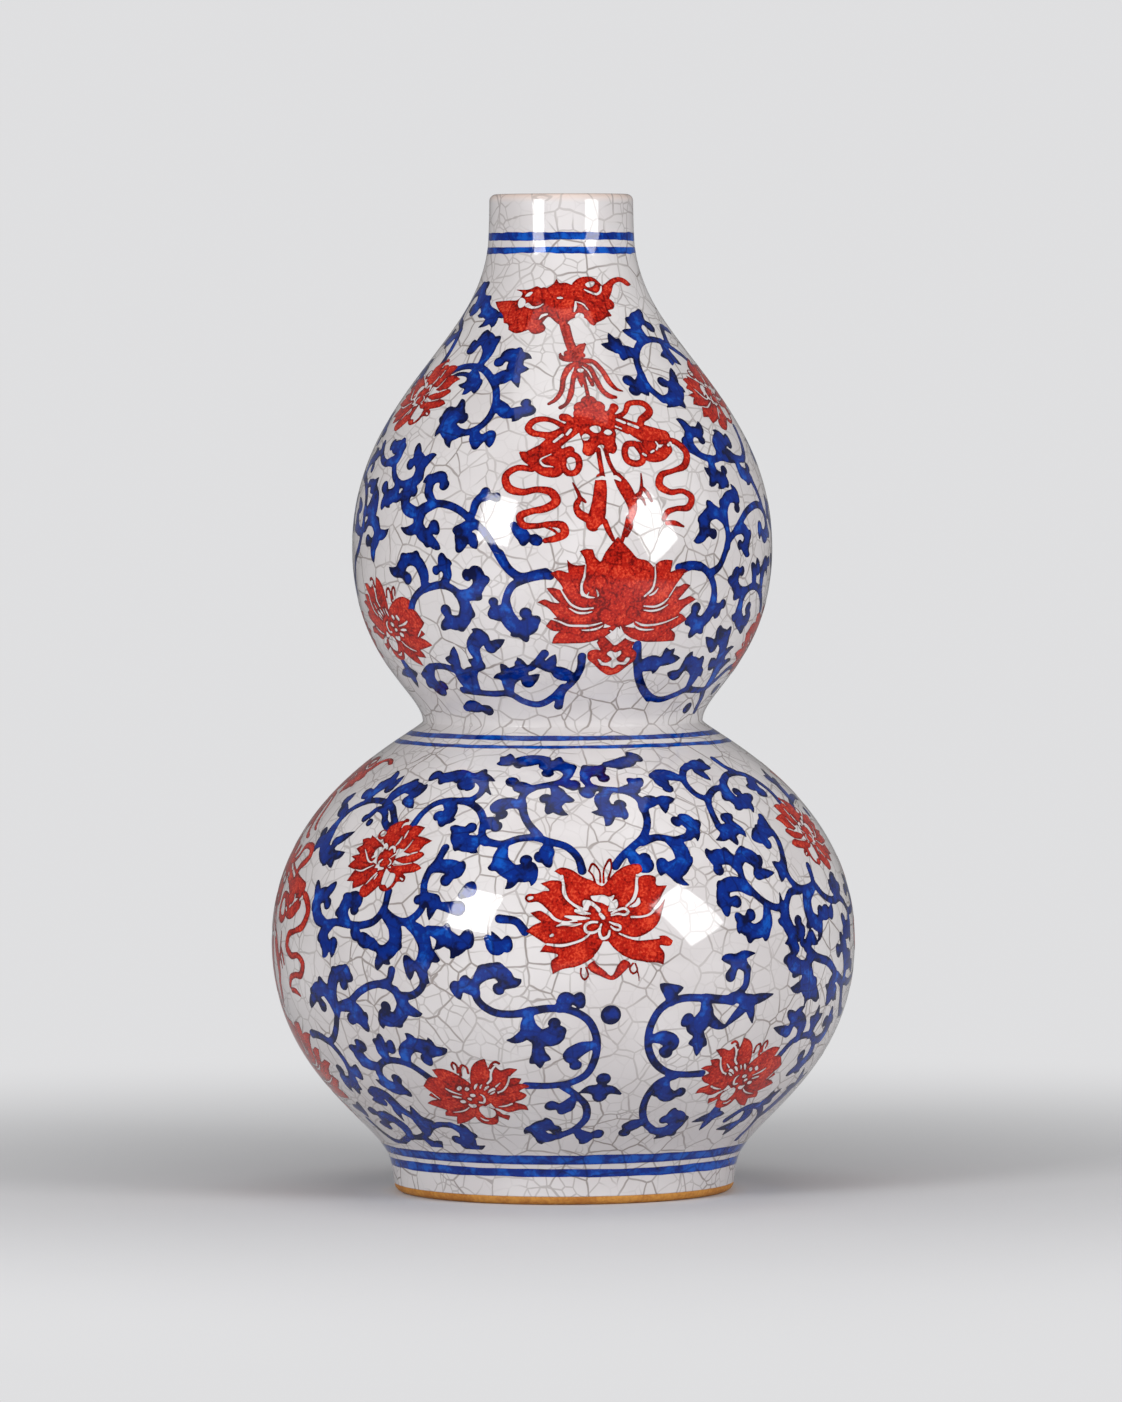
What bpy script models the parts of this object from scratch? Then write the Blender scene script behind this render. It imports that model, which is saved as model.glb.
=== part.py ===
"""Double-gourd porcelain vase, modelled as the thrown clay sections that a potter lutes together.

Six turned sections stand one on another: a foot ring, the bowl and the crown of the lower bulb,
the bowl and the crown of the upper bulb, and the collar with the lip. A ring of dried slip lies in
each of the five seams and swells into a wiped bead on the inside. Metres, +Z up, and the origin is
on the table at the middle of the foot.
"""

import math

import bmesh
import bpy
from mathutils import Vector

MM = 0.001

# Diameters of the outside
MOUTH_DIAMETER = 42.9 * MM
UPPER_BULB_DIAMETER = 126.3 * MM
WAIST_DIAMETER = 84.0 * MM
LOWER_BULB_DIAMETER = 175.7 * MM
FOOT_SIDE_DIAMETER = 102.4 * MM

# How far the clay sweeps out from the foot's side up to the seam over the foot
FOOT_SWEEP = 2.05 * MM

# Heights of the sections, from the table up
FOOT_HEIGHT = 11.8 * MM
LOWER_BOWL_HEIGHT = 63.7 * MM
LOWER_CROWN_HEIGHT = 66.3 * MM
UPPER_BOWL_HEIGHT = 52.2 * MM
UPPER_CROWN_HEIGHT = 94.0 * MM
COLLAR_HEIGHT = 12.0 * MM

# Clay thickness
COLLAR_WALL = 3.6 * MM
BODY_WALL = 4.6 * MM
BOWL_WALL = 5.4 * MM
FLOOR_THICKNESS = 6.4 * MM
FOOT_WALL = 6.2 * MM

# Small rounds, those of the foot limited by its wall
FOOT_EDGE_ROUND = min(2.4 * MM, FOOT_WALL * 0.4)
FOOT_BORE_CHAMFER = min(1.2 * MM, FOOT_WALL * 0.2)
FLOOR_ROUND = 9.0 * MM

# Seams
SLIP_THICKNESS = 0.8 * MM
SLIP_RECESS = 0.5 * MM
BEAD_HEIGHT = 5.0 * MM
BEAD_DEPTH = 1.3 * MM
SEAM_GAP = 0.3 * MM

# Fullness of each curve: how far an end keeps its direction, as a share of the section's height
COLLAR_FLARE_PULL = 0.332
UPPER_SHOULDER_PULL = 0.494
UPPER_BELLY_PULL = 0.642
WAIST_UPPER_PULL = 0.163
WAIST_LOWER_PULL = 0.045
LOWER_SHOULDER_PULL = 0.678
LOWER_BELLY_PULL = 0.588
FOOT_NECK_PULL = 0.19
FOOT_FLARE_PULL = 0.25
FOOT_SIDE_PULL = 0.35

# Outward lean of the clay where it leaves the foot and at the foot's side, sideways per height
FOOT_NECK_LEAN = 0.55
FOOT_SIDE_LEAN = 0.10

# Fineness of the turned surfaces
TURN_STEPS = 48
CURVE_STEPS = 8
SHORT_CURVE_STEPS = 4
SHARP_EDGE = math.radians(35.0)

# Levels of the seams
FOOT_SEAM = FOOT_HEIGHT
LOWER_EQUATOR = FOOT_SEAM + LOWER_BOWL_HEIGHT
WAIST = LOWER_EQUATOR + LOWER_CROWN_HEIGHT
UPPER_EQUATOR = WAIST + UPPER_BOWL_HEIGHT
COLLAR_SEAM = UPPER_EQUATOR + UPPER_CROWN_HEIGHT
LIP_TOP = COLLAR_SEAM + COLLAR_HEIGHT
FLOOR_TOP = FOOT_SEAM + FLOOR_THICKNESS
SEAM_HALF = SLIP_THICKNESS / 2 + SEAM_GAP

# Radii at the seams
MOUTH = MOUTH_DIAMETER / 2
UPPER_BELLY = UPPER_BULB_DIAMETER / 2
WAIST_RADIUS = WAIST_DIAMETER / 2
LOWER_BELLY = LOWER_BULB_DIAMETER / 2
FOOT_SIDE = FOOT_SIDE_DIAMETER / 2
FOOT_NECK = FOOT_SIDE + FOOT_SWEEP
FOOT_BORE = FOOT_SIDE - FOOT_WALL
NECK_BORE = MOUTH - COLLAR_WALL

GLAZED_WHITE = (0.76, 0.74, 0.73)
DRIED_SLIP = (0.66, 0.60, 0.52)
OCHRE_CLAY = (0.50, 0.24, 0.08)


def clear_scene():
    """Remove what the opened file holds, so that only the vase is in the scene."""
    for thing in list(bpy.data.objects):
        bpy.data.objects.remove(thing, do_unlink=True)


def finish(name, colour, roughness):
    """A plain Principled material."""
    material = bpy.data.materials.new(name)
    material.use_nodes = True
    shader = material.node_tree.nodes["Principled BSDF"]
    shader.inputs["Base Color"].default_value = (*colour, 1.0)
    shader.inputs["Roughness"].default_value = roughness
    shader.inputs["Metallic"].default_value = 0.0
    return material


def curve(low, low_pull, high, high_pull, low_lean=0.0, high_lean=0.0, steps=CURVE_STEPS):
    """Points and outward normals of a cubic curve from low to high, each given as (radius, height).

    An end leaves upright unless it leans, and its pull is the share of the height over which it
    keeps its direction.
    """
    rise = high[1] - low[1]
    corners = (
        Vector(low),
        Vector(low) + Vector((low_lean, 1.0)) * low_pull * rise,
        Vector(high) - Vector((high_lean, 1.0)) * high_pull * rise,
        Vector(high),
    )
    line = []
    for step in range(steps + 1):
        t = step / steps
        s = 1.0 - t
        shares = (s**3, 3 * s * s * t, 3 * s * t * t, t**3)
        point = sum((corner * share for corner, share in zip(corners, shares)), Vector((0.0, 0.0)))
        along = (
            (corners[1] - corners[0]) * s * s
            + (corners[2] - corners[1]) * 2 * s * t
            + (corners[3] - corners[2]) * t * t
        ).normalized()
        line.append((point, Vector((along[1], -along[0]))))
    return line


def outside(line):
    """The points of a curve."""
    return [point for point, normal in line]


def inside(line, low_wall, high_wall):
    """A curve set back by a wall that changes evenly from its low end to its high end."""
    last = len(line) - 1
    return [
        point - normal * (low_wall + (high_wall - low_wall) * step / last)
        for step, (point, normal) in enumerate(line)
    ]


def radius_at(points, height):
    """Radius of a rising line of points at one height, in line with its end pieces beyond them."""
    pairs = list(zip(points, points[1:]))
    for low, high in pairs:
        if height <= high[1]:
            break
    return low[0] + (high[0] - low[0]) * (height - low[1]) / (high[1] - low[1])


def between(points, low, high):
    """The part of a rising line of points that lies between two heights."""
    kept = [point for point in points if low < point[1] < high]
    return [
        Vector((radius_at(points, low), low)),
        *kept,
        Vector((radius_at(points, high), high)),
    ]


def arc(centre, size, start_angle, end_angle, steps=SHORT_CURVE_STEPS):
    """Points on a round from one angle to another, in degrees from straight out."""
    points = []
    for step in range(steps + 1):
        angle = math.radians(start_angle + (end_angle - start_angle) * step / steps)
        points.append(Vector((centre[0] + size * math.cos(angle), centre[1] + size * math.sin(angle))))
    return points


def turn(name, outline, material, closed=True):
    """Spin an outline of (radius, height) points round the upright axis into one closed solid."""
    work = bmesh.new()
    verts = [work.verts.new((radius, 0.0, height)) for radius, height in outline]
    edges = [work.edges.new(pair) for pair in zip(verts, verts[1:])]
    if closed:
        edges.append(work.edges.new((verts[-1], verts[0])))
    bmesh.ops.spin(
        work,
        geom=verts + edges,
        cent=(0.0, 0.0, 0.0),
        axis=(0.0, 0.0, 1.0),
        angle=math.tau,
        steps=TURN_STEPS,
        use_merge=True,
    )
    bmesh.ops.remove_doubles(work, verts=work.verts, dist=0.002 * MM)
    bmesh.ops.recalc_face_normals(work, faces=work.faces)
    mesh = bpy.data.meshes.new(name)
    work.to_mesh(mesh)
    work.free()
    mesh.materials.append(material)
    mesh.shade_smooth()
    mesh.set_sharp_from_angle(angle=SHARP_EDGE)
    piece = bpy.data.objects.new(name, mesh)
    bpy.context.collection.objects.link(piece)
    return piece


def wall_section(name, outer, inner, low, high, material):
    """A ring of wall between two seams, cut level at both ends clear of the slip."""
    bottom = low + SEAM_HALF
    top = high - SEAM_HALF
    return turn(name, between(outer, bottom, top) + between(inner, bottom, top)[::-1], material)


def foot_ring(side, glaze, bare_clay):
    """The turned foot, glazed down to the rounded edge, with a bare flat ring that rests on the table."""
    top = FOOT_SEAM - SEAM_HALF
    edge = arc((FOOT_SIDE - FOOT_EDGE_ROUND, FOOT_EDGE_ROUND), FOOT_EDGE_ROUND, -90.0, 0.0)
    outline = [
        Vector((FOOT_BORE, top)),
        Vector((FOOT_BORE, FOOT_BORE_CHAMFER)),
        Vector((FOOT_BORE + FOOT_BORE_CHAMFER, 0.0)),
        *edge[:-1],
        *between(outside(side), FOOT_EDGE_ROUND, top),
    ]
    ring = turn("foot_ring", outline, glaze)
    ring.data.materials.append(bare_clay)
    for face in ring.data.polygons:
        if face.center.z < FOOT_EDGE_ROUND:
            face.material_index = 1
    return ring


def lower_bowl(belly, inner, material):
    """The bowl of the lower bulb, closed by the vase's floor, which meets the wall in a round."""
    bottom = FOOT_SEAM + SEAM_HALF
    top = LOWER_EQUATOR - SEAM_HALF
    lean = radius_at(inner, FLOOR_TOP + MM) - radius_at(inner, FLOOR_TOP)
    lean_angle = math.atan(lean / MM)
    hollow = between(inner, FLOOR_TOP + FLOOR_ROUND * (1.0 - math.sin(lean_angle)), top)
    round_centre = (hollow[0][0] - FLOOR_ROUND * math.cos(lean_angle), FLOOR_TOP + FLOOR_ROUND)
    floor_edge = arc(round_centre, FLOOR_ROUND, -90.0, -math.degrees(lean_angle))
    outline = [
        Vector((0.0, bottom)),
        *between(outside(belly), bottom, top),
        *hollow[:0:-1],
        *floor_edge[::-1],
        Vector((0.0, FLOOR_TOP)),
    ]
    return turn("lower_bulb_bowl", outline, material, closed=False)


def collar(material):
    """The straight neck that ends in the rounded lip."""
    bottom = COLLAR_SEAM + SEAM_HALF
    lip_round = COLLAR_WALL / 2
    lip = arc((MOUTH - lip_round, LIP_TOP - lip_round), lip_round, 0.0, 180.0, 2 * SHORT_CURVE_STEPS)
    outline = [
        Vector((MOUTH, bottom)),
        *lip,
        Vector((NECK_BORE, bottom)),
    ]
    return turn("neck_collar", outline, material)


def slip_joint(name, level, outer, inner_below, inner_above, material):
    """Dried slip in a seam: a thin web between the clay faces, and a wiped bead on the inside.

    The bead lies clear of the wall below the seam and of the wall above it.
    """
    web_top = level + SLIP_THICKNESS / 2
    web_bottom = level - SLIP_THICKNESS / 2
    bead_top = level + BEAD_HEIGHT / 2
    bead_bottom = level - BEAD_HEIGHT / 2
    edge = radius_at(outer, web_bottom) - SLIP_RECESS
    root = min(
        radius_at(inner_below, bead_bottom),
        radius_at(inner_below, level),
        radius_at(inner_above, level),
        radius_at(inner_above, bead_top),
    ) - SEAM_GAP
    outline = [
        Vector((edge, web_bottom)),
        Vector((edge, web_top)),
        Vector((root, web_top)),
        Vector((root, bead_top)),
        Vector((root - BEAD_DEPTH * 0.7, level + BEAD_HEIGHT / 4)),
        Vector((root - BEAD_DEPTH, level)),
        Vector((root - BEAD_DEPTH * 0.7, level - BEAD_HEIGHT / 4)),
        Vector((root, bead_bottom)),
        Vector((root, web_bottom)),
    ]
    return turn(name, outline, material)


def foot_slip_joint(outer, material):
    """Dried slip between the foot ring and the bowl, set back from the outside and from the bore."""
    web_top = FOOT_SEAM + SLIP_THICKNESS / 2
    web_bottom = FOOT_SEAM - SLIP_THICKNESS / 2
    edge = radius_at(outer, web_bottom) - SLIP_RECESS
    outline = [
        Vector((edge, web_bottom)),
        Vector((edge, web_top)),
        Vector((FOOT_BORE + SLIP_RECESS, web_top)),
        Vector((FOOT_BORE + SLIP_RECESS, web_bottom)),
    ]
    return turn("foot_slip_joint", outline, material)


def build():
    """Turn every section and lay the slip in every seam."""
    clear_scene()
    porcelain = finish("glazed_porcelain", GLAZED_WHITE, 0.12)
    slip = finish("dried_slip", DRIED_SLIP, 0.85)
    ochre = finish("ochre_dressed_clay", OCHRE_CLAY, 0.75)

    foot_line = curve(
        (FOOT_SIDE, FOOT_EDGE_ROUND), FOOT_SIDE_PULL, (FOOT_NECK, FOOT_SEAM), FOOT_FLARE_PULL,
        low_lean=FOOT_SIDE_LEAN, high_lean=FOOT_NECK_LEAN, steps=SHORT_CURVE_STEPS,
    )
    lower_bowl_line = curve(
        (FOOT_NECK, FOOT_SEAM), FOOT_NECK_PULL, (LOWER_BELLY, LOWER_EQUATOR), LOWER_BELLY_PULL,
        low_lean=FOOT_NECK_LEAN,
    )
    lower_crown_line = curve(
        (LOWER_BELLY, LOWER_EQUATOR), LOWER_SHOULDER_PULL, (WAIST_RADIUS, WAIST), WAIST_LOWER_PULL
    )
    upper_bowl_line = curve(
        (WAIST_RADIUS, WAIST), WAIST_UPPER_PULL, (UPPER_BELLY, UPPER_EQUATOR), UPPER_BELLY_PULL
    )
    upper_crown_line = curve(
        (UPPER_BELLY, UPPER_EQUATOR), UPPER_SHOULDER_PULL, (MOUTH, COLLAR_SEAM), COLLAR_FLARE_PULL
    )
    lower_bowl_inner = inside(lower_bowl_line, BOWL_WALL, BODY_WALL)
    lower_crown_inner = inside(lower_crown_line, BODY_WALL, BODY_WALL)
    upper_bowl_inner = inside(upper_bowl_line, BODY_WALL, BODY_WALL)
    upper_crown_inner = inside(upper_crown_line, BODY_WALL, COLLAR_WALL)
    collar_inner = [Vector((NECK_BORE, COLLAR_SEAM)), Vector((NECK_BORE, LIP_TOP))]

    foot_ring(foot_line, porcelain, ochre)
    lower_bowl(lower_bowl_line, lower_bowl_inner, porcelain)
    sections = (
        ("lower_bulb_crown", lower_crown_line, lower_crown_inner, LOWER_EQUATOR, WAIST),
        ("upper_bulb_bowl", upper_bowl_line, upper_bowl_inner, WAIST, UPPER_EQUATOR),
        ("upper_bulb_crown", upper_crown_line, upper_crown_inner, UPPER_EQUATOR, COLLAR_SEAM),
    )
    for name, outer_line, inner, low, high in sections:
        wall_section(name, outside(outer_line), inner, low, high, porcelain)
    collar(porcelain)

    foot_slip_joint(outside(foot_line), slip)
    seams = (
        ("lower_equator_slip_joint", LOWER_EQUATOR, lower_crown_line, lower_bowl_inner, lower_crown_inner),
        ("waist_slip_joint", WAIST, upper_bowl_line, lower_crown_inner, upper_bowl_inner),
        ("upper_equator_slip_joint", UPPER_EQUATOR, upper_crown_line, upper_bowl_inner, upper_crown_inner),
        ("collar_slip_joint", COLLAR_SEAM, upper_crown_line, upper_crown_inner, collar_inner),
    )
    for name, level, outer_line, inner_below, inner_above in seams:
        slip_joint(name, level, outside(outer_line), inner_below, inner_above, slip)


build()
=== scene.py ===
"""Looks of the double-gourd vase: its crackled glaze, its cobalt and red painting, and the studio.

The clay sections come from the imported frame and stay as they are. This file coats them with glaze, paints
the glaze, gives every piece its finish, and sets up the floor, the lights and the camera.
Lengths are in millimetres, and MM turns them into Blender's metres. A place on the wall is an azimuth,
which is 0 towards the viewer and grows to the viewer's right, and a distance along the wall from the foot.
"""

import math

import bmesh
import bpy
import numpy as np
from mathutils import Euler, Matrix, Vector
from mathutils.geometry import delaunay_2d_cdt


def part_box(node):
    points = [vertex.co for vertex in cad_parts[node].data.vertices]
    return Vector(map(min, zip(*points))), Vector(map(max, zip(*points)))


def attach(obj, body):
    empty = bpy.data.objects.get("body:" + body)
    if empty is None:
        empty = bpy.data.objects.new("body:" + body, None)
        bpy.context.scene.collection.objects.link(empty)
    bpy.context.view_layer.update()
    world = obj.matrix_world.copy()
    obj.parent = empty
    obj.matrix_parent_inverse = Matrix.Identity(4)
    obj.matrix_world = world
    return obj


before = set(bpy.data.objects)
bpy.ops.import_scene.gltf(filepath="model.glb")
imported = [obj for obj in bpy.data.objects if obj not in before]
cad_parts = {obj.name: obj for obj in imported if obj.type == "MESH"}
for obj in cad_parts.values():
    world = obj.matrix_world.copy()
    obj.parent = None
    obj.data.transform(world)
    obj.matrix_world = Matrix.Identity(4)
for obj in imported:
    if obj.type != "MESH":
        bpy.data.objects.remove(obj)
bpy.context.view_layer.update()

bl_info = {
    "name": "Double-gourd vase painter",
    "version": (1, 0, 0),
    "blender": (4, 5, 0),
    "location": "3D View > Sidebar > Vase",
    "description": "Glazes, paints and lights a double-gourd vase built from turned clay sections",
    "category": "Object",
}

MM = 0.001
BODY = "root"
HALF_TURN = math.pi
FULL_TURN = 2 * math.pi


def seam_height(lower, upper):
    """Height of the seam between two turned sections, in mm."""
    return (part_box(lower)[1].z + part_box(upper)[0].z) / 2 / MM


def widest_radius(node):
    """Largest radius of a turned section, in mm."""
    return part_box(node)[1].x / MM


# Sizes and colours that a user would change

def length(name, text, millimetres):
    """A length property in metres whose default is given in mm."""
    return bpy.props.FloatProperty(
        name=name, description=text, default=millimetres * MM, min=0.0, precision=5, unit="LENGTH"
    )


def share(name, text, value):
    """A property that runs from 0 to 1."""
    return bpy.props.FloatProperty(
        name=name, description=text, default=value, min=0.0, max=1.0, subtype="FACTOR"
    )


def colour(name, text, value):
    """A colour property whose default is given in sRGB from 0 to 255."""
    return bpy.props.FloatVectorProperty(
        name=name,
        description=text,
        default=tuple(linear(channel) for channel in value),
        min=0.0,
        max=1.0,
        size=3,
        subtype="COLOR",
    )


def linear(channel):
    """An sRGB channel from 0 to 255 as a linear value."""
    part = channel / 255
    return part / 12.92 if part <= 0.04045 else ((part + 0.055) / 1.055) ** 2.4


class VaseSizes(bpy.types.PropertyGroup):
    """The turned outline, read from the clay sections, and the glaze's thickness."""

    lip_top: length("Lip top", "Height of the lip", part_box("neck_collar")[1].z / MM)
    mouth_radius: length("Mouth radius", "Outer radius of the collar", widest_radius("neck_collar"))
    upper_radius: length("Upper radius", "Radius of the upper bulb", widest_radius("upper_bulb_bowl"))
    waist_radius: length("Waist radius", "Radius of the waist", 42.0)
    lower_radius: length("Lower radius", "Radius of the lower bulb", widest_radius("lower_bulb_bowl"))
    foot_top_radius: length("Foot top radius", "Radius where the bowl meets the foot", 53.25)
    foot_side_radius: length("Foot side radius", "Radius of the foot over its rounded edge", 51.2)
    resting_radius: length("Resting radius", "Outer radius of the flat resting ring", 48.8)
    foot_bore: length("Foot bore", "Inner radius of the foot ring", 45.0)
    edge_round: length("Edge round", "Rounding of the foot's lower edge", 2.4)
    lip_round: length("Lip round", "Radius of the rounded lip", 1.8)
    collar_wall: length("Collar wall", "Wall of the collar", 3.6)
    body_wall: length("Body wall", "Wall of the bulbs", 4.6)
    floor_top: length("Floor top", "Height of the vase's floor inside", 18.2)
    base_height: length("Base height", "Height of the bowl's underside in the foot", 12.5)
    glaze: length("Glaze", "Thickness of the glaze outside", 0.2)
    inside_glaze: length("Inside glaze", "How far the glaze stands off the clay inside", 0.45)


class VaseColours(bpy.types.PropertyGroup):
    """The colours of the glaze, the clay and the painting."""

    glaze: colour("Glaze", "White glaze", (215, 211, 211))
    glaze_shade: colour("Glaze shade", "Greyer patches of the glaze", (203, 198, 198))
    crack: colour("Crack", "Stained crackle lines", (140, 131, 127))
    lip: colour("Lip", "Warm tint where the glaze thins over the lip", (226, 204, 193))
    cobalt: colour("Cobalt", "Blue painting", (2, 38, 124))
    cobalt_light: colour("Light cobalt", "Thin blue wash", (12, 82, 180))
    cobalt_dark: colour("Dark cobalt", "Pooled blue", (1, 9, 54))
    red: colour("Red", "Iron-red enamel", (172, 26, 12))
    red_light: colour("Light red", "Thin red enamel", (210, 66, 40))
    red_dark: colour("Dark red", "Red outlines", (104, 6, 3))
    ochre: colour("Ochre", "Wash on the bare foot rim", (203, 143, 62))
    ochre_shade: colour("Ochre shade", "Darker patches of the wash", (170, 106, 38))
    clay: colour("Clay", "Fired porcelain body", (222, 214, 202))
    slip: colour("Slip", "Dried slip in the seams", (206, 197, 181))
    floor: colour("Floor", "Pale floor", (212, 212, 214))


class StageSettings(bpy.types.PropertyGroup):
    """The lights and the camera."""

    window_radiance: bpy.props.FloatProperty(
        name="Window radiance", description="Brightness of the two window lights", default=12.5, min=0.0
    )
    sky_level: share("Sky level", "Brightness of the even light all round", 0.2)
    top_power: bpy.props.FloatProperty(
        name="Top power", description="Power of the soft light overhead in watts", default=9.0, min=0.0
    )
    camera_distance: length("Camera distance", "From the vase's axis to the camera", 2800)
    camera_height: length("Camera height", "Height of the camera over the floor", 265)
    camera_pitch: bpy.props.FloatProperty(
        name="Camera pitch",
        description="How far the camera looks down",
        default=math.radians(2.40),
        subtype="ANGLE",
        unit="ROTATION",
    )


# The turned wall

CURVE_STEPS = 200
FACING_REACH = 0.7  # how far along the wall its slope is measured, in mm
GLAZE_SWELL = (281.0, 18.0, 0.34)  # middle height, reach and extra thickness in mm


def drawn_curve(low, high, pulls, leans=(0.0, 0.0)):
    """A cubic curve from low to high in (radius, height), with its pulls and leans as shares of the rise."""
    low = np.array(low)
    high = np.array(high)
    rise = high[1] - low[1]
    first = low + pulls[0] * rise * np.array((leans[0], 1.0))
    second = high - pulls[1] * rise * np.array((leans[1], 1.0))
    t = np.linspace(0.0, 1.0, CURVE_STEPS + 1)[:, None]
    return (1 - t) ** 3 * low + 3 * (1 - t) ** 2 * t * first + 3 * (1 - t) * t**2 * second + t**3 * high


class Wall:
    """The outer line of the clay, from the resting ring up to the lip, in mm."""

    def __init__(self, sizes):
        self.sizes = sizes
        foot_seam = seam_height("foot_ring", "lower_bulb_bowl")
        lower_equator = seam_height("lower_bulb_bowl", "lower_bulb_crown")
        waist = seam_height("lower_bulb_crown", "upper_bulb_bowl")
        upper_equator = seam_height("upper_bulb_bowl", "upper_bulb_crown")
        collar = seam_height("upper_bulb_crown", "neck_collar")
        self.seams = (foot_seam, lower_equator, waist, upper_equator, collar)
        edge = (sizes.foot_side_radius / MM, sizes.edge_round / MM)
        foot_top = (sizes.foot_top_radius / MM, foot_seam)
        lower = (sizes.lower_radius / MM, lower_equator)
        middle = (sizes.waist_radius / MM, waist)
        upper = (sizes.upper_radius / MM, upper_equator)
        neck = (sizes.mouth_radius / MM, collar)
        straight = (sizes.mouth_radius / MM, (sizes.lip_top - sizes.lip_round) / MM)
        runs = [
            np.array([(sizes.resting_radius / MM, 0.0)]),
            drawn_curve(edge, foot_top, (0.35, 0.25), (0.10, 0.55)),
            drawn_curve(foot_top, lower, (0.19, 0.588), (0.55, 0.0))[1:],
            drawn_curve(lower, middle, (0.678, 0.045))[1:],
            drawn_curve(middle, upper, (0.163, 0.642))[1:],
            drawn_curve(upper, neck, (0.494, 0.332))[1:],
            np.array([straight]),
        ]
        line = np.concatenate(runs)
        self.radius = line[:, 0]
        self.height = line[:, 1]
        self.along = np.concatenate([[0.0], np.cumsum(np.hypot(*np.diff(line, axis=0).T))])

    def radius_at(self, along):
        """Radius at a distance along the wall."""
        return np.interp(along, self.along, self.radius)

    def height_at(self, along):
        """Height at a distance along the wall."""
        return np.interp(along, self.along, self.height)

    def along_at(self, height):
        """Distance along the wall at a height."""
        return float(np.interp(height, self.height, self.along))

    def facing(self, along):
        """The outward direction as (radial, upward) parts."""
        below = np.clip(along - FACING_REACH, 0.0, self.along[-1])
        above = np.clip(along + FACING_REACH, 0.0, self.along[-1])
        rise = self.height_at(above) - self.height_at(below)
        out = self.radius_at(above) - self.radius_at(below)
        size = np.hypot(rise, out)
        return rise / size, -out / size

    def glaze_at(self, along):
        """Thickness of the outer glaze, thicker under the collar where the clay's flat rings stand out."""
        middle, reach, extra = GLAZE_SWELL
        away = np.clip(np.abs(self.height_at(along) - middle) / reach, 0.0, 1.0)
        return self.sizes.glaze / MM + extra * np.cos(0.5 * math.pi * away) ** 2

    def point(self, azimuth, along, lift):
        """Points in metres, lift mm outside the clay."""
        radial, upward = self.facing(along)
        radius = self.radius_at(along) + lift * radial
        height = self.height_at(along) + lift * upward
        return np.stack([radius * np.sin(azimuth), -radius * np.cos(azimuth), height], -1) * MM

    def normal(self, azimuth, along):
        """Outward directions at places on the wall."""
        radial, upward = self.facing(along)
        return np.stack([radial * np.sin(azimuth), -radial * np.cos(azimuth), upward + 0 * azimuth], -1)


# Painting on the unrolled wall

BRUSH_STEP = 0.8
FAR = 9.0  # the distance that stands for bare glaze, in mm
MARGIN = 3.0  # how far round a stroke the patch changes
STROKE_REACH = 2.2  # how far from a stroke's own edge its distance is worked out
EDGE_BLEND = 0.3
FINEST = 0.06  # the least half-width of a stroke
TINY = 1e-9  # this and SLIVER keep a division by nothing away
SLIVER = 1e-6
TIP = 1  # marks a sharp point of an outline
WRAP = 3  # points repeated at each end of a smooth closed outline


def smooth_run(points):
    """Points along a curve through the given ones, about every BRUSH_STEP mm. Later columns follow along."""
    points = np.array(points, float)
    if len(points) < 2:
        return points
    spans = np.hypot(*np.diff(points[:, :2], axis=0).T) + SLIVER
    slopes = np.diff(points, axis=0) / spans[:, None]
    tangents = np.empty_like(points)
    tangents[0] = slopes[0]
    tangents[-1] = slopes[-1]
    before = spans[:-1, None]
    after = spans[1:, None]
    tangents[1:-1] = (slopes[:-1] * after + slopes[1:] * before) / (before + after)
    made = [points[:1]]
    for i, span in enumerate(spans):
        t = np.linspace(0.0, 1.0, max(2, math.ceil(span / BRUSH_STEP) + 1))[1:, None]
        start = (2 * t**3 - 3 * t**2 + 1) * points[i] + (t**3 - 2 * t**2 + t) * span * tangents[i]
        end = (3 * t**2 - 2 * t**3) * points[i + 1] + (t**3 - t**2) * span * tangents[i + 1]
        made.append(start + end)
    return np.concatenate(made)


def closed_outline(points):
    """A closed outline through the points. It is smooth, but sharp at a point marked TIP."""
    corners = [i for i, p in enumerate(points) if len(p) > 2]
    plain = [p[:2] for p in points]
    if not corners:
        wrapped = smooth_run(plain[-WRAP:] + plain + plain[:WRAP])
        starts = np.flatnonzero(np.all(np.isclose(wrapped, plain[0]), axis=1))
        return wrapped[starts[0] : starts[-1]]
    start = corners[0]
    plain = plain[start:] + plain[: start + 1]
    stops = [i - start for i in corners] + [len(points)]
    runs = [smooth_run(plain[a : b + 1])[:-1] for a, b in zip(stops[:-1], stops[1:])]
    return np.concatenate(runs)


class Spot:
    """A place for a motif: its middle on the wall, its scale, its turn and whether it is mirrored."""

    def __init__(self, wall, azimuth, height, scale=1.0, turn=0.0, mirrored=False):
        self.azimuth = math.radians(azimuth)
        self.along = wall.along_at(height)
        self.middle_radius = wall.radius_at(self.along)
        self.scale = scale
        self.turn = math.radians(turn)
        self.side = -1.0 if mirrored else 1.0

    def place(self, points):
        """Motif points in mm, to azimuth and distance along the wall. Further columns are scaled."""
        points = np.array(points, float)
        across = self.side * self.scale * points[:, 0]
        up = self.scale * points[:, 1]
        turned = across * math.cos(self.turn) - up * math.sin(self.turn)
        raised = across * math.sin(self.turn) + up * math.cos(self.turn)
        azimuth = self.azimuth + turned / self.middle_radius
        return np.column_stack([azimuth, self.along + raised, self.scale * points[:, 2:]])


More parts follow.
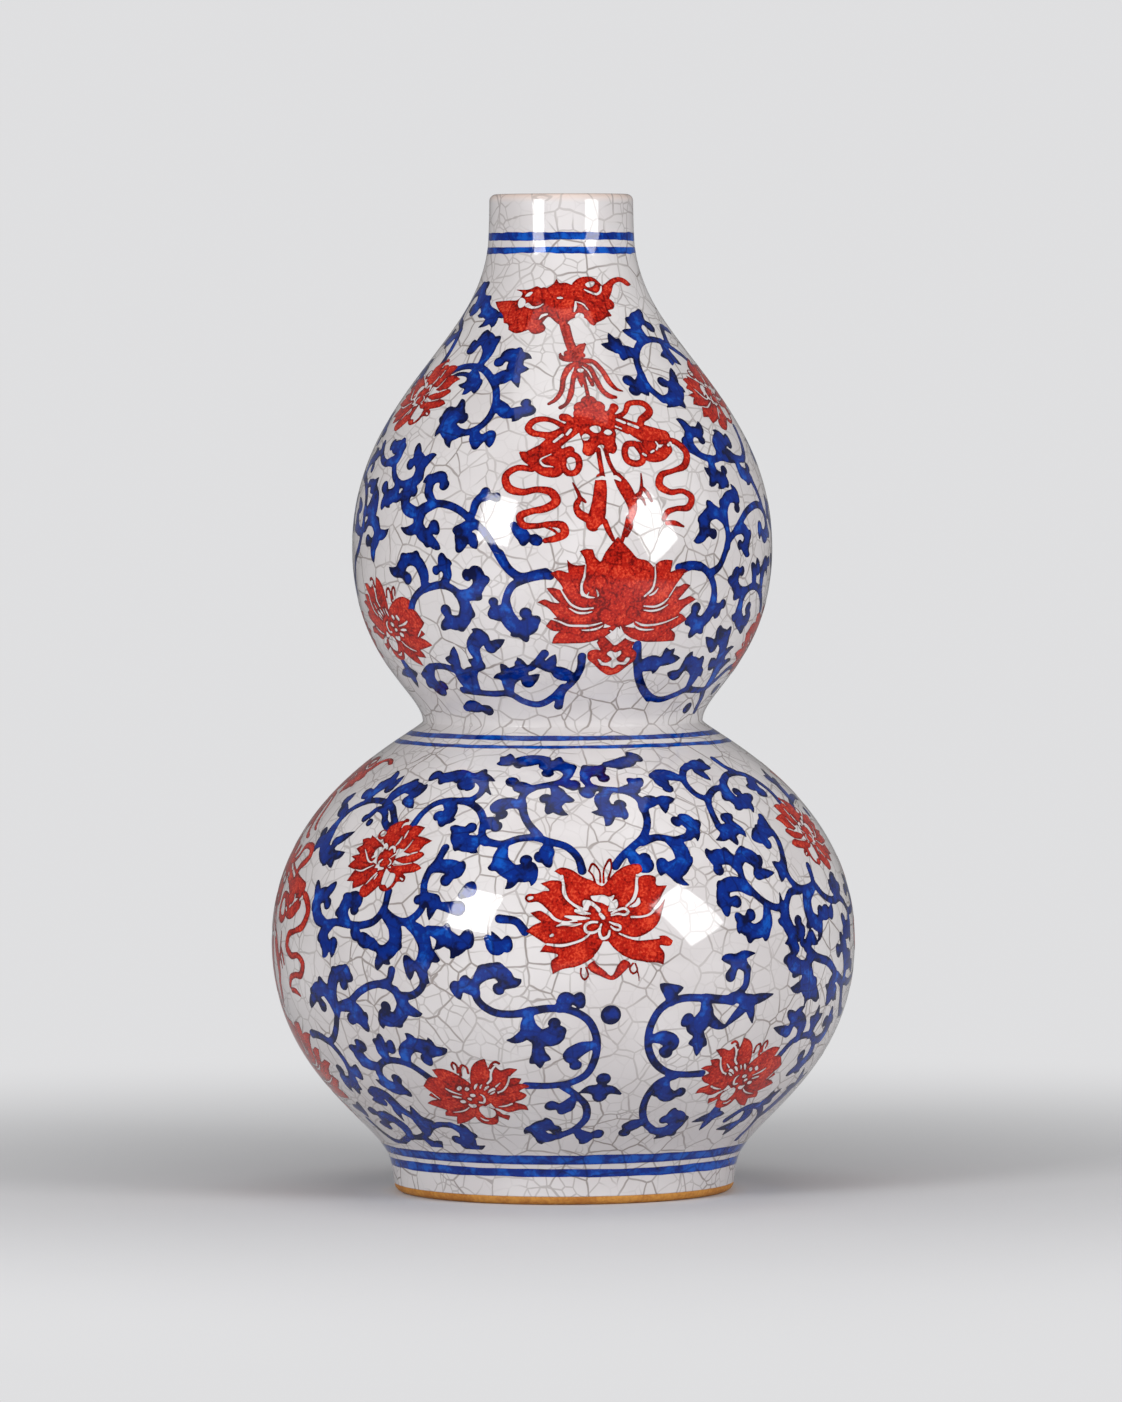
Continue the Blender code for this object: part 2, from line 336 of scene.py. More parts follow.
class Canvas:
    """A patch of the unrolled wall, with the distance to the nearest edge of the paint in mm.

    The distance is negative inside the paint. edge is the distance to the edge of the stroke on top.
    The patch repeats after its width if it goes round.
    """

    def __init__(self, wall, azimuths, alongs, cell, goes_round=False):
        self.wall = wall
        self.cell = cell
        self.goes_round = goes_round
        widest = wall.radius_at(np.linspace(*alongs, 60)).max()
        columns = math.ceil((azimuths[1] - azimuths[0]) * widest / cell)
        self.az = np.linspace(*azimuths, columns + 1)
        self.along = np.linspace(*alongs, math.ceil((alongs[1] - alongs[0]) / cell) + 1)
        self.radius = wall.radius_at(self.along)
        self.widest = widest
        self.gap = np.full((len(self.along), len(self.az)), FAR)
        self.edge = np.zeros_like(self.gap)
        self.tone = np.zeros_like(self.gap)

    def window(self, line, reach):
        """Row and column slices that cover a line, or None where it is off the patch."""
        narrowest = self.wall.radius_at(line[:, 1]).min()
        left = np.searchsorted(self.az, line[:, 0].min() - reach / narrowest)
        right = np.searchsorted(self.az, line[:, 0].max() + reach / narrowest)
        low = np.searchsorted(self.along, line[:, 1].min() - reach)
        high = np.searchsorted(self.along, line[:, 1].max() + reach)
        if right - left < 2 or high - low < 2:
            return None
        return slice(low, high), slice(left, right)

    def repeats(self, line):
        """The line, and its copies one width to either side where the patch goes round."""
        width = self.az[-1] - self.az[0]
        for copy in (-1, 0, 1) if self.goes_round else (0,):
            moved = np.array(line, float)
            moved[:, 0] += copy * width
            yield moved

    def stroke_gap(self, line, rows, columns):
        """Distance to a stroke whose half-width changes along its line, and its tone at the nearest place."""
        az = self.az[columns]
        along = self.along[rows]
        radius = self.radius[rows][:, None]
        gap = np.full((len(along), len(az)), FAR)
        tone = np.zeros_like(gap)
        for (az0, s0, w0, t0), (az1, s1, w1, t1) in zip(line[:-1], line[1:]):
            mean = self.wall.radius_at((s0 + s1) / 2)
            high = max(w0, w1) + STROKE_REACH
            wide = high / mean
            a = np.searchsorted(az, min(az0, az1) - wide)
            b = np.searchsorted(az, max(az0, az1) + wide)
            c = np.searchsorted(along, min(s0, s1) - high)
            d = np.searchsorted(along, max(s0, s1) + high)
            if a >= b or c >= d:
                continue
            across = (az1 - az0) * mean
            up = s1 - s0
            px = (az[a:b] - az0) * mean
            py = (along[c:d] - s0)[:, None]
            t = np.clip((px * across + py * up) / (across**2 + up**2 + TINY), 0.0, 1.0)
            dx = (az[a:b] - az0 - t * (az1 - az0)) * radius[c:d]
            found = np.hypot(dx, py - t * up) - (w0 + t * (w1 - w0))
            here = gap[c:d, a:b]
            nearer = found < here
            here[nearer] = found[nearer]
            tone[c:d, a:b][nearer] = (t0 + t * (t1 - t0))[nearer]
        return gap, tone

    def outline_gap(self, line, rows, columns):
        """Distance to a closed outline, negative inside it."""
        az = self.az[columns]
        along = self.along[rows][:, None]
        radius = self.radius[rows][:, None]
        nearest = np.full((len(along), len(az)), FAR)
        inside = np.zeros(nearest.shape, bool)
        for (az0, s0), (az1, s1) in zip(line, np.roll(line, -1, axis=0)):
            mean = self.wall.radius_at((s0 + s1) / 2)
            across = (az1 - az0) * mean
            up = s1 - s0
            part = ((az - az0) * mean * across + (along - s0) * up) / (across**2 + up**2 + TINY)
            t = np.clip(part, 0.0, 1.0)
            found = np.hypot((az - az0 - t * (az1 - az0)) * radius, along - s0 - t * up)
            np.minimum(nearest, found, out=nearest)
            if s0 != s1:
                crossing = az0 + (along - s0) * (az1 - az0) / (s1 - s0)
                inside ^= ((along >= min(s0, s1)) & (along < max(s0, s1))) & (az < crossing)
        return np.where(inside, -nearest, nearest)

    def lay(self, gap, tone, rows, columns, on_top, melt):
        """Joins new paint with what is there. melt is the width over which edges flow together."""
        old = self.gap[rows, columns]
        part = np.clip(0.5 + 0.5 * (old - gap) / melt, 0.0, 1.0)
        joined = old + (gap - old) * part - melt * part * (1 - part)
        edge = self.edge[rows, columns]
        if on_top:
            edge = np.where(gap < 0, -gap, edge)
        else:
            edge = np.where(gap < EDGE_BLEND, np.maximum(edge, -joined), edge)
        self.gap[rows, columns] = joined
        self.edge[rows, columns] = edge
        self.tone[rows, columns] += (tone - self.tone[rows, columns]) * part

    def brush(self, spot, points, tone=(0.0, 0.0), on_top=False, melt=0.5):
        """Paints a stroke through (across, up, half-width) points, with a tone that runs from end to end."""
        run = smooth_run(points)
        run[:, 2] = np.maximum(run[:, 2], FINEST)
        placed = spot.place(run)
        tones = np.linspace(tone[0], tone[1], len(placed))
        for line in self.repeats(np.column_stack([placed, tones])):
            found = self.window(line, MARGIN + line[:, 2].max())
            if found:
                gap, toned = self.stroke_gap(line, *found)
                self.lay(gap, toned, *found, on_top, melt)

    def fill(self, spot, points, tone=0.0, on_top=False, melt=0.3):
        """Paints a closed outline."""
        for line in self.repeats(spot.place(closed_outline(points))):
            found = self.window(line, MARGIN)
            if found:
                gap = self.outline_gap(line, *found)
                self.lay(gap, np.full_like(gap, tone), *found, on_top, melt)

    def cut(self, gap, rows, columns):
        """Takes an area out of the paint."""
        self.gap[rows, columns] = np.maximum(self.gap[rows, columns], -gap)

    def spare(self, spot, points):
        """Leaves a line of bare glaze through (across, up, half-width) points."""
        placed = spot.place(smooth_run(points))
        for line in self.repeats(np.column_stack([placed, 0 * placed[:, 0]])):
            found = self.window(line, MARGIN)
            if found:
                self.cut(self.stroke_gap(line, *found)[0], *found)

    def spare_area(self, spot, points):
        """Leaves a closed outline of bare glaze."""
        for line in self.repeats(spot.place(closed_outline(points))):
            found = self.window(line, MARGIN)
            if found:
                self.cut(self.outline_gap(line, *found), *found)


# From the painted patch to a thin closed mesh

STAGGER = 0.87  # rows of dots this much closer than the dots in a row make even triangles
JOIN_GAP = 1e-7  # points of an edge closer than this become one, in cells
RIM_DEPTH = 0.4  # how far inside its edge the paint reaches its full height, in mm
RIM_CLEAR = 0.75  # shares of that depth and of the dots' spacing that keep the two apart
DOT_CLEAR = 0.4
SPARSE = 3.0  # spacing of the points underneath
SPARSE_MARGIN = 0.5
SEAM_STEP = 1.5
SEAM_MARGIN = 0.3
ON_SEAM = 0.01
LEAST_GAP = 0.06  # the edge keeps this share of a cell off the grid's own points
SUNK = 0.06  # how far the underside lies in the glaze
RIM_HEIGHT = 0.35  # height of the paint's edge as a share of its full height
WELD = 0.002


def outline_pieces(gap):
    """Where the paint's edge crosses the grid, in cell units, and the short pieces of edge between."""
    rows, columns = gap.shape
    inside = gap < 0
    points = []
    level = np.full((rows, columns - 1), -1)
    row, column = np.nonzero(inside[:, :-1] != inside[:, 1:])
    level[row, column] = np.arange(len(row))
    a = gap[row, column]
    points.append(np.stack([column + a / (a - gap[row, column + 1]), row], -1))
    upright = np.full((rows - 1, columns), -1)
    row, column = np.nonzero(inside[:-1] != inside[1:])
    upright[row, column] = np.arange(len(row)) + len(points[0])
    a = gap[row, column]
    points.append(np.stack([column, row + a / (a - gap[row + 1, column])], -1))
    bottom = level[:-1]
    top = level[1:]
    left = upright[:, :-1]
    right = upright[:, 1:]
    crossed = (bottom >= 0).astype(int) + (top >= 0) + (left >= 0) + (right >= 0)
    sides = np.stack([bottom, right, top, left], -1)
    two = sides[crossed == 2]
    pieces = [two[two >= 0].reshape(-1, 2)]
    saddle = crossed == 4
    middle = (gap[:-1, :-1] + gap[1:, :-1] + gap[:-1, 1:] + gap[1:, 1:])[saddle] < 0
    low_left = inside[:-1, :-1][saddle]
    pairs = sides[saddle]
    joined = middle == low_left
    pieces.append(np.concatenate([pairs[joined][:, [0, 1]], pairs[joined][:, [2, 3]]]))
    pieces.append(np.concatenate([pairs[~joined][:, [0, 3]], pairs[~joined][:, [1, 2]]]))
    return np.concatenate(points), np.concatenate(pieces)


def sample(field, places):
    """Values of a field between its grid points, at places in cell units."""
    x = np.clip(places[:, 0], 0, field.shape[1] - 1.001)
    y = np.clip(places[:, 1], 0, field.shape[0] - 1.001)
    i = x.astype(int)
    j = y.astype(int)
    fx = x - i
    fy = y - j
    low = field[j, i] * (1 - fx) + field[j, i + 1] * fx
    high = field[j + 1, i] * (1 - fx) + field[j + 1, i + 1] * fx
    return low * (1 - fy) + high * fy


def rows_of_dots(shape, spacing):
    """Staggered dots over a grid, in cell units."""
    rows = np.arange(0.5 * spacing, shape[0] - 1, spacing * STAGGER)
    dots = []
    for i, row in enumerate(rows):
        columns = np.arange(spacing * (0.5 + 0.5 * (i % 2)), shape[1] - 1, spacing)
        dots.append(np.stack([columns, np.full_like(columns, row)], -1))
    return np.concatenate(dots)


def regions(triangles, lines, count):
    """A region number for each triangle. Two triangles share a region unless one of the lines parts them."""
    sides = np.concatenate([triangles[:, [0, 1]], triangles[:, [1, 2]], triangles[:, [2, 0]]])
    keys = sides.min(axis=1) * count + sides.max(axis=1)
    order = np.argsort(keys, kind="stable")
    keys = keys[order]
    owner = np.tile(np.arange(len(triangles)), 3)[order]
    open_side = (keys[:-1] == keys[1:]) & ~np.isin(keys[:-1], lines)
    first = owner[:-1][open_side]
    second = owner[1:][open_side]
    region = np.arange(len(triangles))
    while True:
        least = np.minimum(region[first], region[second])
        joined = region.copy()
        for places in (first, second, region[first], region[second]):
            np.minimum.at(joined, places, least)
        joined = joined[joined]
        if (joined == region).all():
            return region
        region = joined


def filled(fixed, pieces, inner, gap):
    """Triangles over the paint, from its edge and some points inside it.

    Gives the places, the triangles, and for each fixed point which of the places it became.
    """
    every = np.concatenate([fixed, inner])
    found = delaunay_2d_cdt([Vector(p) for p in every], [tuple(p) for p in pieces.tolist()], [], 0, JOIN_GAP)
    places = np.array([tuple(v) for v in found[0]])
    triangles = np.array([t for t in found[2] if len(t) == 3])
    lines = np.sort(np.array([edge for edge, sources in zip(found[1], found[4]) if sources]), axis=1)
    region = regions(triangles, lines[:, 0] * len(places) + lines[:, 1], len(places))
    a, b, c = places[triangles].transpose(1, 0, 2)
    area = np.abs((b - a)[:, 0] * (c - a)[:, 1] - (b - a)[:, 1] * (c - a)[:, 0])
    vote = np.where(sample(gap, (a + b + c) / 3) < 0, area, -area)
    kept = np.bincount(region, weights=vote)[region] > 0
    became = np.full(len(every), -1)
    for place, sources in enumerate(found[3]):
        became[sources] = place
    return places, triangles[kept], became[: len(fixed)]


def dots_inside(canvas, gap, edge_points, spacing):
    """Points inside the paint: a row just inside its edge, then staggered dots."""
    across = (canvas.az[1] - canvas.az[0]) * canvas.radius[:, None]
    rise = canvas.along[1] - canvas.along[0]
    down, right = np.gradient(gap)
    slope_right = sample(right / across, edge_points)
    slope_up = sample(down / rise, edge_points)
    size = np.hypot(slope_right, slope_up) + SLIVER
    row = edge_points[:, 1].astype(int)
    shift = np.stack([slope_right / size / across[row, 0], slope_up / size / rise], -1)
    rim = (edge_points - RIM_DEPTH * shift)[::2]
    deep = sample(gap, rim) < -RIM_CLEAR * RIM_DEPTH
    rim = rim[deep & (rim[:, 0] > 0.5) & (rim[:, 0] < gap.shape[1] - 1.5)]
    dots = rows_of_dots(gap.shape, spacing / rise)
    dots = dots[sample(gap, dots) < -RIM_DEPTH - DOT_CLEAR * spacing]
    return np.concatenate([rim, dots])


def side_edges(triangles):
    """Edges used by one triangle only, in the triangle's order."""
    edges = np.concatenate([triangles[:, [0, 1]], triangles[:, [1, 2]], triangles[:, [2, 0]]])
    keys = np.sort(edges, axis=1)
    _, first, count = np.unique(keys, axis=0, return_index=True, return_counts=True)
    return edges[first[count == 1]]


def seam_dots(canvas, gap, spacing):
    """The same points on the left and right side of a patch that goes round."""
    if not canvas.goes_round:
        return np.zeros((0, 2))
    rows = np.arange(1, gap.shape[0] - 1, max(1, round(spacing / canvas.cell)))
    rows = rows[gap[rows, 0] < -SEAM_MARGIN]
    return np.concatenate([np.stack([np.full_like(rows, x), rows], -1) for x in (0, gap.shape[1] - 1)])


def framed_gap(canvas):
    """The patch's distances, bare along its borders, or the same at both sides where it goes round."""
    gap = canvas.gap.copy()
    if canvas.goes_round:
        for field in (gap, canvas.edge, canvas.tone):
            field[:, -1] = field[:, 0]
    else:
        gap[:, [0, -1]] = FAR
    gap[[0, -1]] = FAR
    least = LEAST_GAP * canvas.cell
    return np.where(np.abs(gap) < least, np.where(gap < 0, -least, least), gap)


def two_sheets(name, canvas, gap, spacing):
    """The top and the underside of the paint, and the walls between them, in cell units.

    Gives the places, the faces and how many of the places are on top.
    """
    edge_points, pieces = outline_pieces(gap)
    fixed = np.concatenate([edge_points, seam_dots(canvas, gap, SEAM_STEP)])
    dots = dots_inside(canvas, gap, edge_points, spacing)
    few = rows_of_dots(gap.shape, SPARSE / canvas.cell)
    few = few[sample(gap, few) < -SPARSE_MARGIN]
    upper, upper_faces, upper_fixed = filled(fixed, pieces, dots, gap)
    lower, lower_faces, lower_fixed = filled(fixed, pieces, few, gap)
    below = np.full(len(upper), -1)
    below[upper_fixed] = lower_fixed
    rim = side_edges(upper_faces)
    if canvas.goes_round:
        sides = upper[rim][:, :, 0]
        last = gap.shape[1] - 1
        rim = rim[~(np.all(sides < ON_SEAM, axis=1) | np.all(sides > last - ON_SEAM, axis=1))]
    under = below[rim]
    if (under < 0).any():
        raise RuntimeError(f"The edge of {name} isn't the same above and below")
    count = len(upper)
    walls = np.column_stack([rim[:, 1], rim[:, 0], under[:, 0] + count, under[:, 1] + count])
    faces = upper_faces.tolist() + (lower_faces[:, ::-1] + count).tolist() + walls.tolist()
    return np.concatenate([upper, lower]), faces, count


def set_points(mesh, name, kind, values):
    """Stores a value for each point of a mesh."""
    field = "vector" if kind == "FLOAT_VECTOR" else "value"
    mesh.attributes.new(name, kind, "POINT").data.foreach_set(field, values.astype(np.float32).ravel())


def weld(mesh, seams):
    """Smooths a mesh, joins its points at the seams if there are any, and counts its open edges."""
    shape = bmesh.new()
    shape.from_mesh(mesh)
    if seams:
        bmesh.ops.remove_doubles(shape, verts=shape.verts, dist=WELD * MM)
    open_edges = sum(not edge.is_manifold for edge in shape.edges)
    for face in shape.faces:
        face.smooth = True
    shape.to_mesh(mesh)
    shape.free()
    return open_edges


def lift_of(canvas, gap, places, along, is_top, top):
    """How far each place stands off the clay. The paint slopes up from its edge to its full height."""
    inward = np.clip(-sample(gap, places) / RIM_DEPTH, 0.0, 1.0)
    glaze = canvas.wall.glaze_at(along)
    return np.where(is_top, glaze + RIM_HEIGHT * top + (1 - RIM_HEIGHT) * top * inward, glaze - SUNK)


def bake_places(canvas, places, along, is_top, copies):
    """Places in the bake's square: unrolled, the underside over the top, and the copies side by side."""
    wide = (canvas.az[-1] - canvas.az[0]) * canvas.widest
    high = canvas.along[-1] - canvas.along[0]
    flat = np.stack([places[:, 0] / (len(canvas.az) - 1) * wide, along - canvas.along[0]], -1)
    flat[~is_top, 1] += high + 1
    spread = np.concatenate([flat + (copy * wide, 0) for copy in range(copies)])
    return spread / max(wide * copies, 2 * high + 1)


def face_outwards(mesh):
    """Makes the directions stored with a mesh's points its normals."""
    normals = np.zeros(len(mesh.vertices) * 3, np.float32)
    mesh.attributes["facing"].data.foreach_get("vector", normals)
    mesh.attributes.remove(mesh.attributes["facing"])
    mesh.normals_split_custom_set_from_vertices(normals.reshape(-1, 3).tolist())


def paint_piece(name, canvas, finish, top, spacing, copies=1):
    """Makes the painted patch a thin closed mesh that stands top mm proud of the glaze inside its edges."""
    gap = framed_gap(canvas)
    places, faces, count = two_sheets(name, canvas, gap, spacing)
    is_top = np.arange(len(places)) < count
    azimuth = canvas.az[0] + places[:, 0] * (canvas.az[1] - canvas.az[0])
    along = canvas.along[0] + places[:, 1] * (canvas.along[1] - canvas.along[0])
    lift = lift_of(canvas, gap, places, along, is_top, top)
    outwards = np.where(is_top, 1.0, -1.0)[:, None]
    turns = [azimuth + copy * (canvas.az[-1] - canvas.az[0]) for copy in range(copies)]
    points = np.concatenate([canvas.wall.point(turned, along, lift) for turned in turns])
    facing = np.concatenate([canvas.wall.normal(turned, along) * outwards for turned in turns])
    steps = [len(places) * copy for copy in range(copies)]
    mesh = bpy.data.meshes.new(name)
    mesh.from_pydata(points.tolist(), [], [[i + step for i in face] for step in steps for face in faces])
    edge = np.clip(sample(np.minimum(canvas.edge, -canvas.gap), places), 0.0, MARGIN)
    set_points(mesh, "edge", "FLOAT", np.tile(edge, copies))
    set_points(mesh, "tone", "FLOAT", np.tile(sample(canvas.tone, places), copies))
    set_points(mesh, "facing", "FLOAT_VECTOR", facing)
    corners = np.zeros(len(mesh.loops), np.int32)
    mesh.loops.foreach_get("vertex_index", corners)
    spread = bake_places(canvas, places, along, is_top, copies)[corners].astype(np.float32)
    mesh.uv_layers.new(name="OFBake").data.foreach_set("uv", spread.ravel())
    open_edges = weld(mesh, canvas.goes_round)
    face_outwards(mesh)
    print(f"{name}: {len(mesh.polygons)} faces, {open_edges} open edges")
    piece = bpy.data.objects.new(name, mesh)
    bpy.context.scene.collection.objects.link(piece)
    return finished(piece, finish)


def finished(piece, finish):
    """Gives a piece its material and slot, and lets it ride on the vase."""
    piece.data.materials.clear()
    piece.data.materials.append(finish)
    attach(piece, BODY)
    return piece


# Shader node groups

def add_node(tree, kind, **settings):
    """Adds a node and sets its own settings, not its inputs."""
    made = tree.nodes.new(kind)
    for name, value in settings.items():
        setattr(made, name, value)
    return made


def feed(tree, socket, value):
    """Links a socket to an input, or sets the input to a value."""
    if isinstance(value, bpy.types.NodeSocket):
        tree.links.new(value, socket)
    elif socket.type == "RGBA" and len(value) == 3:
        socket.default_value = (*value, 1.0)
    else:
        socket.default_value = value


def math_node(tree, operation, *values, clamp=False):
    """A math node of sockets or numbers. Returns its output."""
    made = add_node(tree, "ShaderNodeMath", operation=operation, use_clamp=clamp)
    for socket, value in zip(made.inputs, values):
        feed(tree, socket, value)
    return made.outputs[0]


def mix_node(tree, factor, first, second):
    """A colour mix whose factor and colours are sockets or values. Returns its output."""
    made = add_node(tree, "ShaderNodeMix", data_type="RGBA")
    for number, value in ((0, factor), (6, first), (7, second)):
        feed(tree, made.inputs[number], value)
    return made.outputs[2]


def ramp_node(tree, value, low, high, to_low=0.0, to_high=1.0):
    """Maps low..high smoothly to to_low..to_high."""
    made = add_node(tree, "ShaderNodeMapRange", interpolation_type="SMOOTHSTEP")
    tree.links.new(value, made.inputs["Value"])
    for name, number in (("From Min", low), ("From Max", high), ("To Min", to_low), ("To Max", to_high)):
        made.inputs[name].default_value = number
    return made.outputs["Result"]


def noise_node(tree, place, scale, detail=2.0):
    """A noise texture. Its scale is a socket or the number of repeats in a metre."""
    made = add_node(tree, "ShaderNodeTexNoise")
    for name, value in (("Scale", scale), ("Detail", detail), ("Vector", place)):
        feed(tree, made.inputs[name], value)
    return made


def new_group(name, inputs, outputs):
    """A shader node group with named sockets. Returns it with its input and output nodes."""
    group = bpy.data.node_groups.new(name, "ShaderNodeTree")
    for label, kind, default in inputs:
        socket = group.interface.new_socket(name=label, in_out="INPUT", socket_type=kind)
        if default is not None:
            socket.default_value = default
    for label, kind in outputs:
        group.interface.new_socket(name=label, in_out="OUTPUT", socket_type=kind)
    return group, group.nodes.new("NodeGroupInput"), group.nodes.new("NodeGroupOutput")


def vector_node(tree, operation, *values):
    """A vector math node of sockets or values. Returns the node."""
    made = add_node(tree, "ShaderNodeVectorMath", operation=operation)
    for socket, value in zip(made.inputs, values):
        feed(tree, socket, value)
    return made


MAIN_CRACKS = (9.2, 0.32, 0.25)  # size of the cells, width of the lines and softness of their edges, in mm
FINE_CRACKS = (5.6, 0.2, 0.24)
CELL_RANDOMNESS = 0.85
LEAST_SLANT = 0.04
CRACK_BEND = 3.0  # how far the lines wander, in mm
BEND_SCALE = 95.0  # repeats in a metre, like the next three
DEPTH_SCALE = 45.0
WEB_SCALE = 70.0
CLOUD_SCALE = 28.0
DEPTH_RAMP = (0.36, 0.62, 0.42, 1.0)  # from and to, and the strength of the cracks there
WEB_RAMP = (0.42, 0.60, 0.12, 0.75)
CLOUD_RAMP = (0.3, 0.7)
FINE_WEB = 0.75  # strength of the finer web


def crack_lines(tree, place, facing, cell, width, soft):
    """A web of lines between cells, from 0 off the lines to 1 on them, with its sizes in mm.

    The distance to the next cell is measured along the glaze, so a side that lies flat in it stays thin.
    """
    centres = []
    for feature in ("F1", "F2"):
        web = add_node(tree, "ShaderNodeTexVoronoi", feature=feature)
        for name, value in (("Scale", 1 / (cell * MM)), ("Randomness", CELL_RANDOMNESS), ("Vector", place)):
            feed(tree, web.inputs[name], value)
        centres.append(web.outputs["Position"])
    nearest, second = centres
    between = vector_node(tree, "SUBTRACT", second, nearest).outputs[0]
    across = vector_node(tree, "NORMALIZE", between).outputs[0]
    middle = vector_node(tree, "SCALE", vector_node(tree, "ADD", nearest, second).outputs[0])
    middle.inputs["Scale"].default_value = 0.5
    gap = vector_node(tree, "SUBTRACT", middle.outputs[0], place).outputs[0]
    away = vector_node(tree, "DOT_PRODUCT", gap, across).outputs["Value"]
    lean = vector_node(tree, "DOT_PRODUCT", across, facing).outputs["Value"]
    slant = math_node(tree, "SUBTRACT", 1.0, math_node(tree, "MULTIPLY", lean, lean))
    slant = math_node(tree, "SQRT", math_node(tree, "MAXIMUM", slant, LEAST_SLANT))
    distance = math_node(tree, "DIVIDE", away, slant)
    return ramp_node(tree, distance, width / 2 * MM, (width / 2 + soft) * MM, 1.0, 0.0)


def crackle_group():
    """Stained crackle in a glaze: long main cracks and a finer web that comes and goes."""
    found = bpy.data.node_groups.get("Crackle")
    if found:
        return found
    group, source, result = new_group(
        "Crackle",
        [
            ("Vector", "NodeSocketVector", None),
            ("Facing", "NodeSocketVector", None),
            ("Fine Web", "NodeSocketFloat", 0.7),
        ],
        [("Cracks", "NodeSocketFloat"), ("Cloud", "NodeSocketFloat")],
    )
    place = source.outputs["Vector"]
    facing = source.outputs["Facing"]
    bend = noise_node(group, place, BEND_SCALE).outputs["Color"]
    centred = vector_node(group, "SUBTRACT", bend, (0.5, 0.5, 0.5)).outputs[0]
    bent = vector_node(group, "MULTIPLY_ADD", centred, 3 * [CRACK_BEND * MM], place).outputs[0]
    main = crack_lines(group, bent, facing, *MAIN_CRACKS)
    fine = crack_lines(group, bent, facing, *FINE_CRACKS)
    depth = ramp_node(group, noise_node(group, place, DEPTH_SCALE).outputs["Fac"], *DEPTH_RAMP)
    presence = ramp_node(group, noise_node(group, place, WEB_SCALE, 1.0).outputs["Fac"], *WEB_RAMP)
    web = math_node(group, "MULTIPLY", fine, presence)
    faint = math_node(group, "MULTIPLY", web, source.outputs["Fine Web"])
    both = math_node(group, "MAXIMUM", math_node(group, "MULTIPLY", main, depth), faint)
    group.links.new(both, result.inputs["Cracks"])
    cloud = noise_node(group, place, CLOUD_SCALE, 3.0).outputs["Fac"]
    group.links.new(ramp_node(group, cloud, *CLOUD_RAMP), result.inputs["Cloud"])
    return group


PATCH_SCALE = 210.0  # repeats in a metre of the patches where more or less colour lies
EDGE_WANDER = (0.5, 0.75)  # how far the dark edge's width varies, and its least width
POOLED_RAMP = (0.15, 0.95)
THIN_RAMP = (-0.75, 0.05, 1.0, 0.0)


def brush_group():
    """How brushed colour pools: darker at a stroke's edge and where the brush rested, with a streaky wash."""
    found = bpy.data.node_groups.get("Brushed Colour")
    if found:
        return found
    group, source, result = new_group(
        "Brushed Colour",
        [
            ("Vector", "NodeSocketVector", None),
            ("Edge Width", "NodeSocketFloat", 0.7),
            ("Grain", "NodeSocketFloat", 900.0),
            ("Unevenness", "NodeSocketFloat", 2.0),
            ("Speckle", "NodeSocketFloat", 1.0),
            ("Outline", "NodeSocketFloat", 1.0),
        ],
        [("Pooled", "NodeSocketFloat"), ("Thin", "NodeSocketFloat")],
    )
    place = source.outputs["Vector"]
    edge = add_node(group, "ShaderNodeAttribute", attribute_name="edge").outputs["Fac"]
    tone = add_node(group, "ShaderNodeAttribute", attribute_name="tone").outputs["Fac"]
    patch = noise_node(group, place, PATCH_SCALE, 3.0).outputs["Fac"]
    grain = noise_node(group, place, source.outputs["Grain"]).outputs["Fac"]
    wander = math_node(group, "MULTIPLY_ADD", patch, *EDGE_WANDER)
    width = math_node(group, "MULTIPLY", source.outputs["Edge Width"], wander)
    rim = math_node(group, "SUBTRACT", 1.0, math_node(group, "DIVIDE", edge, width, clamp=True))
    outline = math_node(group, "MULTIPLY", rim, source.outputs["Outline"])
    patches = math_node(group, "SUBTRACT", patch, 0.5)
    uneven = math_node(group, "MULTIPLY", patches, source.outputs["Unevenness"])
    grains = math_node(group, "SUBTRACT", grain, 0.5)
    speck = math_node(group, "MULTIPLY", grains, source.outputs["Speckle"])
    drawn = math_node(group, "ADD", outline, tone)
    load = math_node(group, "ADD", drawn, math_node(group, "ADD", uneven, speck))
    group.links.new(ramp_node(group, load, *POOLED_RAMP), result.inputs["Pooled"])
    group.links.new(ramp_node(group, load, *THIN_RAMP), result.inputs["Thin"])
    return group


def place_group(tree, group, place, **values):
    """A node for a group, with the coordinates it needs and its other inputs set by name."""
    made = add_node(tree, "ShaderNodeGroup", node_tree=group)
    tree.links.new(place, made.inputs["Vector"])
    for name, value in values.items():
        made.inputs[name.replace("_", " ").title()].default_value = value
    return made


# Finishes

SPECULAR_LEVEL = 0.42
GLAZE_ROUGHNESS = 0.045
ENAMEL_ROUGHNESS = 0.07
GLAZE_IOR = 1.46
SKIN_SCALE = 60.0
CRACK_SINK = 0.15
SKIN_BUMP = (0.35, 0.12)  # strength and depth in mm, like the next
CLAY_BUMP = (0.4, 0.08)
CLAY_PATCHES = (80.0, 4.0)  # repeats in a metre, and detail
CLAY_SHARES = (0.5, 0.6)  # of the fine grain and of the patches
CLAY_RAMP = (0.4, 0.7)
OCHRE_GRAIN = 900.0  # repeats in a metre
OCHRE_ROUGHNESS = 0.62
CRACK_STAIN = 0.9
LIP_TINT = (-2.6, 0.6)  # where the warm tint begins and is full, in mm from the lip's top


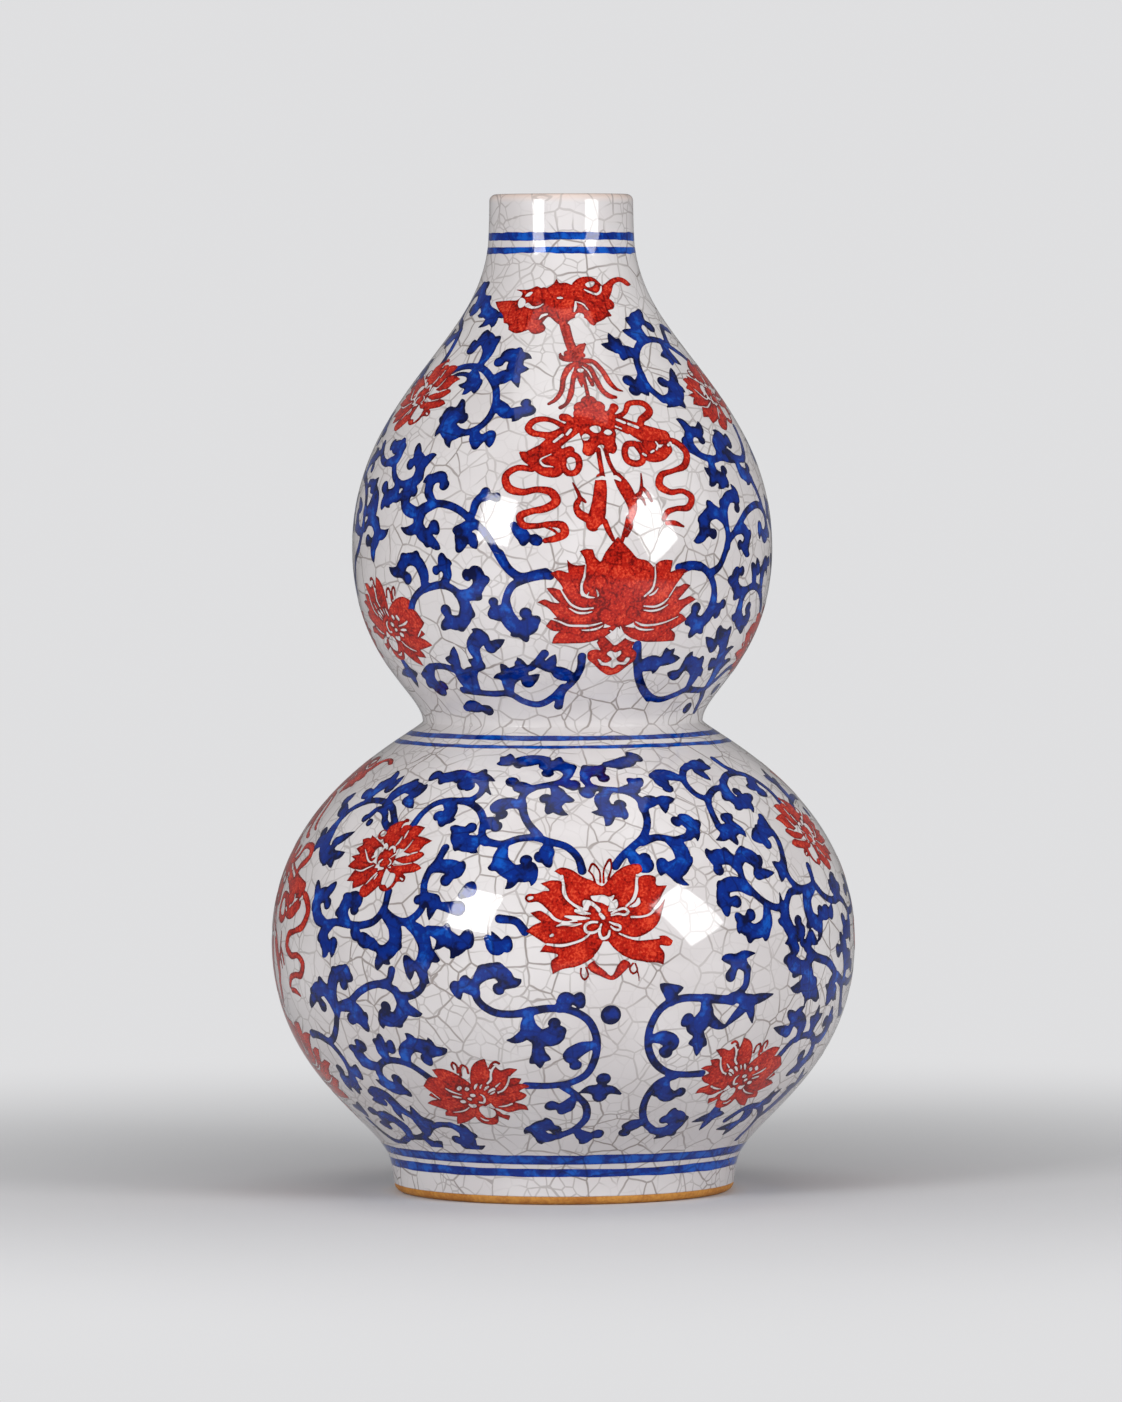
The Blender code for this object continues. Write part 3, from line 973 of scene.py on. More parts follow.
def new_finish(name, roughness, ior=1.5):
    """A material with a Principled shader. Returns it with its tree, shader and object coordinates."""
    material = bpy.data.materials.new(name)
    material.use_nodes = True
    tree = material.node_tree
    shader = tree.nodes["Principled BSDF"]
    shader.inputs["Roughness"].default_value = roughness
    shader.inputs["IOR"].default_value = ior
    shader.inputs["Specular IOR Level"].default_value = SPECULAR_LEVEL
    place = add_node(tree, "ShaderNodeTexCoord").outputs["Object"]
    return material, tree, shader, place


def crackle_node(tree, place):
    """The crackle on a surface that has the given object coordinates."""
    made = place_group(tree, crackle_group(), place, fine_web=FINE_WEB)
    tree.links.new(place.node.outputs["Normal"], made.inputs["Facing"])
    return made


def bump(tree, shader, height, strength, depth):
    """Tilts the surface by a height from 0 to 1 that is depth mm high."""
    made = add_node(tree, "ShaderNodeBump")
    for name, value in (("Strength", strength), ("Distance", depth * MM), ("Height", height)):
        feed(tree, made.inputs[name], value)
    tree.links.new(made.outputs["Normal"], shader.inputs["Normal"])


def glaze_skin(tree, shader, place, cracks):
    """The soft waves of a fired glaze, with the cracks a little sunk."""
    waves = noise_node(tree, place, SKIN_SCALE, 1.0).outputs["Fac"]
    sunk = math_node(tree, "MULTIPLY", cracks, CRACK_SINK)
    bump(tree, shader, math_node(tree, "SUBTRACT", waves, sunk), *SKIN_BUMP)


def glaze_finish(colours, lip_top):
    """White crackled glaze, warmer where it thins over the lip."""
    found = bpy.data.materials.get("crackled_glaze")
    if found:
        return found
    material, tree, shader, place = new_finish("crackled_glaze", GLAZE_ROUGHNESS, GLAZE_IOR)
    crackle = crackle_node(tree, place)
    cracks = crackle.outputs["Cracks"]
    base = mix_node(tree, crackle.outputs["Cloud"], colours.glaze, colours.glaze_shade)
    height = add_node(tree, "ShaderNodeSeparateXYZ")
    tree.links.new(place, height.inputs[0])
    at_lip = ramp_node(tree, height.outputs["Z"], *(lip_top + step * MM for step in LIP_TINT))
    base = mix_node(tree, at_lip, base, colours.lip)
    stained = mix_node(tree, math_node(tree, "MULTIPLY", cracks, CRACK_STAIN), base, colours.crack)
    tree.links.new(stained, shader.inputs["Base Color"])
    glaze_skin(tree, shader, place, cracks)
    return material


def painted_finish(name, tones, roughness, crack_share, **brush):
    """Brushed colour in a middle, a light and a dark tone, with the glaze's crackle in it."""
    found = bpy.data.materials.get(name)
    if found:
        return found
    middle, light, dark = tones
    material, tree, shader, place = new_finish(name, roughness, GLAZE_IOR)
    brushed = place_group(tree, brush_group(), place, **brush)
    cracks = crackle_node(tree, place).outputs["Cracks"]
    paint = mix_node(tree, brushed.outputs["Thin"], middle, light)
    paint = mix_node(tree, brushed.outputs["Pooled"], paint, dark)
    cracked = mix_node(tree, math_node(tree, "MULTIPLY", cracks, crack_share), paint, dark)
    tree.links.new(cracked, shader.inputs["Base Color"])
    glaze_skin(tree, shader, place, cracks)
    return material


def cobalt_finish(colours):
    """Cobalt blue under the glaze."""
    return painted_finish(
        "cobalt_under_glaze",
        (colours.cobalt, colours.cobalt_light, colours.cobalt_dark),
        GLAZE_ROUGHNESS,
        crack_share=0.5,
        edge_width=1.05,
        grain=650.0,
        unevenness=3.2,
        speckle=1.2,
        outline=0.75,
    )


def red_finish(colours):
    """Iron red on the glaze, finer in its grain."""
    return painted_finish(
        "iron_red_enamel",
        (colours.red, colours.red_light, colours.red_dark),
        ENAMEL_ROUGHNESS,
        crack_share=0.3,
        edge_width=0.75,
        grain=1400.0,
        unevenness=2.4,
        speckle=3.4,
        outline=1.0,
    )


def clay_finish(name, base, shade, grain, roughness):
    """Matte fired clay with a fine grain and soft patches."""
    found = bpy.data.materials.get(name)
    if found:
        return found
    material, tree, shader, place = new_finish(name, roughness)
    patches = noise_node(tree, place, *CLAY_PATCHES).outputs["Fac"]
    fine = noise_node(tree, place, grain, 3.0).outputs["Fac"]
    patchy = math_node(tree, "MULTIPLY", patches, CLAY_SHARES[1])
    both = math_node(tree, "MULTIPLY_ADD", fine, CLAY_SHARES[0], patchy)
    shaded = mix_node(tree, ramp_node(tree, both, *CLAY_RAMP), base, shade)
    tree.links.new(shaded, shader.inputs["Base Color"])
    bump(tree, shader, fine, *CLAY_BUMP)
    return material


def ochre_finish(colours):
    """The ochre wash on the bare clay of the foot."""
    return clay_finish("ochre_foot_wash", colours.ochre, colours.ochre_shade, OCHRE_GRAIN, OCHRE_ROUGHNESS)


# Red motifs

# Points are (across, up) in mm from the motif's middle. TIP marks a sharp one, and a brush stroke's third
# number is its half-width.

BAT_BODY = [
    (-23.8, -0.1, TIP), (-21.2, -3.0), (-19.0, -4.9), (-17.8, -7.6, TIP), (-16.3, -8.2),
    (-15.7, -10.1, TIP), (-13.3, -11.4), (-10.3, -10.2, TIP), (-8.8, -11.7), (-6.2, -10.6), (-5.9, -9.3),
    (-6.9, -7.6, TIP), (-5.4, -5.4), (-3.2, -7.6), (-1.4, -8.6), (0.4, -6.6), (2.0, -5.7), (4.4, -6.0),
    (5.4, -8.0, TIP), (6.4, -8.7), (7.4, -7.6, TIP), (9.2, -6.7), (10.6, -5.6, TIP), (12.2, -5.2),
    (11.6, -3.2, TIP), (13.6, -2.6), (14.4, -0.7), (13.2, 0.9, TIP), (14.7, 3.0), (16.4, 5.5), (19.3, 6.3),
    (22.6, 4.9), (24.7, 5.4, TIP), (22.6, 7.1), (19.6, 7.9), (16.0, 7.4), (13.0, 5.9), (11.4, 5.0, TIP),
    (10.3, 6.6), (8.0, 7.6), (5.2, 7.9), (2.9, 7.1), (1.4, 5.4, TIP), (-1.0, 6.2), (-2.5, 6.0),
    (-3.5, 7.4, TIP), (-4.7, 5.7), (-6.7, 4.4, TIP), (-8.4, 4.4), (-9.7, 5.0), (-12.0, 4.1),
    (-17.3, 3.9, TIP), (-14.4, 2.6), (-15.4, 0.6), (-18.6, 0.3),
]
BAT_FOLDS = [
    [(-7.5, 3.8, 0.9), (-6.0, 1.0, 1.6), (-4.8, -3.0, 1.5), (-2.6, -7.4, 0.7)],
    [(-9.5, 3.2, 1.2), (-9.0, -1.6, 1.9), (-7.8, -5.6, 1.4)],
    [(-12.4, -2.4, 1.2), (-12.6, -6.0, 1.8), (-12.2, -9.6, 1.4)],
    [(-16.4, -1.6, 0.8), (-16.0, -4.4, 1.7), (-15.4, -7.4, 1.3)],
    [(3.0, 2.4, 1.4), (5.6, -0.6, 1.9), (6.8, -5.6, 1.3)],
    [(5.6, 2.0, 1.0), (9.4, -0.6, 1.7), (10.6, -4.0, 1.1)],
    [(8.6, 1.6, 0.8), (11.6, 0.6, 1.2), (12.8, -1.4, 0.9)],
    [(2.6, 5.6, 0.9), (5.0, 7.0, 0.8), (8.6, 7.0, 0.8), (11.0, 5.2, 0.5)],
]
BAT_HOLES = [
    [(-13.4, 1.6), (-12.2, 3.0), (-11.0, 3.1), (-11.8, 1.8)],
    [(-15.2, -0.6), (-14.6, 1.2), (-13.2, 0.6), (-12.9, -1.6), (-14.2, -2.3)],
    [(1.7, -5.0), (2.8, -4.0), (4.2, -4.9), (3.4, -6.5), (2.0, -6.2)],
    [(5.8, 5.4), (7.4, 6.4), (9.2, 6.2), (8.4, 5.0), (6.4, 4.7)],
]
BAT_GAPS = [
    [(-12.0, -1.3, 0.75), (-10.6, -2.1, 0.45), (-8.6, -1.9, 0.28), (-7.3, -0.9, 0.15)],
    [(-7.9, -6.2, 0.15), (-7.2, -5.0, 0.45), (-5.9, -4.5, 0.3)],
    [(2.2, -0.2, 0.2), (2.1, -1.8, 0.42), (1.6, -3.6, 0.2)],
    [(2.4, -0.2, 0.15), (4.3, -1.0, 0.22), (5.6, -3.0, 0.15)],
    [(5.4, 3.8, 0.2), (7.2, 2.9, 0.3), (9.2, 2.3, 0.35), (10.6, 3.2, 0.35), (11.3, 4.9, 0.2)],
    [(-3.1, 1.1, 0.25), (-2.3, 1.1, 0.38), (-1.7, 1.1, 0.25)],
    [(-22.0, 0.9, 0.5), (-17.4, 1.3, 0.55)],
]
BAT_CORD = [
    [(-1.6, -7.0, 1.3), (-0.9, -12.0, 1.15), (0.3, -17.0, 1.0)],
    [(-0.6, -19.0, 1.3), (1.4, -18.2, 1.5), (2.9, -16.0, 0.7), (3.3, -15.2, 0.3)],
    [(0.4, -20.4, 1.2), (2.4, -19.6, 1.0)],
    [(-2.2, -18.9, 0.3), (-2.0, -20.6, 0.7), (-0.4, -21.3, 0.8), (1.2, -20.8, 0.8)],
]

TASSEL = [
    [(-8.4, 53.5, 1.5), (-6.4, 47.5, 1.5), (-4.6, 44.0, 1.6)],
    [(-11.3, 43.3, 0.4), (-10.2, 42.2, 0.8), (-7.0, 42.4, 1.3), (-3.4, 44.0, 1.8), (-0.6, 46.4, 1.0),
     (1.2, 47.1, 0.4)],
    [(-3.6, 43.4, 1.2), (-2.8, 40.4, 1.8), (-2.4, 37.4, 1.9)],
    [(-3.2, 39.8, 1.3), (-7.3, 38.4, 1.1), (-9.6, 35.0, 0.9), (-10.7, 29.6, 0.8), (-12.8, 26.8, 0.7),
     (-15.2, 25.3, 0.5)],
    [(-3.4, 38.4, 0.9), (-6.0, 34.0, 0.9), (-7.2, 28.4, 0.9), (-9.2, 25.0, 0.6), (-10.9, 24.0, 0.7)],
    [(-3.2, 36.6, 0.8), (-2.9, 34.0, 0.8), (-2.6, 31.6, 0.3)],
    [(-1.7, 36.4, 0.6), (-0.9, 31.0, 0.6), (-0.4, 26.0, 0.7)],
    [(-0.6, 38.6, 1.0), (0.8, 35.6, 1.0), (1.8, 32.0, 0.6)],
    [(-1.4, 40.4, 1.1), (1.6, 38.4, 0.9), (3.6, 34.0, 0.9), (5.4, 30.0, 0.9), (8.0, 27.9, 0.9),
     (10.0, 27.6, 0.6)],
    [(-1.2, 41.0, 1.0), (3.6, 40.6, 0.9), (7.0, 37.2, 0.9), (9.2, 32.6, 0.9), (11.4, 30.4, 0.6),
     (13.4, 29.8, 0.3)],
]
TASSEL_GAPS = [
    [(-3.2, 37.6, 0.4), (-2.4, 37.4, 0.75), (-1.6, 37.6, 0.4)],
    [(-5.2, 38.6, 0.12), (-6.8, 36.0, 0.3), (-7.9, 31.0, 0.3)],
    [(-1.5, 39.0, 0.1), (0.6, 37.4, 0.25), (2.0, 34.6, 0.12)],
    [(0.6, 40.0, 0.1), (3.4, 38.8, 0.25), (5.6, 35.6, 0.12)],
]

CHIME_BALLS = [
    (-1.5, 18.4, 2.4), (-4.4, 16.4, 2.2), (-5.0, 14.4, 1.9), (1.6, 16.8, 2.0), (-1.6, 14.6, 2.8),
    (2.0, 13.6, 2.4),
]
CHIME_BEAMS = [
    [(-2.4, 13.8, 2.6), (-7.4, 9.8, 2.5), (-11.6, 6.4, 2.5), (-15.6, 2.6, 2.6)],
    [(0.6, 14.2, 2.4), (5.6, 12.0, 2.3), (11.0, 9.6, 2.5), (17.0, 7.4, 2.8), (23.0, 6.8, 1.8)],
    [(-4.0, 12.0, 1.8), (0.0, 12.0, 1.6), (5.0, 10.4, 1.8)],
    [(5.0, 14.2, 1.0), (6.8, 16.0, 1.3), (7.2, 16.6, 1.4)],
    [(-7.6, 11.6, 1.0), (-9.6, 13.0, 1.4), (-10.6, 13.2, 1.3)],
    [(-11.0, 10.4, 0.9), (-14.0, 12.0, 0.8), (-17.2, 12.6, 0.95), (-20.6, 11.6, 1.1), (-21.8, 9.4, 1.1),
     (-20.2, 7.9, 1.1), (-17.4, 7.4, 1.0), (-14.6, 7.0, 1.3), (-11.6, 8.2, 1.2)],
    [(4.0, 13.2, 1.2), (8.0, 13.4, 0.9), (10.8, 15.0, 0.8), (12.6, 17.6, 0.95), (15.6, 18.2, 1.0),
     (19.4, 17.2, 1.2), (20.2, 15.4, 1.2), (18.4, 13.6, 1.3), (16.0, 12.2, 1.2), (14.8, 10.0, 1.1)],
]
CHIME_MIDDLE = [
    (-5.6, 8.6), (-5.0, 5.8), (-4.6, 4.0), (-4.9, 1.4), (-3.2, 0.2), (-1.4, 1.0), (-0.2, 3.4), (1.2, 4.0),
    (2.6, 1.6), (4.6, 1.0), (5.8, 2.6), (5.6, 5.0), (6.2, 8.0), (4.0, 11.0), (0.0, 12.0), (-3.8, 10.6),
]
CHIME_HOLES = [
    [(-2.2, 9.4), (-0.4, 10.3), (1.5, 9.4), (1.0, 8.2), (-0.6, 7.9)],
    [(-4.9, 6.6), (-3.6, 7.6), (-2.3, 6.6), (-3.2, 5.4), (-4.6, 5.6)],
    [(2.2, 8.0), (3.6, 9.0), (5.0, 8.0), (3.8, 7.0)],
]
CHIME_CLOUDS = [
    [(-23.4, 1.4, 0.5), (-21.6, 0.2, 1.6), (-19.0, -1.0, 2.3), (-16.0, -3.6, 2.3), (-12.6, -4.2, 2.0),
     (-11.6, -1.6, 2.0)],
    [(-20.6, 1.4, 1.0), (-17.4, 2.2, 1.8), (-14.0, 2.6, 2.0), (-11.4, 1.0, 1.8), (-8.6, 2.2, 1.4)],
    [(-15.6, -0.4, 1.6), (-13.6, -1.4, 1.6)],
    [(-8.6, 1.2, 1.0), (-6.6, 0.2, 1.0), (-6.0, -2.4, 1.05), (-7.2, -4.8, 1.0), (-9.2, -5.0, 1.0),
     (-10.6, -2.8, 0.9), (-10.2, 0.0, 0.9), (-8.6, 1.2, 1.0)],
    [(12.4, 7.4, 1.2), (16.0, 6.4, 2.2), (20.4, 6.0, 2.2), (23.4, 5.4, 1.3)],
    [(13.0, 3.4, 1.6), (15.4, 0.4, 1.9), (19.4, 0.4, 1.9), (22.6, 2.4, 1.7)],
    [(16.0, 3.6, 1.9), (18.0, 3.4, 1.8)],
    [(11.8, 4.2, 1.0), (9.2, 4.0, 1.05), (8.0, 1.6, 1.05), (8.6, -1.2, 1.1), (11.0, -2.2, 1.1),
     (13.2, -1.4, 1.0), (13.4, 1.2, 0.9), (11.8, 4.2, 1.0)],
]
CHIME_GAPS = [
    [(-9.4, 7.4, 0.42), (-8.2, 8.9, 0.42)],
    [(-13.4, 5.0, 0.4), (-10.8, 7.2, 0.42)],
    [(7.3, 12.3, 0.4), (9.7, 11.2, 0.45)],
    [(11.0, 10.8, 0.42), (13.9, 9.6, 0.48)],
    [(10.5, 7.0, 0.35), (11.8, 5.9, 0.35)],
    [(6.4, 10.0, 0.25), (8.2, 9.2, 0.25)],
    [(-13.6, -3.0, 0.12), (-16.6, -2.4, 0.34), (-17.4, -1.2, 0.28), (-14.2, 1.0, 0.12)],
    [(13.8, 0.9, 0.35), (14.6, 0.4, 0.35)],
    [(16.6, 1.4, 0.3), (17.6, 1.9, 0.3)],
    [(18.6, 2.2, 0.25), (19.5, 3.6, 0.3), (19.0, 4.8, 0.2)],
    [(23.2, 3.6, 0.4), (24.3, 4.4, 0.4)],
]
STREAMERS = [
    [(-19.6, -3.8, 0.9), (-24.0, -3.4, 1.0), (-27.2, -5.8, 1.15), (-26.2, -9.4, 1.3), (-22.4, -10.8, 1.1),
     (-17.6, -10.0, 1.0), (-13.8, -11.0, 1.3), (-12.6, -13.4, 1.4), (-15.4, -15.6, 1.2),
     (-19.6, -16.6, 1.0), (-22.6, -18.2, 1.2), (-21.8, -20.4, 1.1), (-18.4, -20.9, 0.9),
     (-14.2, -20.3, 0.9), (-10.8, -21.0, 1.3), (-10.3, -22.9, 1.3), (-12.4, -24.4, 1.1),
     (-15.6, -25.2, 0.8)],
    [(22.6, 5.6, 0.8), (26.6, 4.4, 1.2), (29.2, 1.0, 1.25), (27.4, -2.8, 1.2), (22.6, -4.6, 0.8),
     (18.4, -6.0, 1.1), (17.4, -8.8, 1.35), (20.4, -11.0, 1.0), (25.0, -10.9, 0.85), (27.6, -12.8, 1.2),
     (26.2, -15.6, 1.1), (21.8, -16.1, 0.8), (18.8, -17.2, 0.9), (17.6, -19.2, 0.7)],
    [(18.6, -20.2, 0.75), (21.4, -20.4, 0.8), (23.9, -21.4, 0.35)],
    [(-15.4, -21.4, 0.2), (-13.2, -22.2, 0.45), (-12.4, -23.0, 0.4)],
]
CHIME_STRINGS = [
    [(-0.1, 2.4, 0.75), (0.2, -2.0, 0.75), (0.6, -6.2, 0.8)],
    [(2.1, 2.4, 0.7), (3.0, -2.0, 0.65), (4.6, -5.6, 0.7)],
    [(0.6, -19.6, 0.9), (1.4, -22.0, 0.9), (2.8, -25.0, 0.6)],
    [(7.2, -18.4, 0.7), (6.4, -21.6, 0.7), (5.2, -25.4, 0.6)],
    [(7.4, -18.4, 0.7), (8.0, -20.6, 0.6), (6.6, -24.0, 0.4)],
]
FISH = [
    [(0.0, -6.6, 1.5), (-0.2, -9.0, 1.9), (-0.8, -14.0, 2.2), (-1.6, -18.0, 2.5), (-2.6, -20.4, 2.2)],
    [(4.9, -6.2, 1.4), (6.4, -9.0, 2.0), (8.0, -12.6, 1.9), (8.6, -16.0, 1.4), (7.8, -19.0, 0.9)],
    [(-3.6, -19.0, 1.4), (-6.6, -16.8, 1.2), (-7.2, -14.4, 0.8), (-5.8, -12.8, 0.7), (-4.6, -13.8, 0.4)],
    [(-8.0, -8.0, 0.25), (-7.0, -10.0, 0.5), (-6.2, -12.4, 0.6), (-6.6, -14.2, 0.7)],
    [(9.4, -12.8, 0.9), (11.2, -11.2, 0.75), (11.9, -8.4, 0.5), (12.1, -5.3, 0.25)],
    [(12.0, -9.4, 0.4), (13.4, -11.4, 0.7), (14.4, -13.6, 0.5)],
    [(10.2, -11.6, 0.4), (11.6, -12.8, 0.6), (12.4, -14.8, 0.3)],
]
FISH_GAPS = [
    [(-1.2, -6.8, 0.4), (0.4, -6.5, 0.6), (1.6, -6.8, 0.4)],
    [(3.0, -6.3, 0.4), (4.4, -6.4, 0.65), (5.6, -7.2, 0.4)],
    [(-1.3, -21.8, 0.2), (-0.4, -20.8, 0.2)],
]

LOTUS_PETALS = [
    [(-21.2, -13.6, TIP), (-20.3, -11.2), (-19.0, -9.9), (-12.5, -9.9), (-5.0, -8.6), (-1.0, -8.2),
     (-4.4, -11.4), (-9.4, -13.2), (-15.5, -13.6)],
    [(19.8, -13.2, TIP), (19.6, -11.0), (18.0, -9.7), (11.5, -9.9), (4.0, -8.6), (-0.4, -8.2), (3.4, -11.6),
     (8.4, -13.2), (14.0, -13.4)],
    [(-22.9, -7.9, TIP), (-20.8, -5.6), (-17.5, -5.4), (-12.5, -4.4), (-6.5, -3.2), (-5.0, -8.2),
     (-12.0, -10.2), (-18.4, -9.7), (-21.2, -9.3)],
    [(22.9, -6.4, TIP), (20.6, -4.7), (17.0, -4.4), (12.0, -3.8), (6.0, -3.0), (4.6, -8.2), (11.5, -10.4),
     (17.0, -9.7), (20.4, -8.0)],
    [(-25.3, -0.6, TIP), (-23.0, 0.3), (-20.6, -0.6), (-17.4, -0.8), (-12.4, 0.8), (-6.5, 0.4),
     (-6.5, -5.2), (-13.5, -7.2), (-19.2, -5.4), (-22.0, -2.4)],
    [(25.1, -0.3, TIP), (22.8, 0.8), (20.2, 0.0), (16.4, -0.4), (11.6, 0.9), (6.0, 0.6), (6.0, -5.2),
     (12.8, -7.2), (18.4, -5.2), (21.4, -2.4)],
    [(-22.5, 3.7, TIP), (-20.4, 3.8), (-18.6, 3.2), (-15.0, 4.2), (-8.0, 2.0), (-7.5, -2.6), (-13.4, -3.8),
     (-17.4, -1.6), (-20.6, 1.2)],
    [(22.5, 4.0, TIP), (20.6, 4.6), (18.2, 3.8), (14.0, 4.2), (7.4, 2.0), (7.0, -2.6), (12.6, -3.6),
     (17.4, -1.2), (20.2, 1.6)],
    [(-21.3, 8.1, TIP), (-18.8, 9.0), (-16.6, 8.4), (-14.2, 7.4), (-9.0, 5.0), (-7.6, 0.6), (-12.4, -2.0),
     (-15.6, 0.4), (-18.6, 5.2)],
    [(21.3, 8.6, TIP), (18.6, 9.0), (15.8, 8.4), (13.0, 7.0), (8.4, 4.6), (7.2, 0.6), (12.0, -1.8),
     (15.6, 1.2), (18.6, 5.6)],
    [(-16.4, 12.1, TIP), (-15.0, 10.8), (-12.6, 10.4), (-10.6, 10.6), (-9.4, 5.8), (-8.4, 1.8),
     (-11.6, 1.0), (-14.6, 4.6), (-16.0, 8.4)],
    [(15.8, 11.6, TIP), (13.4, 11.8), (11.0, 11.2), (9.6, 9.8), (8.8, 5.6), (7.4, 1.6), (11.4, 2.0),
     (14.2, 5.4), (15.2, 8.6)],
    [(-12.8, 14.6, TIP), (-11.0, 15.2), (-8.9, 15.1, TIP), (-8.0, 12.6), (-6.6, 11.2), (-7.6, 4.6),
     (-9.8, 3.4), (-11.0, 8.4), (-11.4, 12.4)],
]
LOTUS_POD = [
    (-1.5, 18.8, TIP), (-3.6, 16.4), (-5.6, 13.6), (-6.8, 11.0), (-8.8, 8.2), (-8.8, 4.8), (-7.0, 1.8),
    (-8.0, -1.4), (-7.2, -5.0), (-4.2, -7.6), (0.0, -8.3), (4.6, -6.8), (7.0, -2.4), (7.6, 2.0), (9.8, 5.2),
    (9.6, 9.4), (7.4, 11.6), (4.4, 12.4), (2.2, 14.8), (0.6, 16.4),
]
LOTUS_SEEDS = [
    (-1.2, 15.6, 1.7), (-3.4, 12.8, 2.1), (1.0, 12.2, 2.1), (-5.8, 9.2, 2.2), (4.4, 9.8, 2.1),
    (-6.6, 5.4, 2.0), (6.8, 6.8, 2.1), (-1.4, 8.2, 2.5), (-4.4, 3.6, 1.8), (2.6, 5.4, 2.0),
    (-6.4, -0.8, 1.7), (5.0, 1.4, 2.0), (-4.8, -4.6, 2.1), (3.4, -3.8, 2.0), (-0.4, -6.4, 1.7),
    (-1.4, 3.6, 2.1), (-1.3, -1.4, 2.9),
]
LOTUS_GAPS = [
    [(-11.0, 10.6, 0.15), (-11.4, 7.0, 0.35), (-12.2, 4.2, 0.35), (-11.6, 1.8, 0.4), (-10.0, 0.9, 0.32),
     (-8.2, 0.8, 0.12)],
    [(-12.4, 3.6, 0.12), (-11.9, 1.6, 0.35), (-10.6, 1.4, 0.2), (-10.0, 2.4, 0.1)],
    [(-19.6, 6.0, 0.1), (-17.4, 1.8, 0.25), (-15.0, -1.4, 0.32), (-12.4, -2.6, 0.32), (-8.6, -2.4, 0.22)],
    [(-15.8, -2.4, 0.12), (-13.2, -3.8, 0.3), (-10.6, -3.9, 0.3), (-8.9, -3.5, 0.12)],
    [(-21.6, -5.6, 0.12), (-19.0, -6.4, 0.25), (-16.0, -7.7, 0.3), (-12.6, -7.9, 0.35), (-9.0, -7.8, 0.3),
     (-5.7, -6.9, 0.15)],
    [(-11.8, -9.3, 0.15), (-8.8, -9.2, 0.3), (-6.6, -8.6, 0.3), (-5.3, -7.8, 0.12)],
    [(9.9, 10.4, 0.12), (10.1, 6.0, 0.28), (9.4, 3.2, 0.35), (7.0, 1.0, 0.25)],
    [(11.3, 3.4, 0.1), (10.0, 1.8, 0.3), (8.6, 1.2, 0.2)],
    [(20.4, 8.0, 0.08), (17.4, 4.2, 0.16), (15.2, 0.8, 0.16)],
    [(15.1, 0.4, 0.12), (13.6, -1.0, 0.3), (11.2, -2.1, 0.32), (7.1, -2.0, 0.2)],
    [(15.2, -1.6, 0.12), (12.6, -3.0, 0.28), (9.4, -3.5, 0.28), (7.2, -3.2, 0.15)],
    [(19.6, -5.3, 0.1), (15.3, -7.0, 0.22), (10.6, -7.9, 0.3), (6.8, -7.7, 0.32), (4.9, -6.8, 0.15)],
    [(11.3, -9.3, 0.15), (8.4, -9.4, 0.28), (6.0, -8.9, 0.3), (4.1, -7.6, 0.15)],
    [(0.2, -8.3, 0.15), (1.2, -10.4, 0.3), (3.2, -12.2, 0.3), (5.8, -13.2, 0.15)],
    [(-3.0, -9.4, 0.15), (-2.2, -10.2, 0.3), (-1.9, -11.0, 0.2)],
]
KNOT = [
    (-7.0, -13.2, TIP), (-5.8, -11.9), (-4.2, -11.6, TIP), (-2.8, -12.8), (-1.0, -14.3), (1.0, -13.0),
    (2.4, -11.6, TIP), (4.0, -12.2), (5.8, -13.2, TIP), (5.0, -15.0), (7.0, -17.0), (6.8, -19.6),
    (4.6, -21.6), (1.4, -24.2), (-1.4, -24.8), (-4.2, -23.4), (-7.4, -20.6), (-9.6, -18.6), (-9.4, -16.4),
    (-7.2, -15.6), (-5.4, -15.9, TIP), (-6.2, -14.6),
]
KNOT_HOLES = [
    [(-6.2, -18.8, TIP), (-5.2, -19.2), (-4.4, -20.0), (-2.6, -20.2), (-1.2, -19.0), (-3.2, -17.0),
     (-2.2, -16.2), (-0.4, -16.8), (1.4, -16.2), (1.6, -17.2), (0.2, -18.8), (1.4, -20.0), (3.0, -20.0),
     (4.0, -18.4), (5.0, -18.8), (4.0, -20.8), (1.0, -21.0), (-0.4, -22.2), (-2.0, -21.4), (-4.6, -21.0)],
]


def paint_strokes(canvas, spot, strokes, melt=0.25):
    """Paints each stroke of a list on top of what is there."""
    for stroke in strokes:
        canvas.brush(spot, stroke, on_top=True, melt=melt)


def paint_petals(canvas, spot, petals):
    """Fills each outline of a list, one over the other."""
    for petal in petals:
        canvas.fill(spot, petal, on_top=True)


def paint_balls(canvas, spot, balls, start, end):
    """Round dabs, each drawn from start to end beside its middle."""
    for across, up, size in balls:
        dab = [(across + step[0], up + step[1], size) for step in (start, end)]
        canvas.brush(spot, dab, on_top=True, melt=0.2)


def spare_all(canvas, spot, gaps, holes=()):
    """Leaves the lines and the areas of a motif bare."""
    for gap in gaps:
        canvas.spare(spot, gap)
    for hole in holes:
        canvas.spare_area(spot, hole)


def paint_bat(canvas, spot):
    """A bat with its wings spread, seen from above, on a red cord."""
    canvas.fill(spot, BAT_BODY)
    paint_strokes(canvas, spot, BAT_FOLDS)
    paint_strokes(canvas, spot, BAT_CORD)
    spare_all(canvas, spot, BAT_GAPS, BAT_HOLES)


def paint_tassel(canvas, spot):
    """The cord's bow and its eight strands."""
    paint_strokes(canvas, spot, TASSEL)
    spare_all(canvas, spot, TASSEL_GAPS)


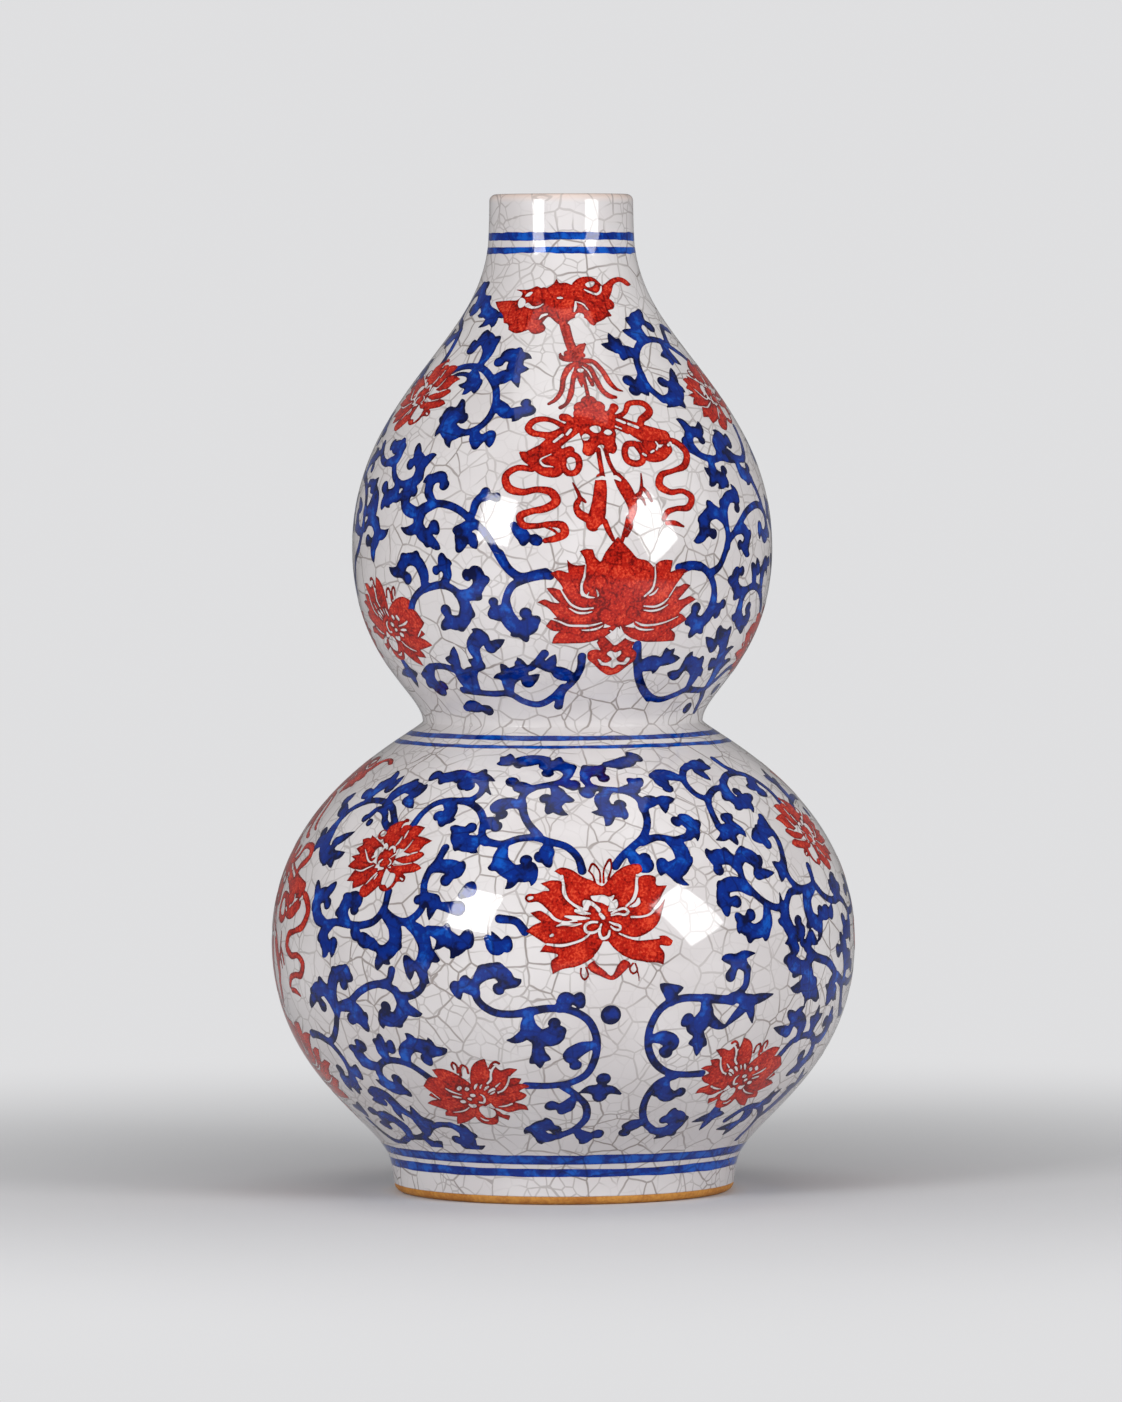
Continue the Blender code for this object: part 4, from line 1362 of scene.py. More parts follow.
def paint_chime(canvas, spot):
    """A hanging chime stone with its loops, clouds and streamers, over a pair of fish."""
    paint_strokes(canvas, spot, STREAMERS)
    paint_strokes(canvas, spot, CHIME_CLOUDS)
    paint_strokes(canvas, spot, CHIME_STRINGS)
    paint_strokes(canvas, spot, FISH)
    canvas.fill(spot, CHIME_MIDDLE, on_top=True)
    paint_strokes(canvas, spot, CHIME_BEAMS)
    paint_balls(canvas, spot, CHIME_BALLS, (-0.1, 0.0), (0.1, 0.0))
    spare_all(canvas, spot, CHIME_GAPS + FISH_GAPS, CHIME_HOLES)


def paint_lotus(canvas, spot):
    """A lotus from the side: rows of petals round a seed pod, over a knotted cord."""
    canvas.fill(spot, KNOT, on_top=True)
    paint_petals(canvas, spot, LOTUS_PETALS)
    canvas.fill(spot, LOTUS_POD, on_top=True)
    paint_balls(canvas, spot, LOTUS_SEEDS, (0.0, -0.3), (0.0, 0.3))
    spare_all(canvas, spot, LOTUS_GAPS, KNOT_HOLES)


# The red flower of the scrolls, as wide as it is drawn here at scale 1

FLOWER_PETALS = [
    [(-4.8, 10.3, TIP), (-2.4, 12.0), (0.2, 12.6), (1.0, 11.2), (0.6, 7.0), (-0.4, 3.0), (-3.4, 4.0),
     (-5.2, 6.4)],
    [(0.6, 10.6), (1.8, 11.2), (4.4, 10.8), (4.8, 8.0), (3.6, 4.4), (0.6, 2.0), (-0.4, 4.0), (0.0, 8.0)],
    [(9.6, 10.6, TIP), (7.0, 11.2), (4.6, 10.8), (3.8, 7.6), (2.4, 3.4), (4.6, 3.0), (6.8, 5.6),
     (8.2, 7.8)],
    [(13.9, 6.1, TIP), (10.6, 7.2), (8.0, 7.4), (6.2, 4.6), (4.4, 2.4), (7.0, 1.6), (10.4, 2.6),
     (11.6, 4.4)],
    [(12.5, 1.4), (11.8, 2.2), (9.8, 2.3), (6.0, 1.0), (2.4, -0.4), (6.0, -1.6), (10.0, -0.8), (11.6, 0.4)],
    [(12.7, -2.9, TIP), (11.2, -1.7), (9.6, -1.3), (5.0, -1.8), (1.6, -2.4), (4.4, -4.8), (8.4, -4.6),
     (10.8, -4.1)],
    [(5.2, -4.4), (8.0, -6.0), (7.7, -7.3), (5.4, -7.4), (4.4, -9.0), (2.8, -10.1), (1.0, -10.5),
     (-0.7, -9.5), (-0.8, -7.0), (-0.4, -3.6), (2.0, -3.2)],
    [(-5.6, -12.6), (-7.6, -11.8), (-7.9, -10.2), (-5.4, -7.6), (-3.2, -4.6), (-0.6, -3.4), (-0.6, -8.2),
     (-2.8, -10.8)],
    [(-11.0, -10.2, TIP), (-11.5, -8.6), (-10.4, -6.4), (-6.4, -3.8), (-2.8, -3.6), (-4.6, -6.6),
     (-7.4, -8.9)],
    [(-14.3, -8.0, TIP), (-13.2, -6.0), (-12.2, -4.4), (-8.0, -3.6), (-4.0, -2.4), (-6.4, -5.6),
     (-9.8, -7.6)],
    [(-15.9, -3.5, TIP), (-14.6, -1.7), (-12.0, -0.8), (-7.0, -1.2), (-4.0, -2.4), (-8.0, -4.4),
     (-12.4, -4.2)],
    [(-16.1, -0.2, TIP), (-13.2, 0.6), (-10.0, 0.9), (-5.2, -0.4), (-7.0, -2.0), (-12.0, -1.6)],
    [(-15.1, 2.4, TIP), (-13.2, 3.6), (-10.6, 3.4), (-5.4, 1.2), (-8.6, -0.6), (-12.8, 1.0)],
    [(-14.1, 5.6, TIP), (-12.0, 6.2), (-9.0, 5.6), (-4.4, 2.8), (-8.0, 0.6), (-11.6, 2.2)],
    [(-10.6, 7.2, TIP), (-8.6, 6.3), (-6.2, 5.2), (-3.4, 3.4), (-6.8, 2.4), (-10.0, 4.0)],
]
FLOWER_BALLS = [(-6.2, 7.5, 1.75), (1.1, 12.5, 1.0), (-1.0, -0.2, 3.4), (-0.6, 1.6, 2.6)]
FLOWER_GAPS = [
    [(-6.1, 7.9, 1.0), (-5.9, 7.9, 1.0)],
    [(0.5, 10.2, 0.15), (0.8, 11.4, 0.28), (2.0, 12.0, 0.25), (2.4, 11.8, 0.1)],
    [(-6.0, 1.2, 0.45), (-5.6, 2.2, 0.55), (-4.4, 2.9, 0.55), (-3.5, 2.2, 0.35)],
    [(-3.1, 4.2, 0.55), (-2.6, 3.8, 0.6), (-2.0, 3.0, 0.35)],
    [(-0.9, 2.7, 0.3), (-0.3, 3.5, 0.4), (0.8, 3.4, 0.45), (1.4, 2.0, 0.3)],
    [(-6.6, -0.2, 0.25), (-5.8, 0.4, 0.42), (-5.0, 0.1, 0.3)],
    [(-2.2, -0.6, 0.22), (-3.2, -1.6, 0.36), (-2.9, -3.0, 0.3), (-1.9, -3.5, 0.42), (-1.0, -3.4, 0.3)],
    [(-10.9, 2.3, 0.1), (-9.6, 0.9, 0.22), (-8.4, -0.6, 0.28), (-7.0, -1.6, 0.26), (-5.2, -1.5, 0.12)],
    [(-12.2, -4.2, 0.1), (-9.2, -4.5, 0.24), (-7.0, -3.5, 0.22), (-5.0, -2.6, 0.12)],
    [(-6.0, -8.6, 0.1), (-4.4, -6.6, 0.25), (-2.9, -4.9, 0.25)],
    [(-3.3, -7.0, 0.12), (-2.8, -5.9, 0.26), (-2.4, -5.2, 0.12)],
    [(0.6, 0.1, 0.12), (2.6, 1.6, 0.26), (4.6, 2.5, 0.28), (5.8, 3.9, 0.24), (6.8, 6.2, 0.1)],
    [(1.1, 4.2, 0.2), (1.8, 5.4, 0.36), (2.2, 7.0, 0.22)],
    [(3.2, 6.4, 0.12), (3.4, 7.8, 0.3), (3.7, 9.2, 0.18)],
    [(6.5, 0.9, 0.12), (8.0, 1.7, 0.24), (9.8, 2.2, 0.18)],
    [(2.6, -2.4, 0.08), (6.0, -1.9, 0.18), (9.0, -1.3, 0.12)],
    [(0.1, -0.2, 0.12), (1.4, -1.5, 0.24), (0.6, -2.7, 0.15)],
    [(6.2, -6.2, 0.2), (7.0, -6.6, 0.3)],
]
FLOWER_DIAMOND = [
    (0.3, -3.3, TIP), (2.2, -4.7), (3.9, -4.9), (4.0, -7.2), (3.1, -8.8), (2.3, -9.5, TIP), (1.4, -8.4),
    (0.0, -8.4), (-0.2, -6.6),
]


def paint_flower(canvas, spot):
    """A full flower seen from the side, with a white-looped heart and a bare diamond under it."""
    paint_petals(canvas, spot, FLOWER_PETALS)
    paint_balls(canvas, spot, FLOWER_BALLS, (0.0, 0.0), (0.1, 0.0))
    spare_all(canvas, spot, FLOWER_GAPS, [FLOWER_DIAMOND])


# The low flowers, seen from the side with their petals raised

LOW_FLOWER_PETALS = [
    [(-12.1, 9.2, TIP), (-9.6, 9.6), (-7.0, 8.8), (-5.6, 10.6), (-3.6, 6.0), (-2.2, 2.2), (-5.0, 0.6),
     (-8.4, 3.2), (-9.6, 6.4)],
    [(-3.3, 12.8, TIP), (-1.2, 12.0), (0.8, 10.0), (1.8, 7.4), (2.0, 2.6), (-0.6, 1.6), (-2.8, 3.8),
     (-4.2, 6.6), (-3.7, 9.8)],
    [(-12.9, 5.8, TIP), (-10.0, 6.0), (-8.4, 4.4), (-6.0, 1.6), (-8.6, 0.2), (-11.6, 3.6)],
    [(-15.3, 2.8, TIP), (-14.0, 3.6), (-11.6, 3.8), (-6.0, 1.6), (-5.6, -1.4), (-10.0, -0.4), (-12.8, 1.8)],
    [(-13.8, -0.6), (-12.4, 0.6), (-8.0, 0.4), (-4.0, -1.0), (-7.0, -3.6), (-10.4, -3.2), (-13.0, -1.8)],
    [(-13.7, -6.9, TIP), (-13.2, -5.0), (-10.6, -3.8), (-6.0, -2.4), (-2.2, -1.6), (-3.0, -6.0),
     (-7.6, -7.8), (-11.6, -6.6)],
    [(-6.5, -11.4, TIP), (-7.3, -9.2), (-5.2, -8.8), (-3.4, -6.4), (-1.6, -6.6), (-3.4, -9.6)],
    [(4.9, 6.0), (7.4, 7.8), (10.4, 8.8), (13.4, 8.3, TIP), (12.3, 5.4), (9.6, 2.0), (5.0, 0.6),
     (2.4, 2.6)],
    [(12.2, 5.3), (14.6, 5.5), (18.5, 1.9, TIP), (16.6, -0.4), (12.0, -1.6), (6.0, -1.8), (8.0, 1.6)],
    [(16.8, -0.8), (18.1, -1.8, TIP), (16.2, -3.0), (11.0, -3.6), (5.0, -2.6), (10.0, -1.0)],
    [(20.2, -5.2, TIP), (18.2, -4.0), (14.6, -3.2), (8.0, -2.8), (4.6, -4.2), (8.6, -7.4), (13.4, -7.9),
     (16.6, -6.8)],
    [(15.7, -10.3, TIP), (14.8, -8.4), (12.6, -7.4), (8.0, -6.0), (4.0, -5.0), (6.6, -8.6), (11.0, -10.4)],
    [(12.8, -13.8, TIP), (11.8, -11.2), (9.0, -8.0), (5.0, -4.8), (1.8, -4.6), (2.2, -8.0), (5.4, -10.6),
     (9.4, -13.0)],
    [(4.6, -10.6), (2.4, -6.0), (-2.0, -6.2), (-3.3, -10.4), (-2.2, -13.0), (0.8, -13.6), (3.2, -12.8)],
    [(3.4, 2.8), (6.6, 2.8), (8.0, -1.0), (6.2, -6.0), (2.6, -6.8), (-1.2, -4.8), (-4.6, -1.6), (-5.0, 1.6),
     (-1.0, 3.8)],
]
LOW_FLOWER_STAMENS = [
    [(2.4, 7.4, 0.4), (2.6, 9.6, 0.4), (3.6, 10.3, 0.4), (4.4, 9.2, 0.45), (4.8, 6.6, 0.5)],
    [(5.6, 7.4, 0.35), (5.4, 10.2, 0.4), (6.2, 11.1, 0.4), (6.8, 10.2, 0.4), (6.6, 8.6, 0.3)],
    [(-7.0, 11.2, 0.5), (-6.2, 11.7, 0.45), (-4.9, 10.9, 0.35), (-4.2, 9.4, 0.4)],
]
LOW_FLOWER_GAPS = [
    [(-6.4, 10.8, 0.2), (-5.0, 9.2, 0.3), (-4.2, 7.2, 0.32), (-3.9, 5.2, 0.34), (-2.6, 3.7, 0.3)],
    [(-9.4, 6.4, 0.2), (-8.8, 4.2, 0.28), (-7.6, 2.0, 0.3), (-6.4, 0.8, 0.28), (-5.2, 0.4, 0.2)],
    [(-6.4, 4.0, 0.14), (-5.0, 2.6, 0.26)],
    [(-4.2, 1.6, 0.5), (-3.2, 1.1, 0.4), (-2.2, 0.1, 0.15)],
    [(-4.2, 0.5, 0.22), (-3.2, -0.2, 0.28), (-2.6, -0.6, 0.14)],
    [(-2.7, 2.6, 0.3), (-2.0, 2.0, 0.42), (-1.2, 1.1, 0.15)],
    [(-0.8, 3.2, 0.14), (-0.3, 2.4, 0.26), (0.0, 1.6, 0.12)],
    [(0.6, 3.4, 0.22), (1.2, 2.6, 0.4), (1.8, 1.4, 0.16)],
    [(4.0, 1.5, 0.6), (4.4, 1.1, 0.5)],
    [(6.3, 1.8, 0.6), (6.9, 1.2, 0.55)],
    [(2.7, -1.1, 0.62), (3.2, -1.2, 0.62)],
    [(4.2, -2.7, 0.55), (4.6, -2.6, 0.45)],
    [(6.5, -3.8, 0.6), (7.2, -3.9, 0.6)],
    [(3.4, -5.4, 0.6), (4.4, -5.6, 0.7), (5.0, -5.0, 0.4)],
    [(7.0, -2.3, 0.2), (8.4, -2.0, 0.42), (9.6, -1.8, 0.3)],
    [(6.4, -1.1, 0.14), (8.4, -0.4, 0.26), (10.0, 0.4, 0.36), (11.0, 1.2, 0.2)],
    [(0.4, -0.6, 0.14), (-0.4, -1.4, 0.3), (-0.5, -2.8, 0.34), (0.2, -4.0, 0.36), (1.4, -3.9, 0.3)],
    [(5.6, -6.2, 0.14), (7.0, -7.3, 0.24), (9.0, -8.1, 0.22), (12.0, -8.6, 0.12)],
    [(-8.8, -4.2, 0.3), (-7.4, -4.9, 0.3), (-5.6, -5.4, 0.26), (-4.4, -5.5, 0.14)],
    [(-7.0, -8.2, 0.2), (-5.2, -7.5, 0.5), (-3.6, -6.6, 0.42)],
    [(14.6, -3.2, 0.1), (15.6, -2.0, 0.24), (16.6, -0.6, 0.14)],
    [(0.6, -11.7, 0.24), (1.8, -11.6, 0.32), (2.9, -10.6, 0.2)],
]
LOW_FLOWER_DIAMOND = [
    (0.8, -5.3, TIP), (1.9, -5.9), (2.4, -7.6), (1.8, -9.2), (1.0, -10.4, TIP), (-1.0, -10.4), (-2.5, -9.3),
    (-2.8, -7.6), (-1.4, -6.2),
]


def paint_low_flower(canvas, spot):
    """A flower with raised petals, two looped stamens and a bare diamond at its base."""
    paint_petals(canvas, spot, LOW_FLOWER_PETALS)
    paint_strokes(canvas, spot, LOW_FLOWER_STAMENS, melt=0.2)
    spare_all(canvas, spot, LOW_FLOWER_GAPS, [LOW_FLOWER_DIAMOND])


# The open lotus in the middle of the lower bulb

OPEN_PETALS = [
    [(-14.9, 13.8, TIP), (-12.8, 15.0), (-9.8, 14.4), (-6.0, 12.0), (-3.2, 10.8), (-0.2, 9.2), (1.6, 10.9),
     (3.0, 12.4), (4.6, 13.8), (8.5, 15.6), (12.3, 15.4), (12.6, 13.7), (10.8, 12.4), (10.3, 9.0),
     (8.9, 5.6), (6.4, 2.8), (0.0, 0.0), (-5.2, 2.0), (-9.0, 3.8), (-11.2, 6.6), (-12.0, 9.4),
     (-12.4, 12.0)],
    [(-19.0, 10.0, TIP), (-15.5, 11.0), (-12.6, 10.6), (-11.6, 7.0), (-9.6, 3.6), (-6.0, 1.4), (-10.0, 1.2),
     (-14.0, 5.0), (-16.8, 8.6)],
    [(-22.8, 6.7), (-20.2, 6.9), (-17.6, 7.8), (-15.0, 7.6), (-11.0, 4.0), (-5.0, 0.8), (-9.6, -1.0),
     (-13.6, -1.0), (-16.6, 2.0), (-19.6, 4.4), (-22.8, 4.4), (-23.6, 5.6)],
    [(-21.9, 1.2, TIP), (-18.6, 1.8), (-16.4, 0.4), (-13.0, -1.2), (-8.0, -1.4), (-10.0, -3.2),
     (-15.0, -2.6), (-18.8, -1.2)],
    [(-23.0, -4.2, TIP), (-20.8, -2.4), (-17.0, -1.2), (-10.0, -1.6), (-5.0, -2.0), (-4.6, -5.2),
     (-8.0, -7.6), (-12.6, -8.6), (-17.2, -7.8), (-20.4, -5.8)],
    [(-18.9, -10.3, TIP), (-17.4, -8.2), (-12.0, -7.8), (-6.0, -6.0), (-3.0, -4.0), (-0.6, -6.0),
     (-1.8, -9.6), (-3.6, -12.0), (-7.6, -14.4), (-12.6, -15.4), (-15.2, -16.8, TIP), (-15.6, -12.8),
     (-13.6, -11.2), (-16.6, -10.4)],
    [(11.2, 11.6), (13.6, 12.4), (16.7, 11.4), (16.4, 9.4), (19.9, 9.0, TIP), (17.6, 5.6), (16.2, 2.8),
     (13.8, 0.8), (9.6, -0.2), (6.4, 0.4), (6.8, 2.8), (9.2, 4.6), (10.6, 7.6)],
    [(19.0, 5.4, TIP), (17.2, 0.4), (16.4, -1.6), (13.0, -4.8), (9.0, -6.2), (5.4, -5.2), (2.0, -2.0),
     (7.0, 0.2), (13.6, 0.6), (16.6, 2.6)],
    [(20.4, -7.4, TIP), (18.4, -6.0), (14.4, -6.2), (9.0, -6.8), (4.6, -5.0), (1.8, -3.6), (1.0, -7.2),
     (3.4, -10.6), (6.6, -12.6), (12.0, -13.6), (15.4, -13.8), (17.4, -14.4, TIP), (17.6, -10.8),
     (16.2, -8.8), (19.6, -8.8)],
    [(-5.2, -14.6), (-3.4, -12.8), (-0.4, -15.4), (1.6, -17.3), (4.6, -13.0), (5.6, -12.6), (7.4, -13.8),
     (5.6, -16.2), (2.2, -18.6), (-1.4, -17.4), (-4.4, -15.8)],
    [(-6.0, 2.6), (-1.0, 3.6), (3.0, 3.6), (7.0, 2.4), (8.0, -1.0), (5.0, -5.0), (1.0, -7.2), (-2.0, -7.0),
     (-6.0, -4.8), (-8.0, -1.0)],
]
OPEN_STAMENS = [
    [(-4.2, 13.9, 0.28), (-2.9, 16.1, 0.4), (-1.0, 14.0, 0.28), (-0.8, 10.4, 0.35)],
    [(-4.2, 13.9, 0.25), (-3.0, 12.4, 0.28), (-2.4, 10.0, 0.35)],
    [(0.2, 10.2, 0.35), (0.6, 14.4, 0.28), (2.8, 17.4, 0.38), (3.0, 15.6, 0.28), (1.6, 11.2, 0.35)],
    [(-7.0, -15.0, 0.28), (-7.0, -17.2, 0.28), (-6.0, -18.4, 0.34), (-5.0, -17.4, 0.28),
     (-5.6, -14.8, 0.28)],
    [(8.4, -13.4, 0.28), (7.2, -15.6, 0.28), (8.2, -16.8, 0.34), (9.4, -16.0, 0.28), (8.8, -13.8, 0.28)],
    [(9.4, -15.8, 0.22), (9.9, -17.6, 0.2), (10.0, -19.0, 0.12)],
]
OPEN_GAPS = [
    [(6.6, 3.0, 0.3), (8.6, 4.8, 0.36), (9.8, 7.4, 0.36), (10.4, 10.4, 0.38), (10.7, 12.4, 0.3)],
    [(-12.4, 12.4, 0.3), (-12.0, 9.4, 0.42), (-11.8, 7.2, 0.55), (-10.8, 5.2, 0.4), (-9.2, 3.8, 0.34),
     (-6.8, 2.4, 0.45), (-5.0, 2.0, 0.2)],
    [(-18.8, 2.8, 0.15), (-16.4, 1.2, 0.42), (-14.6, -0.6, 0.42), (-12.4, -1.4, 0.3), (-8.0, -1.2, 0.15)],
    [(-8.4, 1.8, 0.5), (-6.4, 1.2, 0.6), (-4.2, 0.9, 0.2)],
    [(-11.6, 0.2, 0.2), (-9.4, -0.2, 0.6), (-7.2, -0.4, 0.6), (-4.4, -0.4, 0.15)],
    [(-14.0, -2.7, 0.2), (-11.6, -2.0, 0.5), (-9.6, -2.4, 0.45), (-6.8, -2.0, 0.2)],
    [(-2.2, -1.6, 0.3), (-4.0, -1.6, 0.36), (-5.8, -2.8, 0.42), (-5.6, -4.2, 0.42), (-3.8, -4.7, 0.42),
     (-1.8, -3.8, 0.3), (-1.0, -2.2, 0.25)],
    [(-1.2, -2.6, 0.25), (-1.6, -4.8, 0.42), (-0.8, -6.4, 0.45), (0.9, -5.8, 0.42), (1.4, -4.2, 0.3)],
    [(1.4, -1.6, 0.2), (3.0, -2.3, 0.36), (4.5, -2.8, 0.36), (4.6, -3.7, 0.32), (3.2, -3.9, 0.36),
     (1.8, -2.9, 0.25)],
    [(2.0, 0.3, 0.2), (4.2, 0.8, 0.32), (6.2, 0.5, 0.36), (7.2, 1.3, 0.36), (6.4, 2.2, 0.36),
     (3.8, 1.8, 0.34), (2.0, 0.9, 0.2)],
    [(-1.2, 0.7, 0.5), (-0.4, -0.3, 0.6)],
    [(-16.8, -8.0, 0.3), (-13.0, -8.4, 0.4), (-9.0, -7.6, 0.34), (-6.4, -6.6, 0.34), (-4.6, -5.2, 0.25)],
    [(-0.2, -7.4, 0.2), (-1.4, -9.6, 0.32), (-2.8, -11.4, 0.38)],
    [(-3.2, -12.2, 0.38), (-6.0, -14.0, 0.4), (-9.6, -15.2, 0.2)],
    [(0.8, -7.4, 0.2), (2.6, -9.8, 0.32), (4.4, -11.4, 0.45)],
    [(5.0, -11.8, 0.4), (7.6, -13.0, 0.4), (11.6, -13.6, 0.2)],
    [(4.2, -5.0, 0.2), (7.0, -6.2, 0.26), (9.6, -6.8, 0.32), (12.6, -6.6, 0.4), (16.0, -6.4, 0.32)],
    [(8.0, -0.2, 0.32), (11.0, -0.2, 0.28), (13.8, 0.6, 0.34), (15.6, 2.4, 0.4), (17.4, 4.6, 0.25)],
    [(-22.2, 5.5, 0.55), (-21.4, 5.7, 0.45)],
    [(-15.8, -5.6, 0.3), (-15.2, -5.3, 0.42)],
]
OPEN_AREAS = [
    [(-4.0, 6.0), (-2.2, 6.3), (0.0, 6.4), (1.6, 5.8), (3.2, 6.4), (2.4, 4.6), (1.0, 3.2), (0.0, 3.8),
     (-1.0, 4.2), (-3.2, 4.8)],
    [(-6.2, 4.8), (-4.2, 4.8), (-2.2, 3.4), (-1.0, 1.9), (-1.6, 1.2), (-2.6, 2.4), (-4.2, 3.4), (-5.0, 1.8),
     (-6.0, 2.6)],
    [(1.2, 1.6), (1.6, 3.4), (3.8, 5.0), (4.2, 3.6), (3.2, 2.0)],
    [(7.4, 2.8), (9.4, 4.0), (10.6, 5.6), (11.0, 4.0), (9.6, 2.8)],
    [(0.2, -8.6), (1.8, -9.0), (3.2, -10.8), (4.7, -12.2), (3.2, -14.8), (1.7, -17.2, TIP), (-0.6, -15.4),
     (-3.0, -13.0), (-2.2, -10.6)],
]


def paint_open_lotus(canvas, spot):
    """A wide open lotus with a looped rosette, two stamens and a bare diamond below."""
    paint_petals(canvas, spot, OPEN_PETALS)
    paint_strokes(canvas, spot, OPEN_STAMENS, melt=0.2)
    spare_all(canvas, spot, OPEN_GAPS, OPEN_AREAS)


# Turned pieces

TURN_STEPS = 208
BASE_TURN_STEPS = 144
SPIN_WELD = 0.004  # points of a turned piece closer than this become one
FLOOR_ROUND = 9.0
FLOOR_RINGS = (0.8, 0.6, 0.4, 0.2, 0.06, 0.0)  # shares of the flat floor's radius
BOWL_WALL = 5.4
BEAD_DEPTH = 1.3  # how far the glaze swells over a seam inside, and how far to either side of it
BEAD_REACH = 3.4
BEAD_STEP = 0.85
GLAZE_EDGE = 2.7  # height of the glaze's lower edge
GLAZE_ROLL = (0.12, 0.17)  # how far that edge rolls in and down
GLAZE_KEY = 0.8  # how far the glaze is keyed into the clay
LIP_START = 0.4
OUTSIDE_ROWS = (3.0, 0.065)  # the longest step between rows in mm, and the largest turn in radians
INSIDE_ROWS = (6.0, 0.18)
BACK_ROWS = (14.0, 0.3)
BASE_FILM = 0.25  # thickness of the base glaze on the bowl's underside, and in the bore
BORE_FILM = 0.3
BASE_ROUND = 3.0
BASE_KEY = 1.0  # how far the base glaze reaches into the clay above it, and beside it
BORE_KEY = 0.9
BASE_RINGS = (0.0, 10.0, 20.0, 30.0, 38.0)  # radii of its flat rings of points, below and above
BASE_BACK_RINGS = (38.0, 20.0, 10.0, 0.0)
WASH_FILM = 0.06  # thickness of the ochre wash under the foot, and in the bore
BORE_WASH = 0.27
WASH_KEY = 0.7
BLUE_TOP = 0.02  # height of the blue and of the red over the glaze
RED_TOP = 0.05


def turned_piece(name, outline, finish, steps=TURN_STEPS):
    """Spins a closed outline of (radius, height) points in mm about the vase's axis."""
    bpy.ops.object.select_all(action="DESELECT")
    bpy.ops.mesh.primitive_circle_add(vertices=len(outline), radius=MM, fill_type="NOTHING")
    piece = bpy.context.object
    piece.name = name
    piece.data.name = name
    bpy.ops.object.mode_set(mode="EDIT")
    shape = bmesh.from_edit_mesh(piece.data)
    shape.verts.ensure_lookup_table()
    for vertex, (radius, height) in zip(shape.verts, outline):
        vertex.co = (radius * MM, 0.0, height * MM)
    bmesh.update_edit_mesh(piece.data)
    bpy.ops.mesh.select_all(action="SELECT")
    bpy.ops.mesh.spin(steps=steps, angle=FULL_TURN, center=(0, 0, 0), axis=(0, 0, 1))
    bpy.ops.mesh.select_all(action="SELECT")
    bpy.ops.mesh.remove_doubles(threshold=SPIN_WELD * MM)
    bpy.ops.mesh.delete_loose(use_verts=True, use_edges=True, use_faces=False)
    bpy.ops.mesh.select_all(action="SELECT")
    bpy.ops.mesh.normals_make_consistent(inside=False)
    bpy.ops.object.mode_set(mode="OBJECT")
    bpy.ops.object.shade_smooth()
    return finished(piece, finish)


def arc_points(centre, radius, start, end, steps, radius_at_end=None):
    """Points of an arc in degrees, from start to end, whose radius may change on the way."""
    last = radius if radius_at_end is None else radius_at_end
    made = []
    for i in range(steps + 1):
        part = i / steps
        angle = math.radians(start + (end - start) * part)
        size = radius + (last - radius) * part
        made.append((centre[0] + size * math.cos(angle), centre[1] + size * math.sin(angle)))
    return made


def set_back(wall, along, depth):
    """Points depth mm inside the outer line of the clay. A negative depth is outside it."""
    radial, upward = wall.facing(along)
    return np.stack([wall.radius_at(along) - depth * radial, wall.height_at(along) - depth * upward], -1)


def clay_depth(wall, along):
    """Thickness of the clay, in mm."""
    foot_seam, lower_equator, _, upper_equator, collar = wall.seams
    body = wall.sizes.body_wall / MM
    heights = (foot_seam, lower_equator, upper_equator, collar)
    walls = (BOWL_WALL, body, body, wall.sizes.collar_wall / MM)
    return np.interp(wall.height_at(along), heights, walls)


def even_rows(wall, low, high, longest, turn):
    """Places along the wall, closer together where it curves more."""
    fine = np.linspace(low, high, 2000)
    radial, upward = wall.facing(fine)
    angle = np.unwrap(np.arctan2(upward, radial))
    steps = np.diff(fine) / longest + np.abs(np.diff(angle)) / turn
    count = np.concatenate([[0.0], np.cumsum(steps)])
    return np.interp(np.linspace(0.0, count[-1], math.ceil(count[-1]) + 1), count, fine)


def inner_line(wall, rows, off, floor):
    """The inside from the collar down to the middle of the floor, off mm clear of the clay."""
    bead = np.zeros(len(rows))
    for seam in wall.seams[1:]:
        away = np.clip(np.abs(rows - wall.along_at(seam)) / BEAD_REACH, 0.0, 1.0)
        bead += BEAD_DEPTH * (0.5 + 0.5 * np.cos(math.pi * away)) * (off > 0)
    line = set_back(wall, rows, clay_depth(wall, rows) + off + bead)
    middle = set_back(wall, rows, clay_depth(wall, rows) + off + FLOOR_ROUND)
    missed = np.abs(middle[:, 1] - floor - FLOOR_ROUND)
    missed[wall.height_at(rows) > wall.seams[1]] = np.inf
    found = np.argmin(missed)
    centre = middle[found]
    lean = math.degrees(math.atan2(*(line[found] - centre)[::-1]))
    rounded = arc_points((centre[0], floor + FLOOR_ROUND), FLOOR_ROUND, lean, -90.0, 8)
    flat = [(centre[0] * part, floor) for part in FLOOR_RINGS]
    return [tuple(p) for p in line[:found]] + rounded + flat


